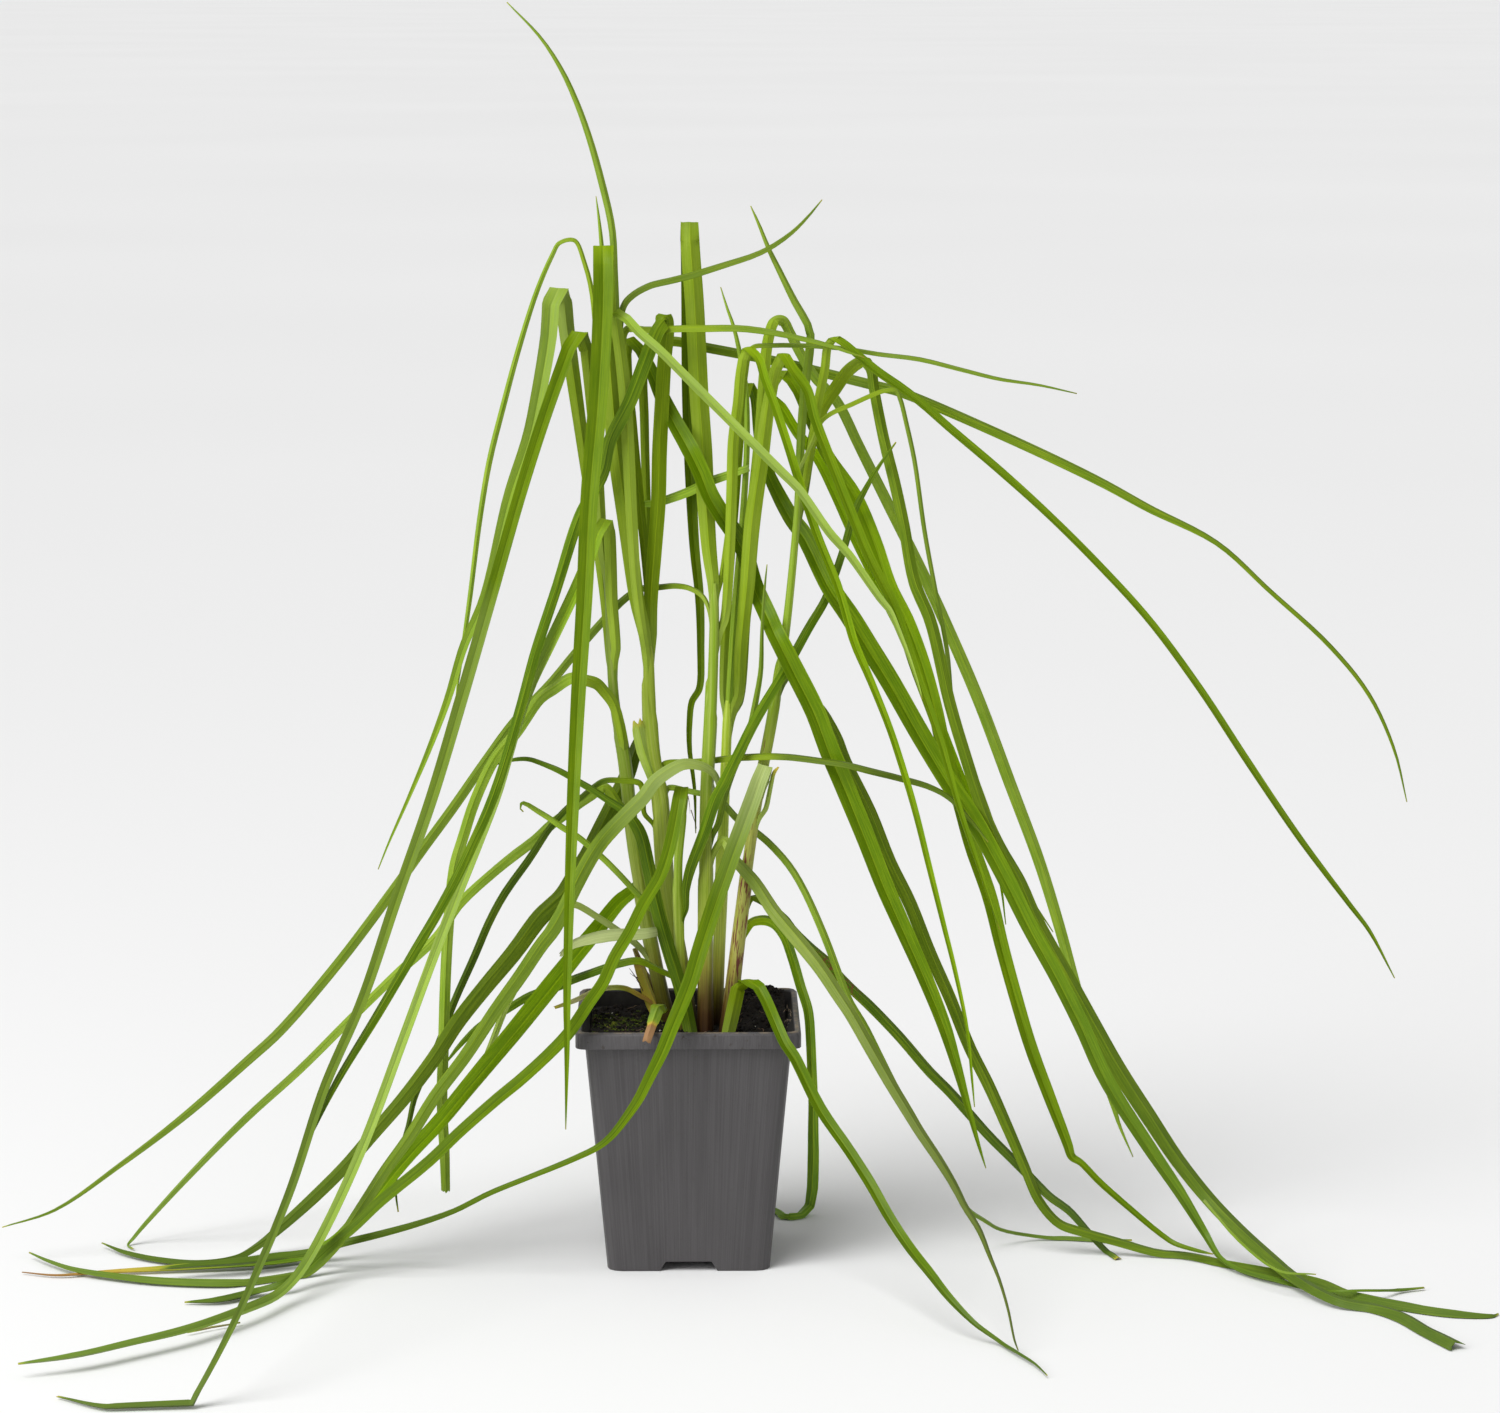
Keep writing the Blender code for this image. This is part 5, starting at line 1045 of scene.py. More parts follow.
def blade_group():
    """A sedge blade's colour, roughness and relief, from its veins, age, face and painted light and shade.
    """
    tree, enter, leave = new_group(
        "sedge_blade",
        {"Upper": "colour", "Under": "colour", "Shade": "colour", "Vein Strength": "value",
         "Tone And Painted Light": "value"},
        {"Colour": "colour", "Roughness": "value", "Height": "value"})
    strand = add_mark(tree, "strand_place", "Vector")
    marks = add_split(tree, add_mark(tree, "growth", "Vector"))
    upper = add_mark(tree, "upper_face")
    fibres = add_group(tree, PARALLEL_FIBRES,
                       {"Strand Place": strand, "Fine Scale": 5000.0, "Broad Scale": 2400.0})
    fine, bands, clouds = fibres["Fibres"], fibres["Bands"], fibres["Clouds"]
    strength, shade = enter["Vein Strength"], enter["Shade"]
    colour = add_blend(tree, upper, enter["Under"], enter["Upper"])
    colour = add_blend(tree, add_range(tree, clouds, 0.36, 0.7, 0.0, 0.45), colour, shade)
    dark = add_product(tree, add_range(tree, bands, 0.44, 0.60), strength)
    colour = add_blend(tree, dark, colour, shade)
    veins = add_product(tree, add_range(tree, fine, 0.50, 0.62), strength)
    colour = add_blend(tree, add_product(tree, veins, 0.75), colour, VEIN_GREEN)
    grooves = add_product(tree, add_range(tree, fine, 0.47, 0.38), strength)
    colour = add_blend(tree, add_product(tree, grooves, 0.6), colour, shade)
    from_rib = add_sum(tree, "ABSOLUTE", marks["X"])
    # Painted highlight along the midrib, and a thin painted shadow on one side of it.
    colour = add_blend(tree, add_range(tree, from_rib, 0.02, 0.09, 0.45, 0.0), colour, RIB_HIGHLIGHT_GREEN)
    rib_side_shadow = add_sum(tree, "ABSOLUTE", add_sum(tree, "SUBTRACT", marks["X"], 0.13))
    colour = add_blend(tree, add_range(tree, rib_side_shadow, 0.02, 0.07, 0.45, 0.0), colour, shade)
    colour = add_blend(tree, add_range(tree, from_rib, 0.88, 1.0, 0.0, 0.35), colour, MARGIN_GREEN)
    # Painted light: the rising part of a bent leaf, before its highest point, is tinted a lighter
    # yellow-green.
    fresh = add_product(tree, add_mark(tree, "fresh_part"), RISING_LIGHT_TINT)
    colour = add_blend(tree, fresh, colour, RISING_LIGHT_GREEN)
    # Painted shade: the far part of a leaf that lies on the floor is darkened towards a dull blue-green.
    far = add_product(tree, add_mark(tree, "far_out"), FAR_SHADE_STRENGTH)
    colour = add_blend(tree, far, colour, FAR_SHADE_GREEN)
    # Part tone, part painted light and shade: the colour is scaled by each leaf's factor, darker where a
    # leaf hangs in shade, lighter where it is hidden from the lamps.
    colour = add_tone(tree, colour, enter["Tone And Painted Light"])
    # Paler colour: real at a leaf's base, a painted sheen on its bends and turned-over arches.
    pale_and_sheen = add_product(tree, marks["Z"], add_range(tree, bands, 0.4, 0.6, 0.75, 1.15))
    colour = add_blend(tree, pale_and_sheen, colour, PALE_AND_SHEEN_GREEN)
    spots = add_patches(tree, strand, 700.0, 0.50, 0.56)
    spots = add_product(tree, add_mark(tree, "spotted"), spots)
    colour = add_blend(tree, spots, colour, SPOT_BROWN)
    flecks = add_patches(tree, strand, 420.0, 0.64, 0.70)
    age = add_sum(tree, "MULTIPLY_ADD", flecks, 0.25, marks["Y"])
    age = add_product(tree, age, add_range(tree, marks["Y"], 0.0, 0.12))
    age = add_sum(tree, "MULTIPLY_ADD", add_sum(tree, "SUBTRACT", bands, 0.5), 0.5, age)
    age = add_product(tree, age, add_range(tree, marks["Y"], 0.0, 0.05))
    dry = add_ramp(tree, age, [(0.15, (0.30, 0.36, 0.03)), (0.42, (0.50, 0.38, 0.05)),
                               (0.66, (0.34, 0.18, 0.05)), (0.92, (0.30, 0.17, 0.08))])
    colour = add_blend(tree, add_range(tree, age, 0.04, 0.3), colour, dry)
    link_value(tree, leave["Colour"], colour)
    gloss = add_range(tree, clouds, 0.3, 0.7, 0.30, 0.42)
    rough = add_sum(tree, "ADD", gloss, add_range(tree, upper, 0.0, 1.0, 0.12, 0.0))
    rough = add_sum(tree, "MULTIPLY_ADD", marks["Y"], 0.35, rough)
    link_value(tree, leave["Roughness"], rough)
    link_value(tree, leave["Height"], add_sum(tree, "MULTIPLY_ADD", bands, 0.7, fine))
    return tree


SEDGE_BLADE = blade_group()


def blade_material(name, upper, under, shade, veins=0.42):
    """One green of the plant's leaves."""
    material, tree, shader = new_material(name, Specular_IOR_Level=0.12)
    look = add_group(tree, SEDGE_BLADE, {"Upper": upper, "Under": under, "Shade": shade,
                                         "Vein Strength": veins, "Tone And Painted Light": add_mark(tree, "tone")})
    finish_surface(tree, shader, look["Colour"], look["Roughness"], look["Height"], STRAND_RELIEF)
    return material


BRIGHT = blade_material("leaf_bright", (0.225, 0.37, 0.0), (0.26, 0.375, 0.045), (0.11, 0.225, 0.0))
OLIVE = blade_material("leaf_olive", (0.15, 0.27, 0.0), (0.16, 0.25, 0.01), (0.08, 0.165, 0.0))
DARK = blade_material("leaf_dark", (0.105, 0.22, 0.0), (0.11, 0.2, 0.006), (0.05, 0.125, 0.0))
DULL = blade_material("leaf_dull", (0.18, 0.31, 0.004), (0.2, 0.3, 0.035), (0.105, 0.2, 0.002))
PALE = blade_material("leaf_pale", (0.31, 0.43, 0.04), (0.36, 0.46, 0.11), (0.19, 0.31, 0.01))
STRAW = blade_material("leaf_straw", (0.34, 0.33, 0.12), (0.38, 0.34, 0.18), (0.2, 0.17, 0.07))
LEAF_SLOTS = {BRIGHT: "leaf_bright", OLIVE: "leaf_olive", DARK: "leaf_dark", DULL: "leaf_dull",
              PALE: "leaf_pale", STRAW: "leaf_straw"}


def fold_strengths(samples):
    """How tightly the blade folds back at each sample: 0 where it runs on, 1 at a crease."""
    gone = [0.0]
    for a, b in zip(samples, samples[1:]):
        gone.append(gone[-1] + (b[0] - a[0]).length)
    strengths = []
    low = high = 0
    for i in range(len(samples)):
        while gone[i] - gone[low] > FOLD_WINDOW:
            low += 1
        while high < len(samples) - 1 and gone[high] - gone[i] < FOLD_WINDOW:
            high += 1
        turned = 0.0
        if low < i < high:
            rising = samples[i][0] - samples[low][0]
            falling = samples[high][0] - samples[i][0]
            turned = rising.angle(falling, 0.0)
        strengths.append(eased(turned, *FOLD_ANGLES))
    return strengths


def draw_in_fold(samples, reach, top=None):
    """Draw a leaf's bend, its highest or the one at a sample, in to a sharp crease."""
    if top is None:
        top = max(range(len(samples)), key=lambda i: samples[i][0].z)
    peak = samples[top][0]
    low = top
    while low > 0 and (samples[low][0] - peak).length < reach:
        low -= 1
    high = top
    while high < len(samples) - 1 and (samples[high][0] - peak).length < reach:
        high += 1
    straight = list(samples)
    for i in range(low + 1, high):
        end = low if i < top else high
        share = (i - end) / (top - end)
        straight[i] = (samples[end][0].lerp(peak, share), samples[i][1], samples[i][2])
    sight = (peak - EYE).normalized()
    rising, falling = (peak - samples[low][0]), (samples[high][0] - peak)
    rising = (rising - sight * rising.dot(sight)).normalized()
    falling = (falling - sight * falling.dot(sight)).normalized()
    return straight, top, (rising, falling)


def crease_frame(sample, before, side, crease, shift):
    """The frame of a blade at its crease, which runs between its rising and its falling part."""
    rising, falling = crease
    outward = (rising - falling).normalized()
    across = outward.cross((sample[0] - EYE).normalized()).normalized()
    slant = max(across.cross(rising).length, LEAST_SLANT)
    if across.dot(side) < 0:
        across = -across
    face = -outward if shift.dot(before[4]) > 0 else outward
    return sample[0], sample[1] / slant, face.cross(across), across, face


def blade_frames(samples, creases):
    """The place, width, tangent, side and face along a blade, turned to show the width drawn."""
    frames = []
    side = None
    final = len(samples) - 1
    widest = max(width for _, width, _ in samples)
    folds = fold_strengths(samples)
    for i, (place, width, laid) in enumerate(samples):
        if i in creases:
            shift = samples[min(i + FOLD_SIDES, final)][0] - samples[max(i - FOLD_SIDES, 0)][0]
            frames.append(crease_frame(samples[i], frames[-1], side, creases[i], shift))
            side = frames[-1][3]
            continue
        before = samples[max(i - 1, 0)][0]
        after = samples[min(i + 1, final)][0]
        tangent = (after - before).normalized()
        sight = (place - EYE).normalized()
        facing = tangent.cross(sight)
        if side is None:
            side = facing.normalized()
        if facing.dot(side) < 0:
            facing = -facing
        side = facing + side * (SIDE_CARRY + FOLD_CARRY * folds[i])
        side = (side - tangent * side.dot(tangent)).normalized()
        flat = tangent.cross(UPWARD).normalized()
        hidden_share = max(abs(flat.dot(side)), 1 / FLATTEST, min(width / widest, 1.0))
        lean = math.atan(UPWARD_LEAN * abs(side.z)) * (1 - laid) + math.acos(hidden_share) * laid
        toward = side.cross(tangent)
        if toward.dot(sight) > 0:
            toward = -toward
        toward = toward * math.cos(lean) + side * math.copysign(math.sin(lean), side.z)
        leaned = tangent.cross(toward).normalized()
        if leaned.dot(side) < 0:
            leaned = -leaned
        frames.append((place, width / math.cos(lean), tangent, leaned, leaned.cross(tangent)))
    return frames


def bend_at(frames, i):
    """The curve's bend at one sample, as a vector of length one over its radius."""
    a = frames[max(i - 2, 0)]
    b = frames[min(i + 2, len(frames) - 1)]
    return (b[2] - a[2]) / max((b[0] - a[0]).length, BEND_LEAST)


def chosen_stations(frames, creases):
    """Samples far enough apart, or turned enough, to hold the blade's shape."""
    chosen = [0]
    clear = {}
    for top, (rising, _) in creases.items():
        clear[top] = frames[top][1] / 2 * abs(frames[top][3].dot(rising)) + CREASE_CLEAR
    for i in range(1, len(frames) - 1):
        last = frames[chosen[-1]]
        if i in creases:
            chosen.append(i)
            continue
        if any((frames[i][0] - frames[top][0]).length < gap for top, gap in clear.items()):
            continue
        turned = last[2].angle(frames[i][2], 0.0) + last[3].angle(frames[i][3], 0.0) * 0.5
        gone = (frames[i][0] - last[0]).length
        if turned > BLADE_ANGLE or gone > BLADE_STEP or chosen[-1] in creases:
            chosen.append(i)
    chosen.append(len(frames) - 1)
    return chosen


def blade_section(frames, i, gone, seed, keeled, shrunk):
    """One ring of a blade: its upper face from margin to margin, and its under face back again."""
    place, width, _, side, face = frames[i]
    bend = bend_at(frames, i)
    sideways = abs(bend.dot(side))
    facewise = abs(bend.dot(face))
    half = width / 2 * shrunk
    if sideways > 0:
        half = min(half, BEND_SHARE / sideways)
    half = max(half, BLADE_LEAST)
    keel = half * 2 * keeled
    thick = min(BLADE_THICKNESS, TIP_THICKNESS + half * 0.5)
    if facewise > 0:
        keel = min(keel, KEEL_BEND_SHARE / facewise)
        thick = min(thick, KEEL_BEND_SHARE * 2 / facewise)
    keel = max(keel, KEEL_LEAST)
    upper, under = [], []
    for u in BLADE_COLUMNS:
        ripple = noise.noise(Vector((gone * 26, 3.0 * u, seed))) * RIPPLE * half * abs(u)
        lift = (thick * 0.2 + keel) * abs(u) ** KEEL_CURVE + ripple
        slim = thick * THIN_SHARE * (0.42 + 0.58 * (1 - abs(u)) ** 1.4)
        middle = place + side * (half * u) + face * lift
        upper.append(middle + face * (slim / 2))
        under.append(middle - face * (slim / 2))
    return upper + under[::-1], half


def lift_clear(section):
    """Raise a section of a blade that would dip into the ground."""
    dip = GROUND_GAP - min(corner.z for corner in section)
    if dip > 0:
        for corner in section:
            corner.z += dip


def sheath_root(rows, root):
    """Rows that carry a leaf's foot down into the shoot that it grows from."""
    foot = rows[0][0]
    near = None
    for path in SHOOT_PATHS:
        for i, point in enumerate(path):
            gap = (point - foot).length
            if near is None or gap < near[0]:
                near = (gap, path, i)
    gap, path, i = near
    down = int(SHEATH_DEPTH * MM / SHOOT_STEP)
    if gap > SHEATH_NEAR or foot.z < SOIL_LEVEL + CLEAR_OF_SOIL or i < down:
        back = (foot - rows[1][0]).normalized() * root * MM
        return [(foot + back, rows[0][1] * ROOT_WIDTH, 0.0)]
    places = (path[i - down], path[i - down // 2].lerp(foot, 0.45))
    return [(place, rows[0][1] * share, 0.0) for place, share in zip(places, SHEATHED_WIDTHS)]


def row_sample(samples, row, rest):
    """The sample that stands at one row of the route."""
    place = seen(*row[:3], rest)
    return min(range(len(samples)), key=lambda i: (samples[i][0] - place).length)


def blade_mesh(name, sections, creases, material):
    """The closed surface of a blade, sharp at its margins, its midrib and its creases."""
    vertices, faces = loft(sections, False)
    last = (len(sections) - 1) * BLADE_RING
    for k in range(len(BLADE_COLUMNS) - 1):
        cap = (k, k + 1, BLADE_RING - 2 - k, BLADE_RING - 1 - k)
        faces.append(tuple(reversed(cap)))
        faces.append(tuple(last + corner for corner in cap))
    mesh = bpy.data.meshes.new(name)
    mesh.from_pydata(vertices, [], faces)
    mesh.materials.append(material)
    mesh.shade_smooth()
    for edge in mesh.edges:
        a, b = (corner % BLADE_RING for corner in edge.vertices)
        edge.use_edge_sharp = a == b and a in SHARP_COLUMNS
        a, b = (corner // BLADE_RING for corner in edge.vertices)
        if a == b and a in creases:
            edge.use_edge_sharp = True
    return mesh


def leaf(name, route, rest=REST_HEIGHT, green=BRIGHT, dry=((0, 0), (1, 0)),
         pale=((0, 0.25), (0.08, 0), (1, 0)), turned=False, ragged=0.0, keeled=KEEL_SHARE,
         root=ROOT_REACH, creased=None, kinks=(), shrivel=0.0, tone=1.0, spots=((0, 0), (1, 0)),
         loose=False):
    """One leaf: a long keeled blade along its own route, from its shoot to its tip."""
    rows = [(seen(across, up, near, rest), width * MM, float(near is LAID))
            for across, up, near, width in route]
    lies = any(laid for _, _, laid in rows)
    if root:
        rows = sheath_root(rows, root) + rows
    samples, creases = smooth_route(rows), {}
    if creased:
        samples, top, directions = draw_in_fold(samples, creased * MM)
        creases[top] = directions
    for row, reach in kinks:
        samples = draw_in_fold(samples, reach * MM, row_sample(samples, route[row], rest))[0]
    frames = blade_frames(samples, creases)
    stations = chosen_stations(frames, creases)
    seed = sum(ord(letter) * (k + 3) for k, letter in enumerate(name)) % 997 * 0.37
    steps = [(frames[b][0] - frames[a][0]).length for a, b in zip(stations, stations[1:])]
    length = sum(steps)
    folded = [stations.index(top) for top in creases]
    fold_places = [sum(steps[:number]) for number in folded]
    highest = max(range(len(stations)), key=lambda number: frames[stations[number]][0].z)
    top_share = sum(steps[:highest]) / length
    columns = BLADE_COLUMNS + BLADE_COLUMNS[::-1]
    gone = 0.0
    sections, strand, growth = [], [], []
    upper, tones, far_out, fresh_part, spotted = [], [], [], [], []
    for number, i in enumerate(stations):
        if number:
            gone += steps[number - 1]
        share = gone / length
        gaps = (eased(abs(gone - fold), 0.0, CREASE_OPENS) for fold in fold_places)
        opened = min(gaps, default=1.0)
        shrunk = 1 - shrivel * eased(along_stops(dry, share), 0.0, SHRUNK_FROM)
        section, half = blade_section(frames, i, gone, seed, keeled * opened, shrunk)
        if ragged and number == len(stations) - 1:
            for k, point in enumerate(section):
                u = min(k, BLADE_RING - 1 - k)
                torn = noise.noise(Vector((u * 1.7, seed, 4.0)))
                point += frames[i][2] * (ragged * MM * torn)
        lift_clear(section)
        sections.append(section)
        tip = 0 if ragged else TIP_DRYNESS * max(0.0, 1 - (length - gone) / DRY_TIP) ** 2
        dryness = max(along_stops(dry, share), tip)
        # The tone along the leaf, part real colour and part painted light and shade.
        toned = along_stops(tone, share) if isinstance(tone, tuple) else tone
        # Painted light on the rising part of a bent leaf: its tone is lifted towards full and it is tinted
        # lighter.
        fresh = 0.0
        if BENT_BETWEEN[0] < top_share < BENT_BETWEEN[1]:
            rising_light_ends = [top_share + away for away in RISING_LIGHT_ENDS]
            fresh = RISING_LIGHT_STRENGTH * (1 - eased(share, *rising_light_ends))
        for k, u in enumerate(columns):
            strand.append((half * u, gone, seed))
            # The third value is how pale the blade is here: real at its base, a painted sheen where it
            # bends over.
            growth.append((u, dryness, along_stops(pale, share)))
            upper.append(float((k < len(BLADE_COLUMNS)) != turned))
        tones += [toned + fresh * max(0.0, RISING_LIGHT_TONE - toned)] * BLADE_RING
        # Painted shade towards the tip, only on leaves that lie on the floor.
        far_out += [eased(share, FAR_SHADE_FROM, 1.0) * lies] * BLADE_RING
        fresh_part += [fresh] * BLADE_RING
        spotted += [along_stops(spots, share)] * BLADE_RING
    mesh = blade_mesh(name if loose else name.replace("leaf_", "blade_"), sections, folded, green)
    set_strand_marks(mesh, strand, growth, upper_face=upper, tone=tones, far_out=far_out,
                     fresh_part=fresh_part, spotted=spotted)
    keep(add_object(mesh.name, mesh), LEAF_SLOTS[green], *([] if loose else [name]))


leaf("leaf_tall_upright", [
    (-17.5, 256, -1, 3), (-21, 275, -1, 3.6), (-25, 305, -1, 3.4), (-27.5, 340, -1, 3), (-28, 370, 0, 3),
    (-29, 400, 1, 2.8), (-30, 418, 1, 2.8), (-34.5, 438, 0, 2.8), (-39, 454, 0, 2.5), (-44, 468, -1, 2.2),
    (-50, 481, -2, 1.8), (-58.5, 494, -3, 1.2), (-72, 508, -5, 0.4)], tone=0.84)
leaf("leaf_long_hanging", [
    (-17, 256, 3.5, 5), (-20, 270, 3, 6), (-24, 300, 3, 7), (-28, 330, 3, 7.6), (-31, 365, 3, 8),
    (-33, 395, 3, 8), (-33.5, 408, 4, 8), (-33.5, 410.5, 7.5, 8), (-33.5, 408, 11, 8),
    (-33.5, 400, 13, 8), (-33.5, 389, 14, 8), (-35.5, 349, 16, 7.6), (-39, 309, 19, 7),
    (-41, 269, 22, 6.4), (-43.5, 229, 27, 5.8), (-45.5, 189, 35, 5), (-47, 149, 44, 4), (-48, 109, 53, 3),
    (-48, 89, 56, 2.2), (-48.5, 57, 60, 0.4)], creased=8, tone=0.62)
leaf("leaf_wiry_arch", [
    (-34, 290, -11, 2), (-35, 333, -12, 2), (-36, 365, -12, 2), (-38, 392, -12, 2), (-41, 404, -12, 1.8),
    (-45, 413, -12, 1.6), (-51, 412, -12, 1.6), (-54, 407, -13, 1.8), (-60, 393, -14, 2),
    (-67, 371, -15, 2.2), (-73.5, 347, -17, 2.4), (-79, 325, -19, 2.4), (-83, 301, -21, 2.2),
    (-87, 269, -24, 2), (-91, 241, -26, 1.4), (-92.5, 229, -27, 0.4)])
leaf("leaf_left_folded_high", [
    (-31, 246, -12.5, 3), (-33, 269, -14, 3.4), (-36, 293, -16, 4), (-39, 313, -17, 4.4),
    (-43.5, 345, -17, 5.4), (-48, 377, -16, 6.4), (-49.5, 390, -13.5, 6.8), (-51, 393.5, -10, 7),
    (-53.5, 391, -7, 7), (-55.5, 372, -4, 6.6), (-59.5, 349, -2, 6), (-63, 333, 0, 5.6), (-71, 309, 3, 5),
    (-81, 269, 8, 3.8), (-89.5, 249, 11, 3.4), (-95.5, 229, 14, 3), (-103, 209, 18, 2.2),
    (-111.5, 189, 22, 1.4), (-119.5, 171, 26, 0.8), (-123.5, 161, 28, 0.4)],
    creased=8, tone=0.84, pale=((0, 0.2), (0.1, 0), (0.34, 0), (0.36, 0.22), (1, 0.05)))
leaf("leaf_left_folded_long", [
    (-33.5, 288, -8, 4), (-36, 325, -9, 4.6), (-38, 349, -9, 5), (-39.5, 365, -8, 5.4),
    (-40.5, 373.5, -6, 5.6), (-42.5, 376, -3, 5.6), (-45, 374.5, 0, 5.6), (-48.5, 365, 3, 5.4),
    (-57, 341, 7, 5.2), (-66.5, 311, 12, 5), (-78.5, 269, 20, 5), (-90, 229, 30, 5), (-102, 189, 44, 4.8),
    (-116, 149, 63, 4.4), (-129.5, 109, 90, 4), (-145, 73, 122, 3.6), (-159, 31, 165, 3.2),
    (-174, -5, 200, 2.8), (-188, -35, 228, 2.2), (-197.5, -53.5, LAID, 1.8), (-229, -55, LAID, 1.4),
    (-252, -50, LAID, 0.4)],
    creased=9, tone=0.54, pale=((0, 0.2), (0.1, 0), (0.34, 0), (0.36, 0.12), (1, 0.05)),
    kinks=((-3, 30),))
leaf("leaf_dark_looped", [
    (-14.5, 255, -1.5, 5), (-14.5, 269, -2, 5.6), (-13, 289, -3, 5.8), (-11.5, 309, -3.5, 6),
    (-11, 329, -4, 6), (-10, 349, -4, 5.8), (-9, 366, -4, 5.6), (-8, 377, -3, 5.6), (-8.5, 381, 0.5, 5.6),
    (-11.5, 378, 5, 5.6), (-15, 370, 8, 5.6), (-18, 362, 9, 5.6), (-23, 349, 10.5, 5.4),
    (-31, 333, 10.5, 5.2), (-34, 320, 10, 5), (-43, 303, 9, 4.6), (-52, 275, 10, 4.2),
    (-60.5, 249, 13, 4.2), (-67, 225, 18, 4), (-77.5, 191, 28, 4), (-91, 161, 44, 4), (-99.5, 145, 54, 4),
    (-109, 129, 68, 3.8), (-123, 105, 88, 3.4), (-141, 75, 118, 2.6), (-151.5, 53, 140, 1)],
    green=DARK, tone=0.9)
leaf("leaf_left_light", [
    (-28.5, 250, -3, 4), (-30, 269, -2, 4.8), (-30.5, 285, -1, 4.8), (-31, 296, 0, 4.8),
    (-32, 301, 2, 4.8), (-34, 299, 5, 4.8), (-39, 285, 5, 4.8), (-45, 271, 5, 4.8), (-55.5, 249, 7, 4.8),
    (-63, 233, 10, 4.6), (-69, 215, 13, 4.4), (-76, 191, 17, 4.4), (-83.5, 171, 20, 4.2),
    (-91.5, 151, 24, 4.2), (-103, 121, 29, 4), (-114, 91, 33, 4), (-129, 51, 36, 4), (-143.5, 19, 48, 4),
    (-155, -1, 74, 3.8), (-162.5, -9, LAID, 3.6), (-175, -15, LAID, 3.6), (-199, -23.5, LAID, 3.2),
    (-223, -29.5, LAID, 2.4), (-245, -34.3, LAID, 1.6), (-267.5, -37, LAID, 0.4)],
    5.6, green=DULL, creased=6,
    pale=((0, 0.1), (0.2, 0.05), (0.3, 0.3), (0.6, 0.28), (0.8, 0.1), (1, 0.08)),
    tone=((0, 1.2), (0.6, 1.2), (0.8, 0.95), (1, 0.9)))
leaf("leaf_far_left", [
    (6, 271, 1, 2), (1, 274, -1, 2), (-5, 275, -6, 2.2), (-11, 274.5, -10, 2.4), (-17.5, 274, -14, 2.6),
    (-22, 272, -17, 2.8), (-27, 268, -19, 3), (-35.5, 259, -21, 3.2), (-45, 248, -21, 3.2),
    (-54, 237, -21, 3.4), (-69, 221, -20, 3.6), (-80, 206, -20, 3.8), (-94, 186, -18, 4),
    (-105, 171, -16, 4), (-115, 157, -14, 4), (-139, 125, -8, 4), (-163, 97, -2, 4), (-175, 86, 0, 3.8),
    (-201, 63, 4, 3), (-227, 43, 8, 2), (-253, 25, 12, 1.2), (-274, 18, 14, 0.4)], green=DULL, tone=0.76)
leaf("leaf_left_blunt", [
    (-25.5, 213, -4, 4), (-29, 227, -3, 4.2), (-33, 233, -1, 4.4), (-36, 236, 2, 4.4),
    (-40, 237.5, 5, 4.4), (-46, 238.5, 8, 4.4), (-53.5, 234, 4, 4.4), (-59, 230, 3, 4.4),
    (-68, 217, 4, 4.4), (-77, 206, 7, 4.4), (-85, 189, 9, 4.4), (-89.5, 175, 10, 4.4),
    (-93, 163, 10, 4.4), (-95, 145, 9, 4.4), (-96.5, 121, 8, 4.4), (-97.5, 89, 5, 4.4), (-98, 69, 4, 4.4),
    (-97, 49, 3, 4.2), (-96.5, 32, 2, 3.6)], ragged=1.5)
leaf("leaf_low_dark", [
    (1, 99, 15, 5.6), (-2, 113, 15, 5.6), (-7, 129, 15, 5.6), (-12, 147, 15, 5.6), (-15, 161, 14, 5.4),
    (-19, 177, 13, 5), (-25, 185, 12, 3.4), (-31, 189, 11, 2.8), (-37, 193, 10, 2.8),
    (-43, 196.5, 9, 2.6), (-51, 201, 9, 2.4), (-57, 203.5, 8, 2), (-63, 205.5, 8, 1.8),
    (-68, 205.5, 7, 1.6), (-79, 202.5, 6, 0.4)], green=DARK, tone=0.78)
leaf("leaf_low_wiry", [
    (-17, 184, 5, 2), (-17.5, 192, 6, 2.2), (-19, 196, 6, 2.4), (-25, 197, 5, 2.2), (-33, 197, 4, 2.2),
    (-38, 194, 3, 2.2), (-41.5, 191, 3, 2.2), (-48, 186, 3, 2.4), (-55, 178, 3, 2.6), (-63, 166, 2, 3),
    (-73, 152, 1, 3.2), (-79, 141, 0, 3.2), (-85, 127, -2, 3.2), (-93, 109, -4, 3), (-99, 93, -6, 2.8),
    (-104, 82, -7, 2.6), (-109, 70, -8, 2.4), (-111.5, 59, -9, 2), (-115, 47, -10, 1.6),
    (-116.5, 33, -11, 1), (-115.5, 24, -11, 0.6)], green=DARK, tone=0.52)
leaf("leaf_left_low", [
    (-27.5, 188, -3, 3.4), (-33, 194.5, -3, 4), (-39, 191, -3, 4), (-43.5, 188, -3, 4),
    (-48.5, 184, -4, 4), (-54, 180, -5, 4), (-61, 173.5, -6, 4), (-69, 167.5, -7, 4), (-77, 161, -8, 3.8),
    (-91, 148, -9, 3.8), (-100, 135, -9, 3.8), (-115, 121, -9, 3.6), (-135, 101.5, -9, 3.4),
    (-155, 81.5, -9, 3.2), (-177, 61.5, -9, 3), (-201, 37, -10, 2.4), (-219, 17, -12, 1.6),
    (-223.5, 11.5, LAID, 1), (-221.5, 9.5, LAID, 0.5)], 1.2)
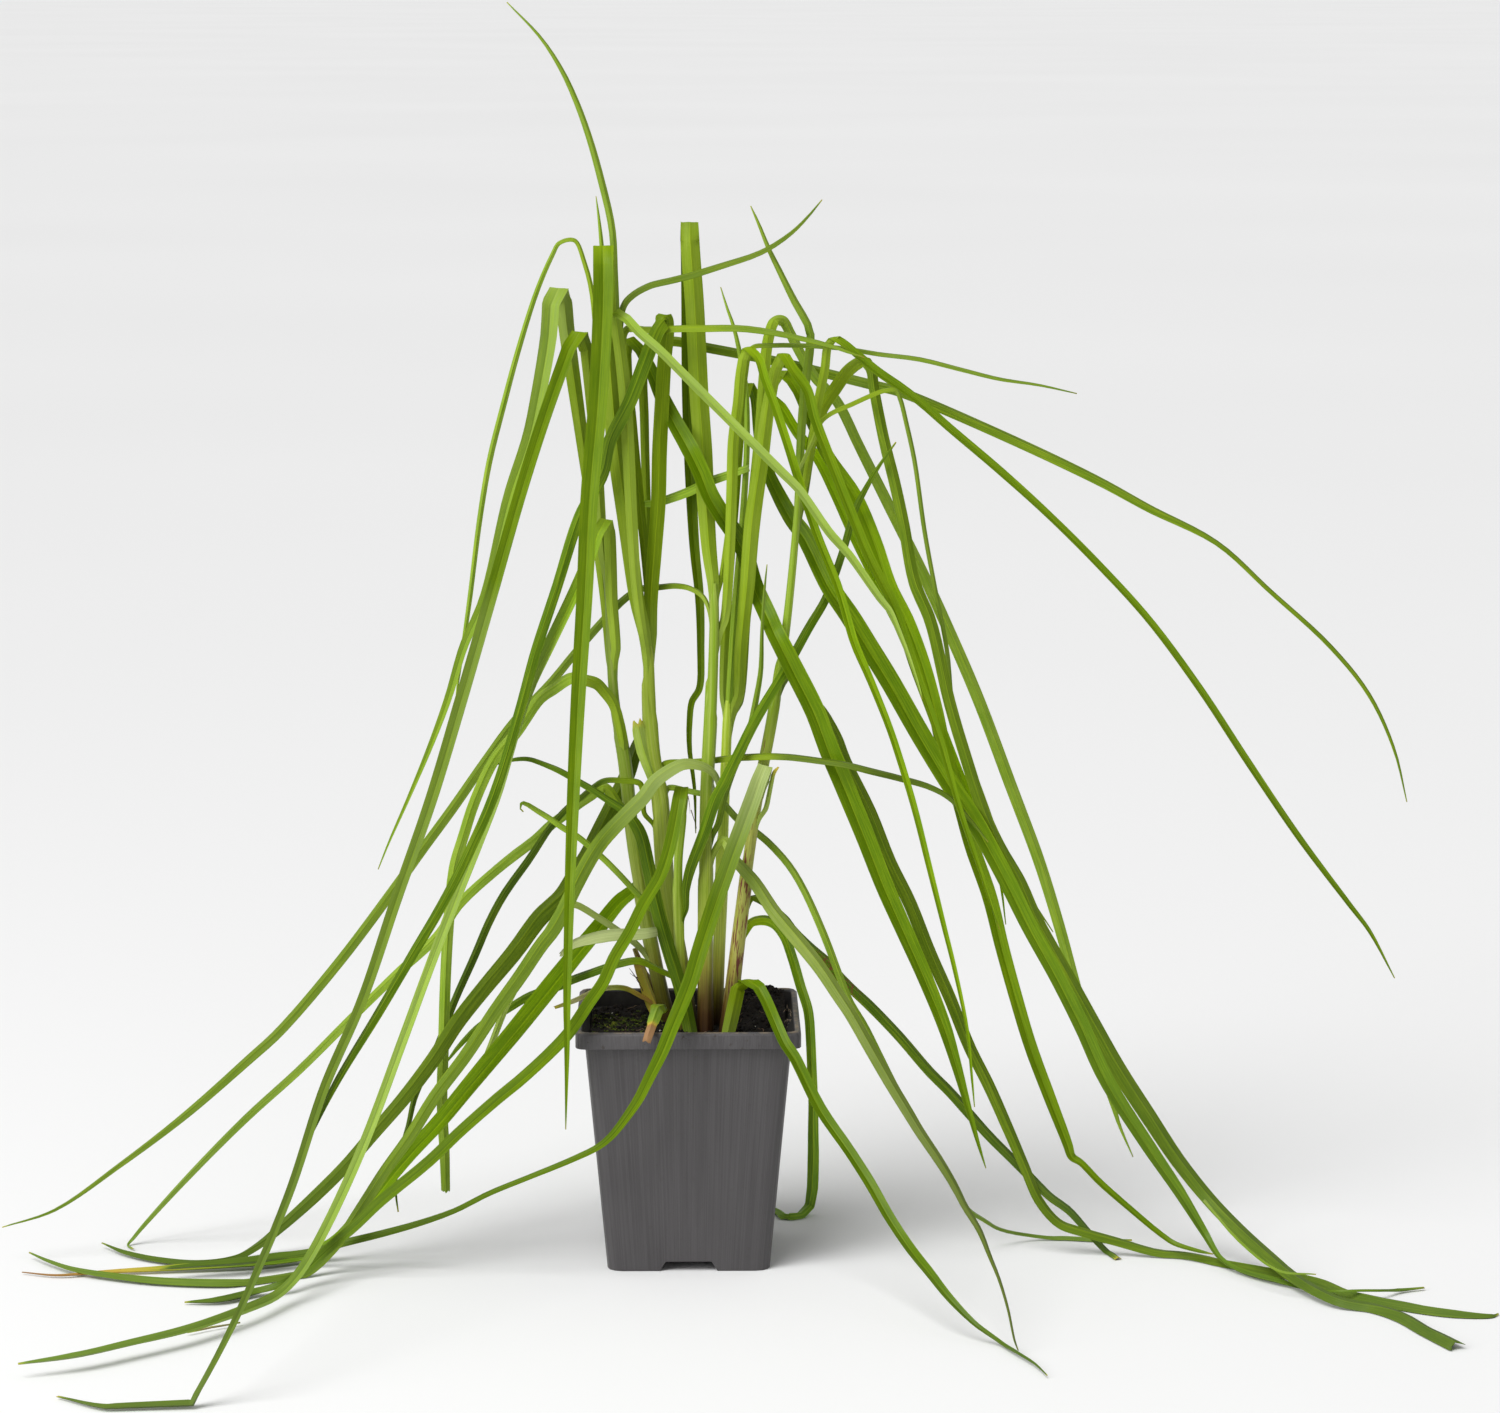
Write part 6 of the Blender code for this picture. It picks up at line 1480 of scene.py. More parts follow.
leaf("leaf_brown_tipped", [
    (-14.5, 146, 7.5, 2.4), (-21, 153, 8, 2.4), (-27, 159.5, 8, 2.4), (-33.5, 166, 8, 2.4),
    (-43.5, 174.5, 8, 2.4), (-50, 178.5, 9, 2.4), (-55, 182, 9, 2.2), (-61, 185.5, 9, 2),
    (-66, 188, 9, 1.4), (-68, 187, 10, 0.8), (-65.5, 184, 11, 0.5)], green=DULL, creased=3, tone=1.2)
leaf("leaf_left_short", [
    (-19.5, 131, -6, 2.6), (-26, 136, -3, 2.6), (-35, 142, 0, 2.6), (-45, 147.5, 4, 2.6),
    (-49.5, 146.5, 6, 2.6), (-54, 140, 8, 2.8), (-59, 131, 9, 2.8), (-63.5, 123, 9, 2.8),
    (-69, 113.5, 9, 2.8), (-73, 105.5, 9, 2.8), (-77, 95, 8, 2.6), (-82.5, 81.5, 7, 2)],
    green=PALE, tone=1, pale=((0, 0.6), (0.3, 0.5), (0.5, 0.1), (1, 0)))
leaf("leaf_left_broad", [
    (-17.5, 215, -6, 4), (-20, 211, -10, 5), (-23.5, 201, -14, 6), (-29, 189, -15, 7),
    (-35, 177, -13, 7.2), (-39.5, 168, -10, 7.2), (-44, 161, -6, 7.2), (-50, 151.5, -1, 7.2),
    (-59, 143, 4, 7), (-69, 129.5, 8, 6.8), (-81, 115, 11, 6.4), (-92, 101, 13, 6.2), (-101, 87, 13, 6),
    (-113, 71, 13, 5.8), (-125, 57, 12, 5.4), (-137, 43, 11, 5), (-149, 31, 10, 4.8), (-161, 20, 9, 4.2),
    (-171, 11.5, 9, 3), (-181, 6.5, LAID, 2.2), (-195, 4.6, LAID, 1.6), (-211, 5.8, LAID, 1.5),
    (-225, 8.6, LAID, 1.1), (-234, 11.8, LAID, 0.3)], 2.4, green=OLIVE, tone=0.6)
leaf("leaf_arched_over_left", [
    (12.8, 188, 8, 1.8), (12.8, 195, 10.5, 2.2), (10.5, 200, 14, 3), (6, 203, 17, 3.6),
    (-1, 204, 19.5, 4.4), (-7, 201.5, 21, 5), (-13, 197, 22, 5.4), (-17.5, 191, 23, 5.6),
    (-23, 185.5, 24, 5.8), (-33, 175, 26, 6), (-38, 168, 26, 6), (-44, 157, 26, 6), (-53, 139, 26, 5.8),
    (-59, 131, 26, 5.6), (-67, 119, 27, 5.6), (-77, 105, 28, 5.4), (-89, 87, 30, 5.2), (-101, 71, 32, 5),
    (-111, 55, 34, 4.8), (-121, 41, 35, 4.6), (-131, 25.5, 35, 4.4), (-141, 11, 36, 4),
    (-152, 0.5, 41, 3.4), (-163, -2.5, 47, 2.6), (-183, -3, LAID, 2.4), (-207, -2.5, LAID, 2.2),
    (-225, -1, LAID, 1.8), (-245, 1.8, LAID, 1.3), (-255, 4.8, LAID, 1), (-263, 8, LAID, 0.4)],
    3, green=DULL, tone=0.78, pale=((0, 0.3), (0.05, 0.42), (0.14, 0.32), (0.22, 0.0), (1, 0)))
leaf("leaf_left_yellowing", [
    (-13, 163, -15, 4), (-20, 153, -15.5, 5), (-27, 147, -12, 6), (-35, 137, -5, 6.6), (-45, 125, 2, 7),
    (-53, 115, 7, 7.4), (-61, 105, 11, 7.4), (-69, 95, 14, 7.2), (-79, 83, 16, 7), (-89, 71, 17, 6.6),
    (-99, 59, 17, 6.2), (-111, 46, 17, 5.8), (-121, 34, 17, 5.4), (-131, 21.5, 16, 5),
    (-141, 11.5, 16, 4.2), (-155, 4.5, LAID, 3.4), (-175, 2.3, LAID, 3), (-213, 0.3, LAID, 2.8),
    (-235, -0.6, LAID, 1.6), (-252, -1.6, LAID, 1), (-266, -0.2, LAID, 0.4)],
    green=OLIVE, shrivel=0.5, dry=((0, 0), (0.72, 0), (0.83, 0.22), (0.91, 0.5), (1, 0.9)))
leaf("leaf_front_left", [
    (-1.5, 191.5, 12, 4.4), (-2, 194, 14, 5.2), (-2.5, 192, 16.5, 5.6), (-3.5, 186, 18, 5.6),
    (-5.5, 175, 20, 5.2), (-8, 165, 23, 5), (-11, 157, 25, 4.8), (-17, 147, 28, 4.8), (-23, 135, 33, 4.8),
    (-29, 125, 38, 4.8), (-33.5, 115, 43, 4.8), (-39, 107, 47, 4.8), (-47, 95, 50, 4.8),
    (-55, 86.5, 50, 4.6), (-67, 75.5, 49, 4.6), (-75, 69, 48, 4.6), (-91, 55, 47, 4.4),
    (-103, 43.5, 46, 4.4), (-123, 27, 46, 4.2), (-133, 17.5, 45, 4), (-143, 9, 48, 3.8),
    (-153, 0, 56, 3.4), (-161, -5, 66, 2.8), (-173, -9, LAID, 2.2), (-187, -12, LAID, 1.6),
    (-201, -12.3, LAID, 0.3)], green=DULL, creased=6, tone=0.65)
leaf("leaf_over_pot_front", [
    (31.5, 199, 12.8, 5), (32.3, 202, 13.2, 5.6), (31, 202.3, 15.2, 6), (28, 193, 18, 6.4),
    (24.5, 183, 20, 6.8), (18.5, 167, 24, 6.8), (15, 157, 27, 6.6), (11.5, 147, 30, 6.6),
    (5, 127, 37, 6.4), (2, 117, 41, 6.2), (-1, 109, 46, 6), (-6, 97, 52, 5.6), (-10, 87, 55, 5),
    (-15, 77, 57, 4.4), (-19, 69, 58, 4), (-24, 61.5, 57, 3.4), (-30, 54, 56, 2.8),
    (-35.5, 49.5, 55, 2.4), (-47, 44, 52, 2.2), (-63, 37.5, 48, 2), (-79, 31, 42, 2), (-93, 24, 36, 2),
    (-107, 19, 32, 2.4), (-123, 14.5, 29, 2.8), (-139, 10.5, 27, 3), (-149, 7.5, 26, 3),
    (-163, 5, LAID, 2.8), (-179, 3, LAID, 2.4), (-195, 2, LAID, 1.6), (-211, 1, LAID, 0.4)],
    4.6, green=DULL, creased=7, tone=0.6,
    pale=((0, 0.3), (0.05, 0.6), (0.09, 0.5), (0.16, 0.1), (0.22, 0), (1, 0)))


# Short and dry leaves
# The small leaves low in the clump: old ones that have dried pale or brown, one that was cut off
# over the rim, and thin green ones that hang beside the pot.

leaf("leaf_dry_pale", [
    (-12, 137, 18, 3.6), (-19, 136, 19, 4.4), (-27, 136, 20, 4.6), (-35, 135, 21, 4.8),
    (-45, 132, 21, 3.6), (-51, 127, 21, 1.6)],
    green=PALE, tone=0.52, pale=((0, 0.7), (1, 0.9)), ragged=1.5, root=0)
leaf("leaf_low_green", [
    (-10.5, 121, 6, 2.4), (-19, 125, 7, 3), (-27, 124, 6, 3.2), (-39, 120, 2, 3.2), (-47, 117, -4, 3.2),
    (-51, 115, -5, 3.2), (-63, 111, -6, 3.2), (-73, 105, -6, 3), (-83, 99, -8, 2.6), (-91, 91, -9, 2),
    (-97, 83, -10, 0.6)], green=DARK, tone=1.05)
leaf("leaf_dry_wiry", [
    (-17, 110, -15, 1.8), (-25, 114, -14, 2), (-35, 113.5, -12, 2), (-45, 109, -8, 2),
    (-53, 106, -4, 1.2)],
    green=STRAW, tone=2.2, dry=((0, 0.7), (0.25, 0.55), (0.5, 0.1), (0.8, 0.05), (1, 0.4)))
leaf("leaf_cut_stub", [
    (-10, 106.5, 18, 4.4), (-11.5, 106, 25, 4.8), (-13, 102.5, 38, 4.8), (-14.5, 98, 48, 4.8),
    (-16.5, 92, 52, 4.4)],
    shrivel=0.25, dry=((0, 0), (0.68, 0.02), (0.76, 0.3), (0.84, 0.9), (1, 0.95)), ragged=1.5, root=6,
    pale=((0, 0), (1, 0)))
leaf("leaf_base_right", [
    (17, 99, 22, 5.6), (19, 108, 22, 5.8), (20.5, 114, 23, 5.6), (23, 117, 26, 5), (27, 115.5, 30, 4.8),
    (31, 109, 36, 4.6), (35, 100, 45, 4.6), (39, 91, 51, 4.6), (43, 85, 54, 4.6), (53, 65, 62, 4.6),
    (65, 47.5, 72, 4.4), (73, 35, 80, 4.4), (81, 21, 90, 4.2), (89, 9, 102, 4), (97, -1, 117, 3.6),
    (105, -11, 129, 3), (115, -21, 138, 2), (125, -28.5, LAID, 1.4), (132.5, -33, LAID, 1),
    (139, -37, LAID, 0.8), (144, -41.5, LAID, 0.4)], 1.2, green=OLIVE, tone=0.68, creased=7)
leaf("leaf_behind_pot", [
    (23.5, 137, 10, 3), (26, 140.5, 9, 3.6), (31, 141.5, 8, 4), (35, 140, 7, 4), (39, 135, 4, 4),
    (42, 127, 0, 4), (45.5, 115, -6, 4), (48.5, 105, -14, 4), (49.5, 93, -24, 4), (50, 81, -32, 4),
    (50.5, 69, -38, 4), (50.5, 57, -44, 4.4), (50.5, 45, -50, 4.8), (50, 33, -56, 4.8),
    (49, 27, -60, 4.4), (45, 23.5, LAID, 3.2), (40, 23, LAID, 2.8), (35.5, 25.5, LAID, 2.4),
    (20, 29, LAID, 1.6), (6, 31, LAID, 0.6)], 2.2, green=DARK, tone=1.85, kinks=((14, 8),))
leaf("leaf_spotted", [
    (26, 150, 11, 2.6), (33, 147, 9, 3), (39.5, 141.5, 7, 3.4), (43, 137, 6, 3.4), (49, 131, 5, 3.6),
    (57, 124, 5, 3.6), (61, 119, 5, 3.8), (67, 113, 5, 3.8), (73, 107.5, 6, 4), (85, 95, 6, 4),
    (97, 81, 7, 4), (105, 73, 7, 4), (113, 64, 8, 4), (121, 55, 8, 3.8), (129, 47, 8, 3.6),
    (137, 39, 8, 3.6), (145, 31, 8, 3.4), (153, 25, 7, 3.2), (161, 16, 7, 2.8), (167, 9.5, 7, 2.4),
    (172.5, 5.5, LAID, 1.8)],
    green=DARK, tone=0.68,
    spots=((0, 0), (0.24, 0), (0.26, 1), (0.28, 1), (0.295, 0.1), (0.31, 1), (0.325, 1),
           (0.34, 0),
            (1, 0)))
leaf("leaf_low_right", [
    (-7.5, 194, 0, 2.4), (0, 193, 0, 2.2), (5, 192, 1, 2.2), (9, 191.5, 2, 2.4), (13, 189.5, 2, 2.6),
    (20, 182, 4, 2.8), (27, 177, 5, 2.8), (33, 172, 6, 2.8), (41, 163, 9, 2.8), (47, 153, 12, 2.8),
    (55, 135, 17, 3), (61, 119, 21, 3), (65, 109, 24, 3), (71, 99, 27, 3), (77, 87, 30, 3),
    (83, 75, 32, 3), (89, 65, 32, 2.8), (97, 51, 30, 2.6), (103, 41, 27, 2.4), (108.5, 31, 22, 2),
    (113, 25, 16, 1.8), (119, 21, 8, 1.6), (125, 17.5, 0, 1.4), (137, 15, -12, 1.4), (149, 14, LAID, 1.4),
    (161, 13.5, LAID, 1.3), (169, 13, LAID, 1), (178, 13, LAID, 0.4)], 1.4, green=DULL, tone=1)
leaf("leaf_pale_right", [
    (14.5, 173, 14, 3), (19, 166, 18, 4), (27, 157, 20, 5), (35, 145, 22, 5.4), (45, 133, 26, 5.6),
    (53, 123, 30, 5.4), (61, 111, 36, 5.2), (65, 105, 39, 5), (73, 91, 48, 4.8), (81, 77, 58, 4.6),
    (87, 67, 66, 4.4), (93, 57, 76, 4), (101, 45, 88, 3.6), (107, 35, 98, 3), (111, 27, 106, 2.6),
    (117, 17, 118, 2.2), (121, 7, 130, 1.6), (125, -3, 142, 1.2), (128.5, -15, 152, 1),
    (131, -27, 157, 0.8), (132.6, -31.5, 157, 0.4)],
    green=PALE, tone=((0, 0.76), (0.25, 0.7), (0.45, 0.5), (0.7, 0.34), (1, 0.3)))


# Leaves at the top
# The youngest blades, which stand up out of the clump or lie across its top with their ends in the
# air. They are stiffer than the long ones, and each grows from the mouth of a shoot.

leaf("leaf_channelled", [
    (10.5, 277, 5.5, 5), (9, 289, 2, 6), (7.5, 309, -2, 7), (6.5, 329, -5, 7.4), (5, 349, -6, 7.6),
    (4, 369, -7, 7.6), (3, 389, -8, 7.6), (1.5, 409, -9, 7.6), (1, 417.5, -10, 7.4), (1, 420, -13, 7),
    (0.5, 417, -16, 6.4), (0.5, 408, -18, 6), (0.5, 389, -18, 5.6), (0.5, 349, -18, 5),
    (1.5, 317, -17, 4.6), (3, 289, -16, 4), (5, 269, -15, 3.6), (5.5, 249, -13, 3), (5, 233, -11, 2.8),
    (2, 227.5, -10, 2.6), (1, 219, -9, 2.4), (1, 209, -9, 2), (3, 193, -9, 1.4), (3.5, 175.5, -8, 0.4)],
    creased=8, tone=((0, 0.66), (0.36, 0.66), (0.42, 0.5), (0.8, 0.46), (1, 0.4)))
leaf("leaf_thin_top_right", [
    (-18, 257, -5, 2), (-22, 290, -6, 2), (-25.5, 320, -6, 2.2), (-27, 350, -5, 2.4), (-27, 376, -4, 2.6),
    (-25.5, 386.5, -2, 2.6), (-22, 391, 1, 2.6), (-15, 395, 2, 2.6), (-7, 397, 2, 2.6), (1, 399, 1, 2.6),
    (9, 401.5, 1, 2.6), (17, 404, 1, 2.4), (25, 406.5, 1, 2.2), (31, 409, 1, 2), (37, 412.5, 1, 1.8),
    (43, 417, 1, 1.4), (48.5, 422.5, 1, 1), (54, 429, 1, 0.4)], tone=0.62)
leaf("leaf_thin_top_left", [
    (45, 318.5, 0, 3.4), (45.5, 333, -2, 3.4), (47, 353, -5, 3.6), (49, 369, -6, 3.6),
    (49.5, 375, -6, 3.2), (48.5, 379, -6, 3), (46.5, 383, -6, 3), (43, 389, -5, 2.8),
    (36.5, 402, -3, 2.2), (33, 409, -3, 1.8), (28.5, 420, -3, 1.2), (25.5, 426.5, -3, 0.4)],
    tone=0.84, kinks=((4, 4),))
leaf("leaf_spike", [
    (17, 231, -8, 3), (19.5, 269, -9, 3), (22.5, 305, -9, 2.6), (24, 333, -8, 2.4), (23.5, 355, -7, 2),
    (22, 363, -7, 2), (20.5, 371, -7, 1.8), (18.5, 379, -7, 1.4), (16, 386, -7, 1), (13.5, 394, -7, 0.4)],
    tone=1.13)
leaf("leaf_level_light", [
    (-18.5, 257, -7.5, 2.4), (-21, 300, -8.3, 2.4), (-24, 340, -8.5, 2.4), (-26, 370, -7.5, 2.6),
    (-24, 377.5, -5, 2.8), (-17, 377.5, -1, 2.8), (-11, 377.5, 1, 2.8), (-3, 378, 2, 2.8),
    (5, 378, 2, 2.8), (21, 378, 2, 2.6), (33, 376.5, 2, 2.4), (45, 374, 2, 2), (57, 371, 3, 1.6),
    (65, 368, 4, 1), (71, 366, 4, 0.4)], tone=0.82)
leaf("leaf_level_wiry", [
    (13.5, 277, 3, 2), (18, 310, 2, 2), (21.5, 340, 2, 2), (23.5, 360, 2, 2), (26, 370, 2, 1.8),
    (33, 371, 0, 1.8), (45, 371, -2.5, 1.8), (61, 370, -3, 1.8), (77, 367.5, -3.5, 1.8),
    (93, 365.5, 0, 1.8), (109, 361.5, 3, 1.6), (125, 357.5, 5, 1.4), (141, 355, 5, 1),
    (156, 351.5, 5, 0.4)], green=DULL, tone=0.82)
leaf("leaf_level_long", [
    (-15.5, 256, -14, 3), (-16, 300, -17, 3.4), (-17, 340, -18, 3.6), (-17, 365, -18, 3.8),
    (-13, 372, -18, 3.8), (-5, 373, -22, 3.8), (5, 371, -24, 3.8), (21, 368, -25, 3.8),
    (41, 364, -27, 3.8), (61, 359, -26, 4), (77, 355, -20, 4), (85, 353, -15, 4), (125, 336, -8, 3.8),
    (165, 317, 0, 3.4), (185, 306, 4, 3), (212, 292, 8, 2), (233, 273, 10, 1.8), (257, 251, 12, 1.8),
    (273, 231, 13, 1.6), (283, 209, 14, 1.2), (288, 188, 14, 0.4)], green=OLIVE, tone=0.86)
leaf("leaf_hooked", [
    (13.5, 318.5, -9, 3.4), (9, 317, -10, 3.4), (1, 313, -11, 3.6), (-7, 310, -11, 3.4),
    (-13, 308, -11, 3), (-17.5, 307.5, -12, 2.2), (-19.5, 304, -12, 1.6), (-19.5, 297, -12, 0.8)],
    tone=1.5)
leaf("leaf_crossing_right", [
    (-17.5, 255, 7, 3.4), (-20, 272, 7.5, 4), (-22, 300, 8, 4.6), (-23.5, 330, 6.5, 5),
    (-25, 355, 6, 5.2), (-28, 378, 7, 4.6), (-29.3, 384, 9, 4), (-26, 382.5, 12, 3.8),
    (-19, 375, 15, 3.6), (-11, 368, 16, 3.6), (-3, 360, 16, 3.6), (5, 352, 16, 3.6), (13, 344, 16, 3.6),
    (29, 328, 17, 3.6), (37, 320, 17, 3.6), (45, 312, 17, 3.4), (57, 295, 18, 3.4), (65, 286, 18, 3.2),
    (77, 269, 18, 2.8), (81, 264, 18, 2.4), (85, 255, 18, 2), (89, 245, 18, 1.4), (93, 233, 18, 0.8),
    (94, 229, 18, 0.4)],
    creased=6, tone=((0, 1), (0.45, 1), (0.5, 1.2), (1, 1.1)),
    pale=((0, 0.1), (0.45, 0.05), (0.5, 0.35), (1, 0.3)))


# Leaves that fall to the right
# The long blades that rise from the shoots, kink over at the top, and hang or lie to the right of
# the pot. They are the same green straps as at the left, with some duller and darker ones.

leaf("leaf_right_broad", [
    (-14, 254.5, -5, 3), (-16, 280, -9, 3.4), (-19, 310, -10.5, 3.6), (-22, 340, -11.5, 4),
    (-24, 362, -12, 4), (-23.5, 373.5, -13, 4), (-20, 370, -12, 4.2), (-15, 361, -11, 5),
    (-10, 349, -10, 6), (-5, 339, -7, 6.6), (0.5, 329, 0.5, 7), (5, 320, 2, 7), (9, 310, 2, 7),
    (13, 303, 0, 7), (17, 297, -2, 7), (22, 289, -3, 7), (27, 273, -3, 7), (32, 262, 3, 7.2),
    (35, 255, 9.4, 7.4), (38, 249, 11.5, 7.6), (43, 239, 11, 8), (51, 223, 12, 8), (57, 207, 12, 8),
    (63, 193, 12, 8), (71, 173.5, 13, 7.6), (79, 153, 13, 7.2), (87, 135, 14, 6.8), (95, 117, 14, 6.2),
    (103, 97, 15, 5.4), (108, 81, 15, 4), (112.5, 65, 15, 2.6), (116.5, 51, 16, 1.4),
    (119.5, 41.5, 16, 0.4)], green=OLIVE, creased=6, tone=0.82)
leaf("leaf_right_olive", [
    (41.5, 240, 3.5, 3), (44, 236, 3.5, 4.4), (48, 230, 4, 5.6), (53, 225, 5, 6.2), (59, 215, 5, 6),
    (63, 205, 5, 6), (73, 185, 6, 5.6), (81, 165, 7, 5.6), (89, 149, 8, 5.4), (97, 129, 9, 5.2),
    (105, 111, 10, 5), (113, 91, 11, 4.8), (121, 75, 12, 4.8), (129, 57, 12, 4.6), (135, 43, 12, 4.2),
    (141, 29, 11, 3.8), (149, 20, 10, 3.6), (157, 17, 11, 3.6), (173, 12.5, 12, 3.4), (185, 9, 14, 3.2),
    (199, 6, 17, 3), (213, 3.5, LAID, 2.8), (237, -1, LAID, 3), (253, -4.5, LAID, 3.2),
    (267.5, -10, LAID, 3.4), (285, -14, LAID, 3.2), (305, -16.8, LAID, 2.2), (321, -17.5, LAID, 0.9),
    (324.5, -16.5, LAID, 0.4)], green=OLIVE, tone=0.72)
leaf("leaf_right_floor", [
    (14.5, 231, -14, 3), (16, 269, -17, 4), (19, 310, -19, 4), (22, 345, -20, 4), (24.5, 355.5, -21, 4),
    (27, 350, -24, 4), (29, 332, -25, 4.4), (32, 320, -25, 5), (37, 309, -24, 6), (42, 300, -18, 6.6),
    (47, 293, -13, 7), (57, 273, -4, 7.6), (65, 261, -3, 8), (73, 248, -2, 8), (81, 235, -1, 8),
    (93, 214, 1, 8), (105, 194, 4, 7.6), (115, 179, 7, 7.2), (127, 157, 10, 7), (137, 137, 12, 6.6),
    (148, 117, 14, 6.4), (158, 97, 15, 6.4), (167, 77, 16, 6), (184, 50, 16, 5.6), (197, 31, 18, 4.6),
    (207, 15, 20, 3.2), (213, 5.5, 30, 2), (221, 0, LAID, 1.6), (237, -4.5, LAID, 1.4),
    (249, -7.2, 68, 1.2), (261, -8, 80, 1.1), (269, -7.7, 81, 1), (277, -7.7, 79, 1),
    (285, -7.7, LAID, 0.8), (295, -6.5, LAID, 0.4)],
    green=OLIVE, dry=((0, 0), (0.95, 0), (1, 0.1)), creased=5, tone=0.87)
leaf("leaf_right_hidden", [
    (19, 230, -13, 3), (21.5, 262, -21, 3.6), (26, 305, -29, 4), (30, 335, -30, 4), (33, 349.5, -31, 4),
    (36.5, 347, -32, 4), (44, 335, -31, 4), (52, 325, -29, 4), (59, 311, -27, 4), (67, 293, -25, 4),
    (79, 269, -22, 4), (87, 253, -20, 3.6), (95, 235, -18, 3.2), (103, 215, -16, 2.8),
    (111, 195, -14, 2.4), (119, 175, -12, 2), (125, 157, -10, 1.2), (127.5, 139, -9, 0.4)],
    creased=5, tone=1.28)
leaf("leaf_right_ribbon", [
    (15, 262, 6, 3.6), (17, 289, 6.5, 4.2), (18, 317, 7, 4.4), (18.5, 333, 7, 4.4), (20.5, 349, 7.5, 4.2),
    (21.5, 361, 8, 3.8), (24, 370, 8.5, 3.6), (28.5, 365, 10, 3.4), (31, 357, 11, 3.4),
    (34, 349, 12, 3.4), (40, 331, 12, 3.4), (45, 315, 11, 3.4), (52.5, 293, 10, 3.4), (60.5, 273, 9, 3.4),
    (67, 251, 10, 3.4), (73, 237, 11, 3), (81, 217, 12, 2.8), (85, 205, 13, 2.8), (91, 185, 14, 2.6),
    (97, 161, 15, 2.4), (103, 137, 16, 2), (107, 121, 17, 1.8), (112, 97, 18, 1.4), (114, 77, 18, 1),
    (115, 66, 18, 0.4)], creased=5, tone=0.88)
leaf("leaf_right_back", [
    (18.5, 231, -11, 3.4), (22.5, 269, -14, 4), (26, 305, -15, 4.4), (29, 335, -15, 4.4),
    (31, 361, -15, 4.4), (32.5, 374, -15, 4.4), (35, 381, -16, 4.2), (38.5, 381, -18, 4.2),
    (41.5, 376, -20, 4), (45, 369, -21, 4), (51, 359, -22, 4), (60, 349, -24, 4), (69, 331, -28, 4),
    (81, 307, -33, 4.4), (95, 279, -38, 4.6), (105, 257, -41, 4.8), (117, 229, -43, 5),
    (129, 197, -44, 5), (141, 165, -44, 4.8), (149, 139, -44, 4.6), (155, 117, -43, 4.4),
    (158.5, 105, -42, 4.2), (164, 87, -41, 3.6), (170, 69, -40, 2.6), (173, 59, -40, 1.4),
    (178.5, 46, -40, 0.4)], tone=1.1)
leaf("leaf_right_bright", [
    (20.5, 231, -6, 4), (21.5, 250, 1, 5), (24, 275, 5, 6), (26, 300, 5.5, 6.4), (29.5, 325, 6, 6),
    (33, 350, 6, 5), (36, 363, 6, 4.4), (38.5, 367.5, 7, 4), (42, 361, 8, 4), (48, 352, 9, 4),
    (51, 341, 10, 4), (57, 325, 11, 4), (64, 307, 12, 4), (73, 285, 13, 4), (83, 265, 13, 4),
    (91, 241, 13, 3.6), (101, 213, 14, 3), (109, 185, 15, 2.4), (117, 161, 16, 1.6), (125, 137, 17, 0.4)],
    creased=6, tone=0.7)
leaf("leaf_right_kinked", [
    (21, 229.5, -9, 3.4), (23.5, 262, -8, 4), (26.5, 300, -7.5, 4.4), (29.5, 325, -7.5, 4.4),
    (32.5, 347, -7.5, 4.4), (35, 357.5, -8, 4.4), (37.5, 360.5, -9, 4.2), (43, 354, -10, 4.4),
    (49, 341, -11, 4.6), (56, 326, -11, 5), (67.5, 309, -11, 5.4), (75, 291, -10, 5.8), (81, 273, -9, 6),
    (88, 259, -9, 6), (94, 243, -8, 6), (99, 225, -8, 6), (103, 207, -7, 6), (108.5, 189, -6, 6),
    (114, 169, -5, 6), (121, 149, -3, 6), (126, 129, -2, 5.6), (131.5, 109, 0, 5.4), (137.5, 89, 2, 5.2),
    (145, 69, 3, 4.8), (152, 51, 4, 4), (154, 45.5, 4, 3.2), (157.5, 43.2, 5, 2.6), (165, 35.5, 7, 2.6),
    (177, 25, 10, 2.4), (189, 15, 14, 2.2), (195, 11, 17, 2), (205, 8, 24, 1.4), (210.5, 7, 27, 0.4)],
    creased=5, tone=((0, 0.92), (0.5, 0.92), (0.72, 0.72), (0.8, 0.62), (1, 0.56)))
leaf("leaf_far_right", [
    (47.5, 318, 1, 2.6), (50, 333, 1, 3.2), (52.5, 349, 1, 3.6), (55, 361, 1, 3.6), (56.5, 371.5, 1, 3.4),
    (58.5, 374, 1, 3), (63, 371, 1, 3), (68.5, 366, 1, 3.2), (77, 359, 1, 3.4), (85, 353.5, 0, 3.4),
    (93, 347.5, -1, 3.2), (105, 337, -2, 3.2), (125, 320, -4, 3.2), (145, 302, -6, 2.8),
    (165, 282, -8, 2.8), (185, 260, -10, 2.8), (205, 233, -12, 2.8), (225, 202.5, -14, 2.8),
    (245, 173, -16, 2.6), (265, 146.5, -18, 2), (273, 136, -19, 1.6), (283, 117.5, -20, 0.4)],
    green=DULL, creased=4, tone=((0, 0.8), (0.6, 0.8), (0.8, 0.7), (1, 0.7)))
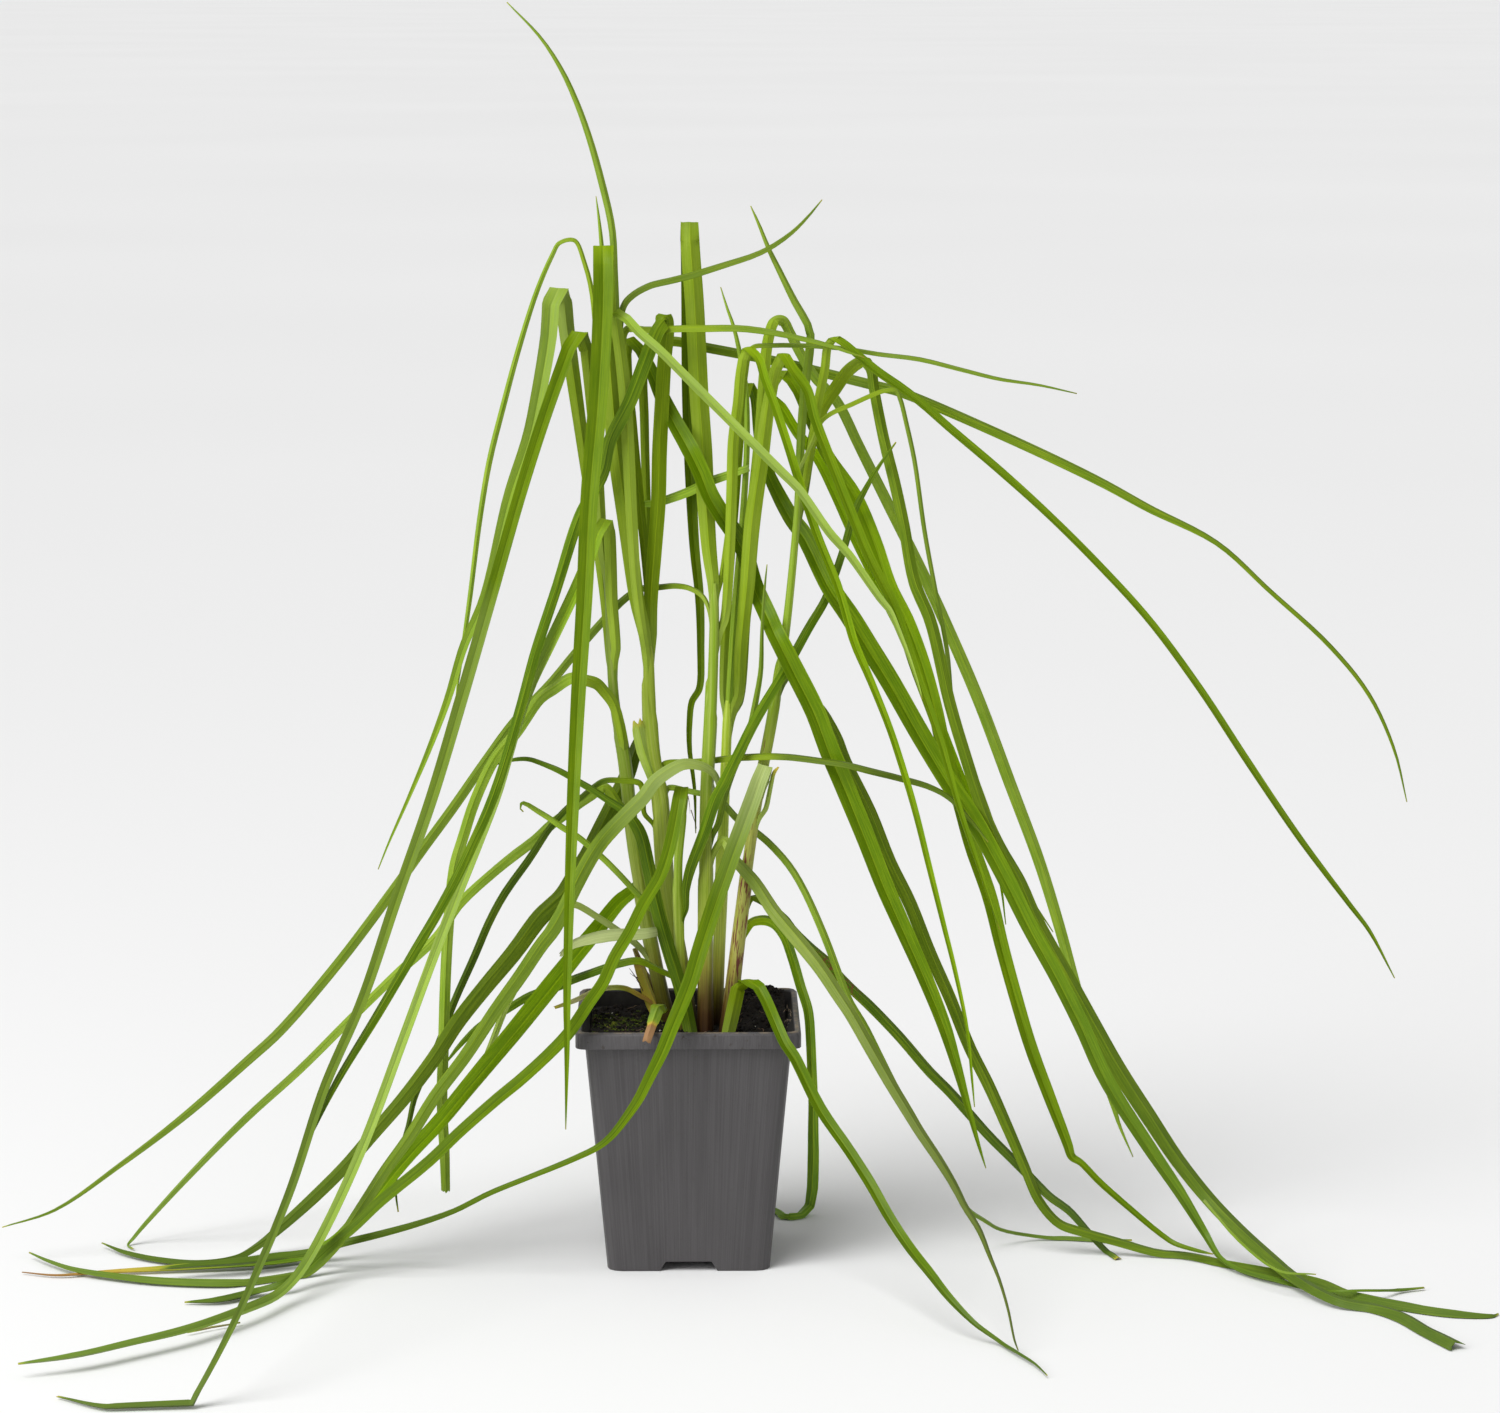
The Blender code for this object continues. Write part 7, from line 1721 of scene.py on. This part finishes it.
leaf("leaf_right_blunt", [
    (47, 312, -3.5, 3), (50, 333, -6, 4), (54, 346, -7, 4.8), (59, 354, -8, 5.2), (65, 362, -8, 5),
    (70.5, 365, -6, 4.6), (73.5, 362, -3, 4.2), (75, 353, -2, 4.2), (79, 333, -1, 4.4), (83, 317, 0, 4.6),
    (86.5, 301, 1, 4.6), (91, 277, 3, 4.8), (97.5, 261, 5, 4.8), (105, 229, 7, 4.8), (111.5, 207, 8, 4.8),
    (119, 184, 6, 5), (125, 171, 4, 5), (133, 157, 3, 5.4), (139, 143, 3, 6), (151, 121, 4, 6.4),
    (162, 101, 5, 6.6), (173, 81.5, 7, 6.8), (185, 63, 9, 6.6), (197, 45, 12, 6), (209, 30, 17, 5.6),
    (221, 17.5, 31, 5.6), (235, 5, 51, 5), (241, 0, 61, 4.6), (253, -7.5, 84, 4.2), (261, -11, 93, 4),
    (273, -14, 98, 4), (285, -18.5, LAID, 4.4), (297, -25, LAID, 4.6), (307.5, -30.5, LAID, 4.6)],
    green=OLIVE, ragged=2.5, tone=((0, 0.84), (0.6, 0.84), (0.78, 0.68), (1, 0.66)))
leaf("leaf_right_wiry", [
    (49.5, 331, 5, 1.6), (54.5, 341.5, 6, 1.8), (67, 348, 5, 1.8), (79, 353, 5, 1.8), (83.5, 353, 5, 1.8),
    (85.5, 349, 5, 1.8), (87.5, 341, 5, 1.8), (91, 325, 4, 1.8), (95, 297, 3, 1.8), (99, 275, 0, 1.8),
    (104, 249, -2, 1.8), (106.5, 225, -3, 1.8), (111, 211, -4, 1.8), (119, 189, -6, 1.6),
    (125, 173, -7, 1.4), (133, 157, -7, 1.2), (146.5, 136, -8, 0.4)], green=DULL, tone=0.82)
leaf("leaf_dark_rising", [
    (-0.5, 146, 13, 2.4), (-0.5, 153, 14, 3.4), (1, 161, 15, 4.2), (7, 177, 17, 4.6),
    (11, 189, 18.5, 4.6), (15, 197, 18, 4.4), (21, 209, 17, 4.2), (27, 221, 16, 4.2), (39, 241, 10, 3.8),
    (49, 259, -2, 3.6), (55, 269, -10, 3.4), (59, 279, -13, 3.2), (63, 291, -9.5, 3), (67, 305, -4, 2.8),
    (71, 313, 0, 2.2), (77, 323, 4, 1.4), (83.5, 332, 5, 0.6)], green=DARK, tone=0.85)
leaf("leaf_dark_spike", [
    (12.5, 180, 10, 2.6), (15, 191, 11, 2.8), (19, 203, 12, 3), (22, 209, 12, 3), (25, 217, 11, 2.8),
    (27.5, 229, 11, 2.4), (29.5, 241, 11, 2), (30, 257, 11, 1.4), (31, 273, 11, 1), (32, 283, 11, 0.4)],
    green=DULL, tone=0.78)
leaf("leaf_dark_level", [
    (-9.5, 203.5, 1, 2), (1, 204.5, 2, 2.4), (9, 205, 2.5, 2.4), (17, 206, 7.5, 2.4),
    (25, 206.5, 13, 2.6), (33, 206.8, 14.5, 2.6), (41, 206.5, 15, 2.6), (53, 205, 17, 2.6),
    (63, 203.5, 18, 2.6), (73, 201, 17, 2.6), (85, 198, 9, 2.4), (97, 194.5, 8, 2.2), (105, 190, 9, 2),
    (113, 181.5, 12, 1.6), (120.5, 172, 14, 0.4)], green=DULL, tone=0.56)


# Torn sheaths and dry threads
# Old sheaths have split away from the shoots, and their torn mouths and dry threads stay on the
# clump; each is a thin papery strip that still hangs where it grew.

PAPERY = blade_material("dry_sheath", (0.40, 0.38, 0.17), (0.46, 0.45, 0.25), (0.22, 0.15, 0.07), 0.8)
LEAF_SLOTS[PAPERY] = "leaf_straw"
THREAD_STEPS = 7
THREAD_TAPER = 0.75
THREAD_SHARP_FROM = 60


def build_threads():
    """Dry brown threads that stand off the shoots, as one piece."""
    brown = [(0.35, (0.055, 0.030, 0.018)), (0.65, (0.25, 0.15, 0.08))]
    material = grain_material("dry_thread", (900,), brown, (0.7, 0.9))
    shares = [step / (THREAD_STEPS - 1) for step in range(THREAD_STEPS)]
    vertices, faces = [], []
    for thick, start, bend, end in (
            (0.30, (-18.8, 115.2, -15), (-21.2, 119.2, -14), (-23.2, 121.6, -13)),
            (0.24, (-19.6, 117.6, -15), (-21.6, 118.4, -13), (-22.8, 119.6, -12)),
            (0.20, (-17.6, 112.4, -15), (-18.8, 115.6, -13), (-20.4, 116.8, -13)),
            (0.22, (1.6, 184.8, 6), (3.2, 180.0, 8), (4.0, 177.2, 8)),
            (0.18, (0.4, 190.4, 6), (1.2, 186.8, 7), (1.2, 183.2, 8)),
            (0.20, (9.2, 188.0, 12), (11.2, 184.0, 13), (10.4, 181.2, 13))):
        points = []
        for share in shares:
            row = [a * (1 - share) ** 2 + 2 * b * share * (1 - share) + c * share ** 2
                   for a, b, c in zip(start, bend, end)]
            points.append(seen(*row))
        radii = [thick * MM * (1 - THREAD_TAPER * share) for share in shares]
        add_strand(vertices, faces, points, radii)
    keep(mesh_object("dry_threads", vertices, faces, material, THREAD_SHARP_FROM), "leaf_straw")


leaf("torn_sheath_left", [
    (-8.5, 99, -13, 5), (-13, 108, -15, 5.6), (-17, 118, -16, 4.6), (-20, 126, -17, 3.2)],
    green=PAPERY, dry=((0, 0.7), (0.4, 0.35), (0.8, 0.3), (1, 0.8)), ragged=2.5, root=4,
    keeled=0.5, loose=True)
leaf("torn_sheath_middle", [
    (-14.1, 199.5, 4.5, 4.4), (-17.3, 208.8, 4.5, 5.4), (-18.9, 215.5, 4.5, 5.2),
    (-19.6, 219.5, 5, 4.4)],
    green=PALE, dry=((0, 0), (0.92, 0.02), (1, 0.3)), ragged=2.5, loose=True)
leaf("torn_sheath_back", [
    (8.5, 185, 2, 3.4), (9.5, 192, 2.5, 4.0), (8.5, 198, 3, 3.2)],
    green=PALE, dry=((0, 0), (0.8, 0.05), (1, 0.3)), ragged=1.5, root=10, tone=0.85, loose=True)
leaf("dry_edge_right", [
    (31.5, 186, 14.5, 2.0), (33.3, 194, 14.5, 1.8), (34.8, 200, 14.5, 1.5), (36.4, 202, 14.5, 0.7)],
    green=PALE, dry=((0, 0), (0.8, 0.03), (1, 0.4)), ragged=0.6, root=8, loose=True)
leaf("spike_tip", [
    (-33.6, 404, -2, 2.0), (-34.4, 414, -2, 1.6), (-35.4, 423, -2.4, 1.0), (-36.4, 430.4, -3, 0.3)],
    root=0, loose=True)
leaf("thin_leaf_edge", [
    (207, 29, 45, 1.2), (221, 12.8, 60, 1.3), (237, 0.8, 76, 1.1), (251.6, -0.8, 84, 0.4)],
    green=DULL, tone=0.9, root=0, loose=True)
leaf("stray_edge", [
    (-200, -24, LAID, 0.5), (-190, -22, LAID, 0.9), (-178.8, -20, LAID, 0.4)],
    rest=1.6, green=PAPERY, root=0, loose=True)
build_threads()


# Floor, light and camera
# A wide pale floor under one large soft ceiling light, with a square lamp at the left. The camera
# stands in front at the height of a standing eye, and looks slightly down on the plant.

FLOOR_HALF = 60.0
FLOOR_LEVEL = -0.05 * MM
FLOOR_ROUGHNESS = 0.9
CEILING_POWER = 2.15
CEILING_SOFTNESS = math.radians(38)
CEILING_TILT = (math.radians(28), math.radians(-24), 0.0)
SIDE_PLACE = Vector((-1.5, -1.3, 0.9))
SIDE_TARGET = Vector((0.0, 0.0, 0.2))
SIDE_SIZE = 1.0
SIDE_POWER = 17
SURROUND_POWER = 0.42
CAMERA_LENS = 121.03
CAMERA_SENSOR = 36.0


def build_floor():
    """A plain pale floor."""
    material, tree, shader = new_material("pale_floor", Roughness=FLOOR_ROUGHNESS)
    cloud = add_noise(tree, add_place(tree), 0.6, 1.0)
    pale = add_ramp(tree, cloud, [(0.3, (0.86, 0.86, 0.86)), (0.7, (0.88, 0.88, 0.88))])
    link_value(tree, shader.inputs["Base Color"], pale)
    corners = [(x * FLOOR_HALF, y * FLOOR_HALF, FLOOR_LEVEL)
               for x, y in ((-1, -1), (1, -1), (1, 1), (-1, 1))]
    mesh = bpy.data.meshes.new("studio_floor")
    mesh.from_pydata(corners, [], [(0, 1, 2, 3)])
    mesh.materials.append(material)
    floor = add_object("studio_floor", mesh)


def build_studio():
    """A soft ceiling light, a square lamp at the left and an even pale surround."""
    sky = bpy.data.lights.new("ceiling_light", "SUN")
    sky.energy = CEILING_POWER
    sky.angle = CEILING_SOFTNESS
    add_object("ceiling_light", sky).rotation_euler = CEILING_TILT
    light = bpy.data.lights.new("side_lamp", "AREA")
    light.shape = "SQUARE"
    light.size = SIDE_SIZE
    light.energy = SIDE_POWER
    lamp = add_object("side_lamp", light)
    lamp.location = SIDE_PLACE
    lamp.rotation_euler = (SIDE_TARGET - SIDE_PLACE).to_track_quat("-Z", "Y").to_euler()
    world = bpy.data.worlds.new("studio_surround")
    world.use_nodes = True
    backdrop = world.node_tree.nodes["Background"]
    backdrop.inputs["Color"].default_value = (1.0, 1.0, 1.0, 1.0)
    backdrop.inputs["Strength"].default_value = SURROUND_POWER
    bpy.context.scene.world = world
    bpy.context.scene.view_settings.view_transform = "Standard"


def build_camera():
    """The camera at the standing eye."""
    lens = bpy.data.cameras.new("standing_eye")
    lens.lens = CAMERA_LENS
    lens.sensor_width = CAMERA_SENSOR
    lens.sensor_fit = "HORIZONTAL"
    camera = add_object("standing_eye", lens)
    camera.location = EYE
    camera.rotation_euler = (math.pi / 2 - LOOK_DOWN, 0.0, -LOOK_RIGHT)
    bpy.context.scene.camera = camera


build_floor()
build_studio()
build_camera()
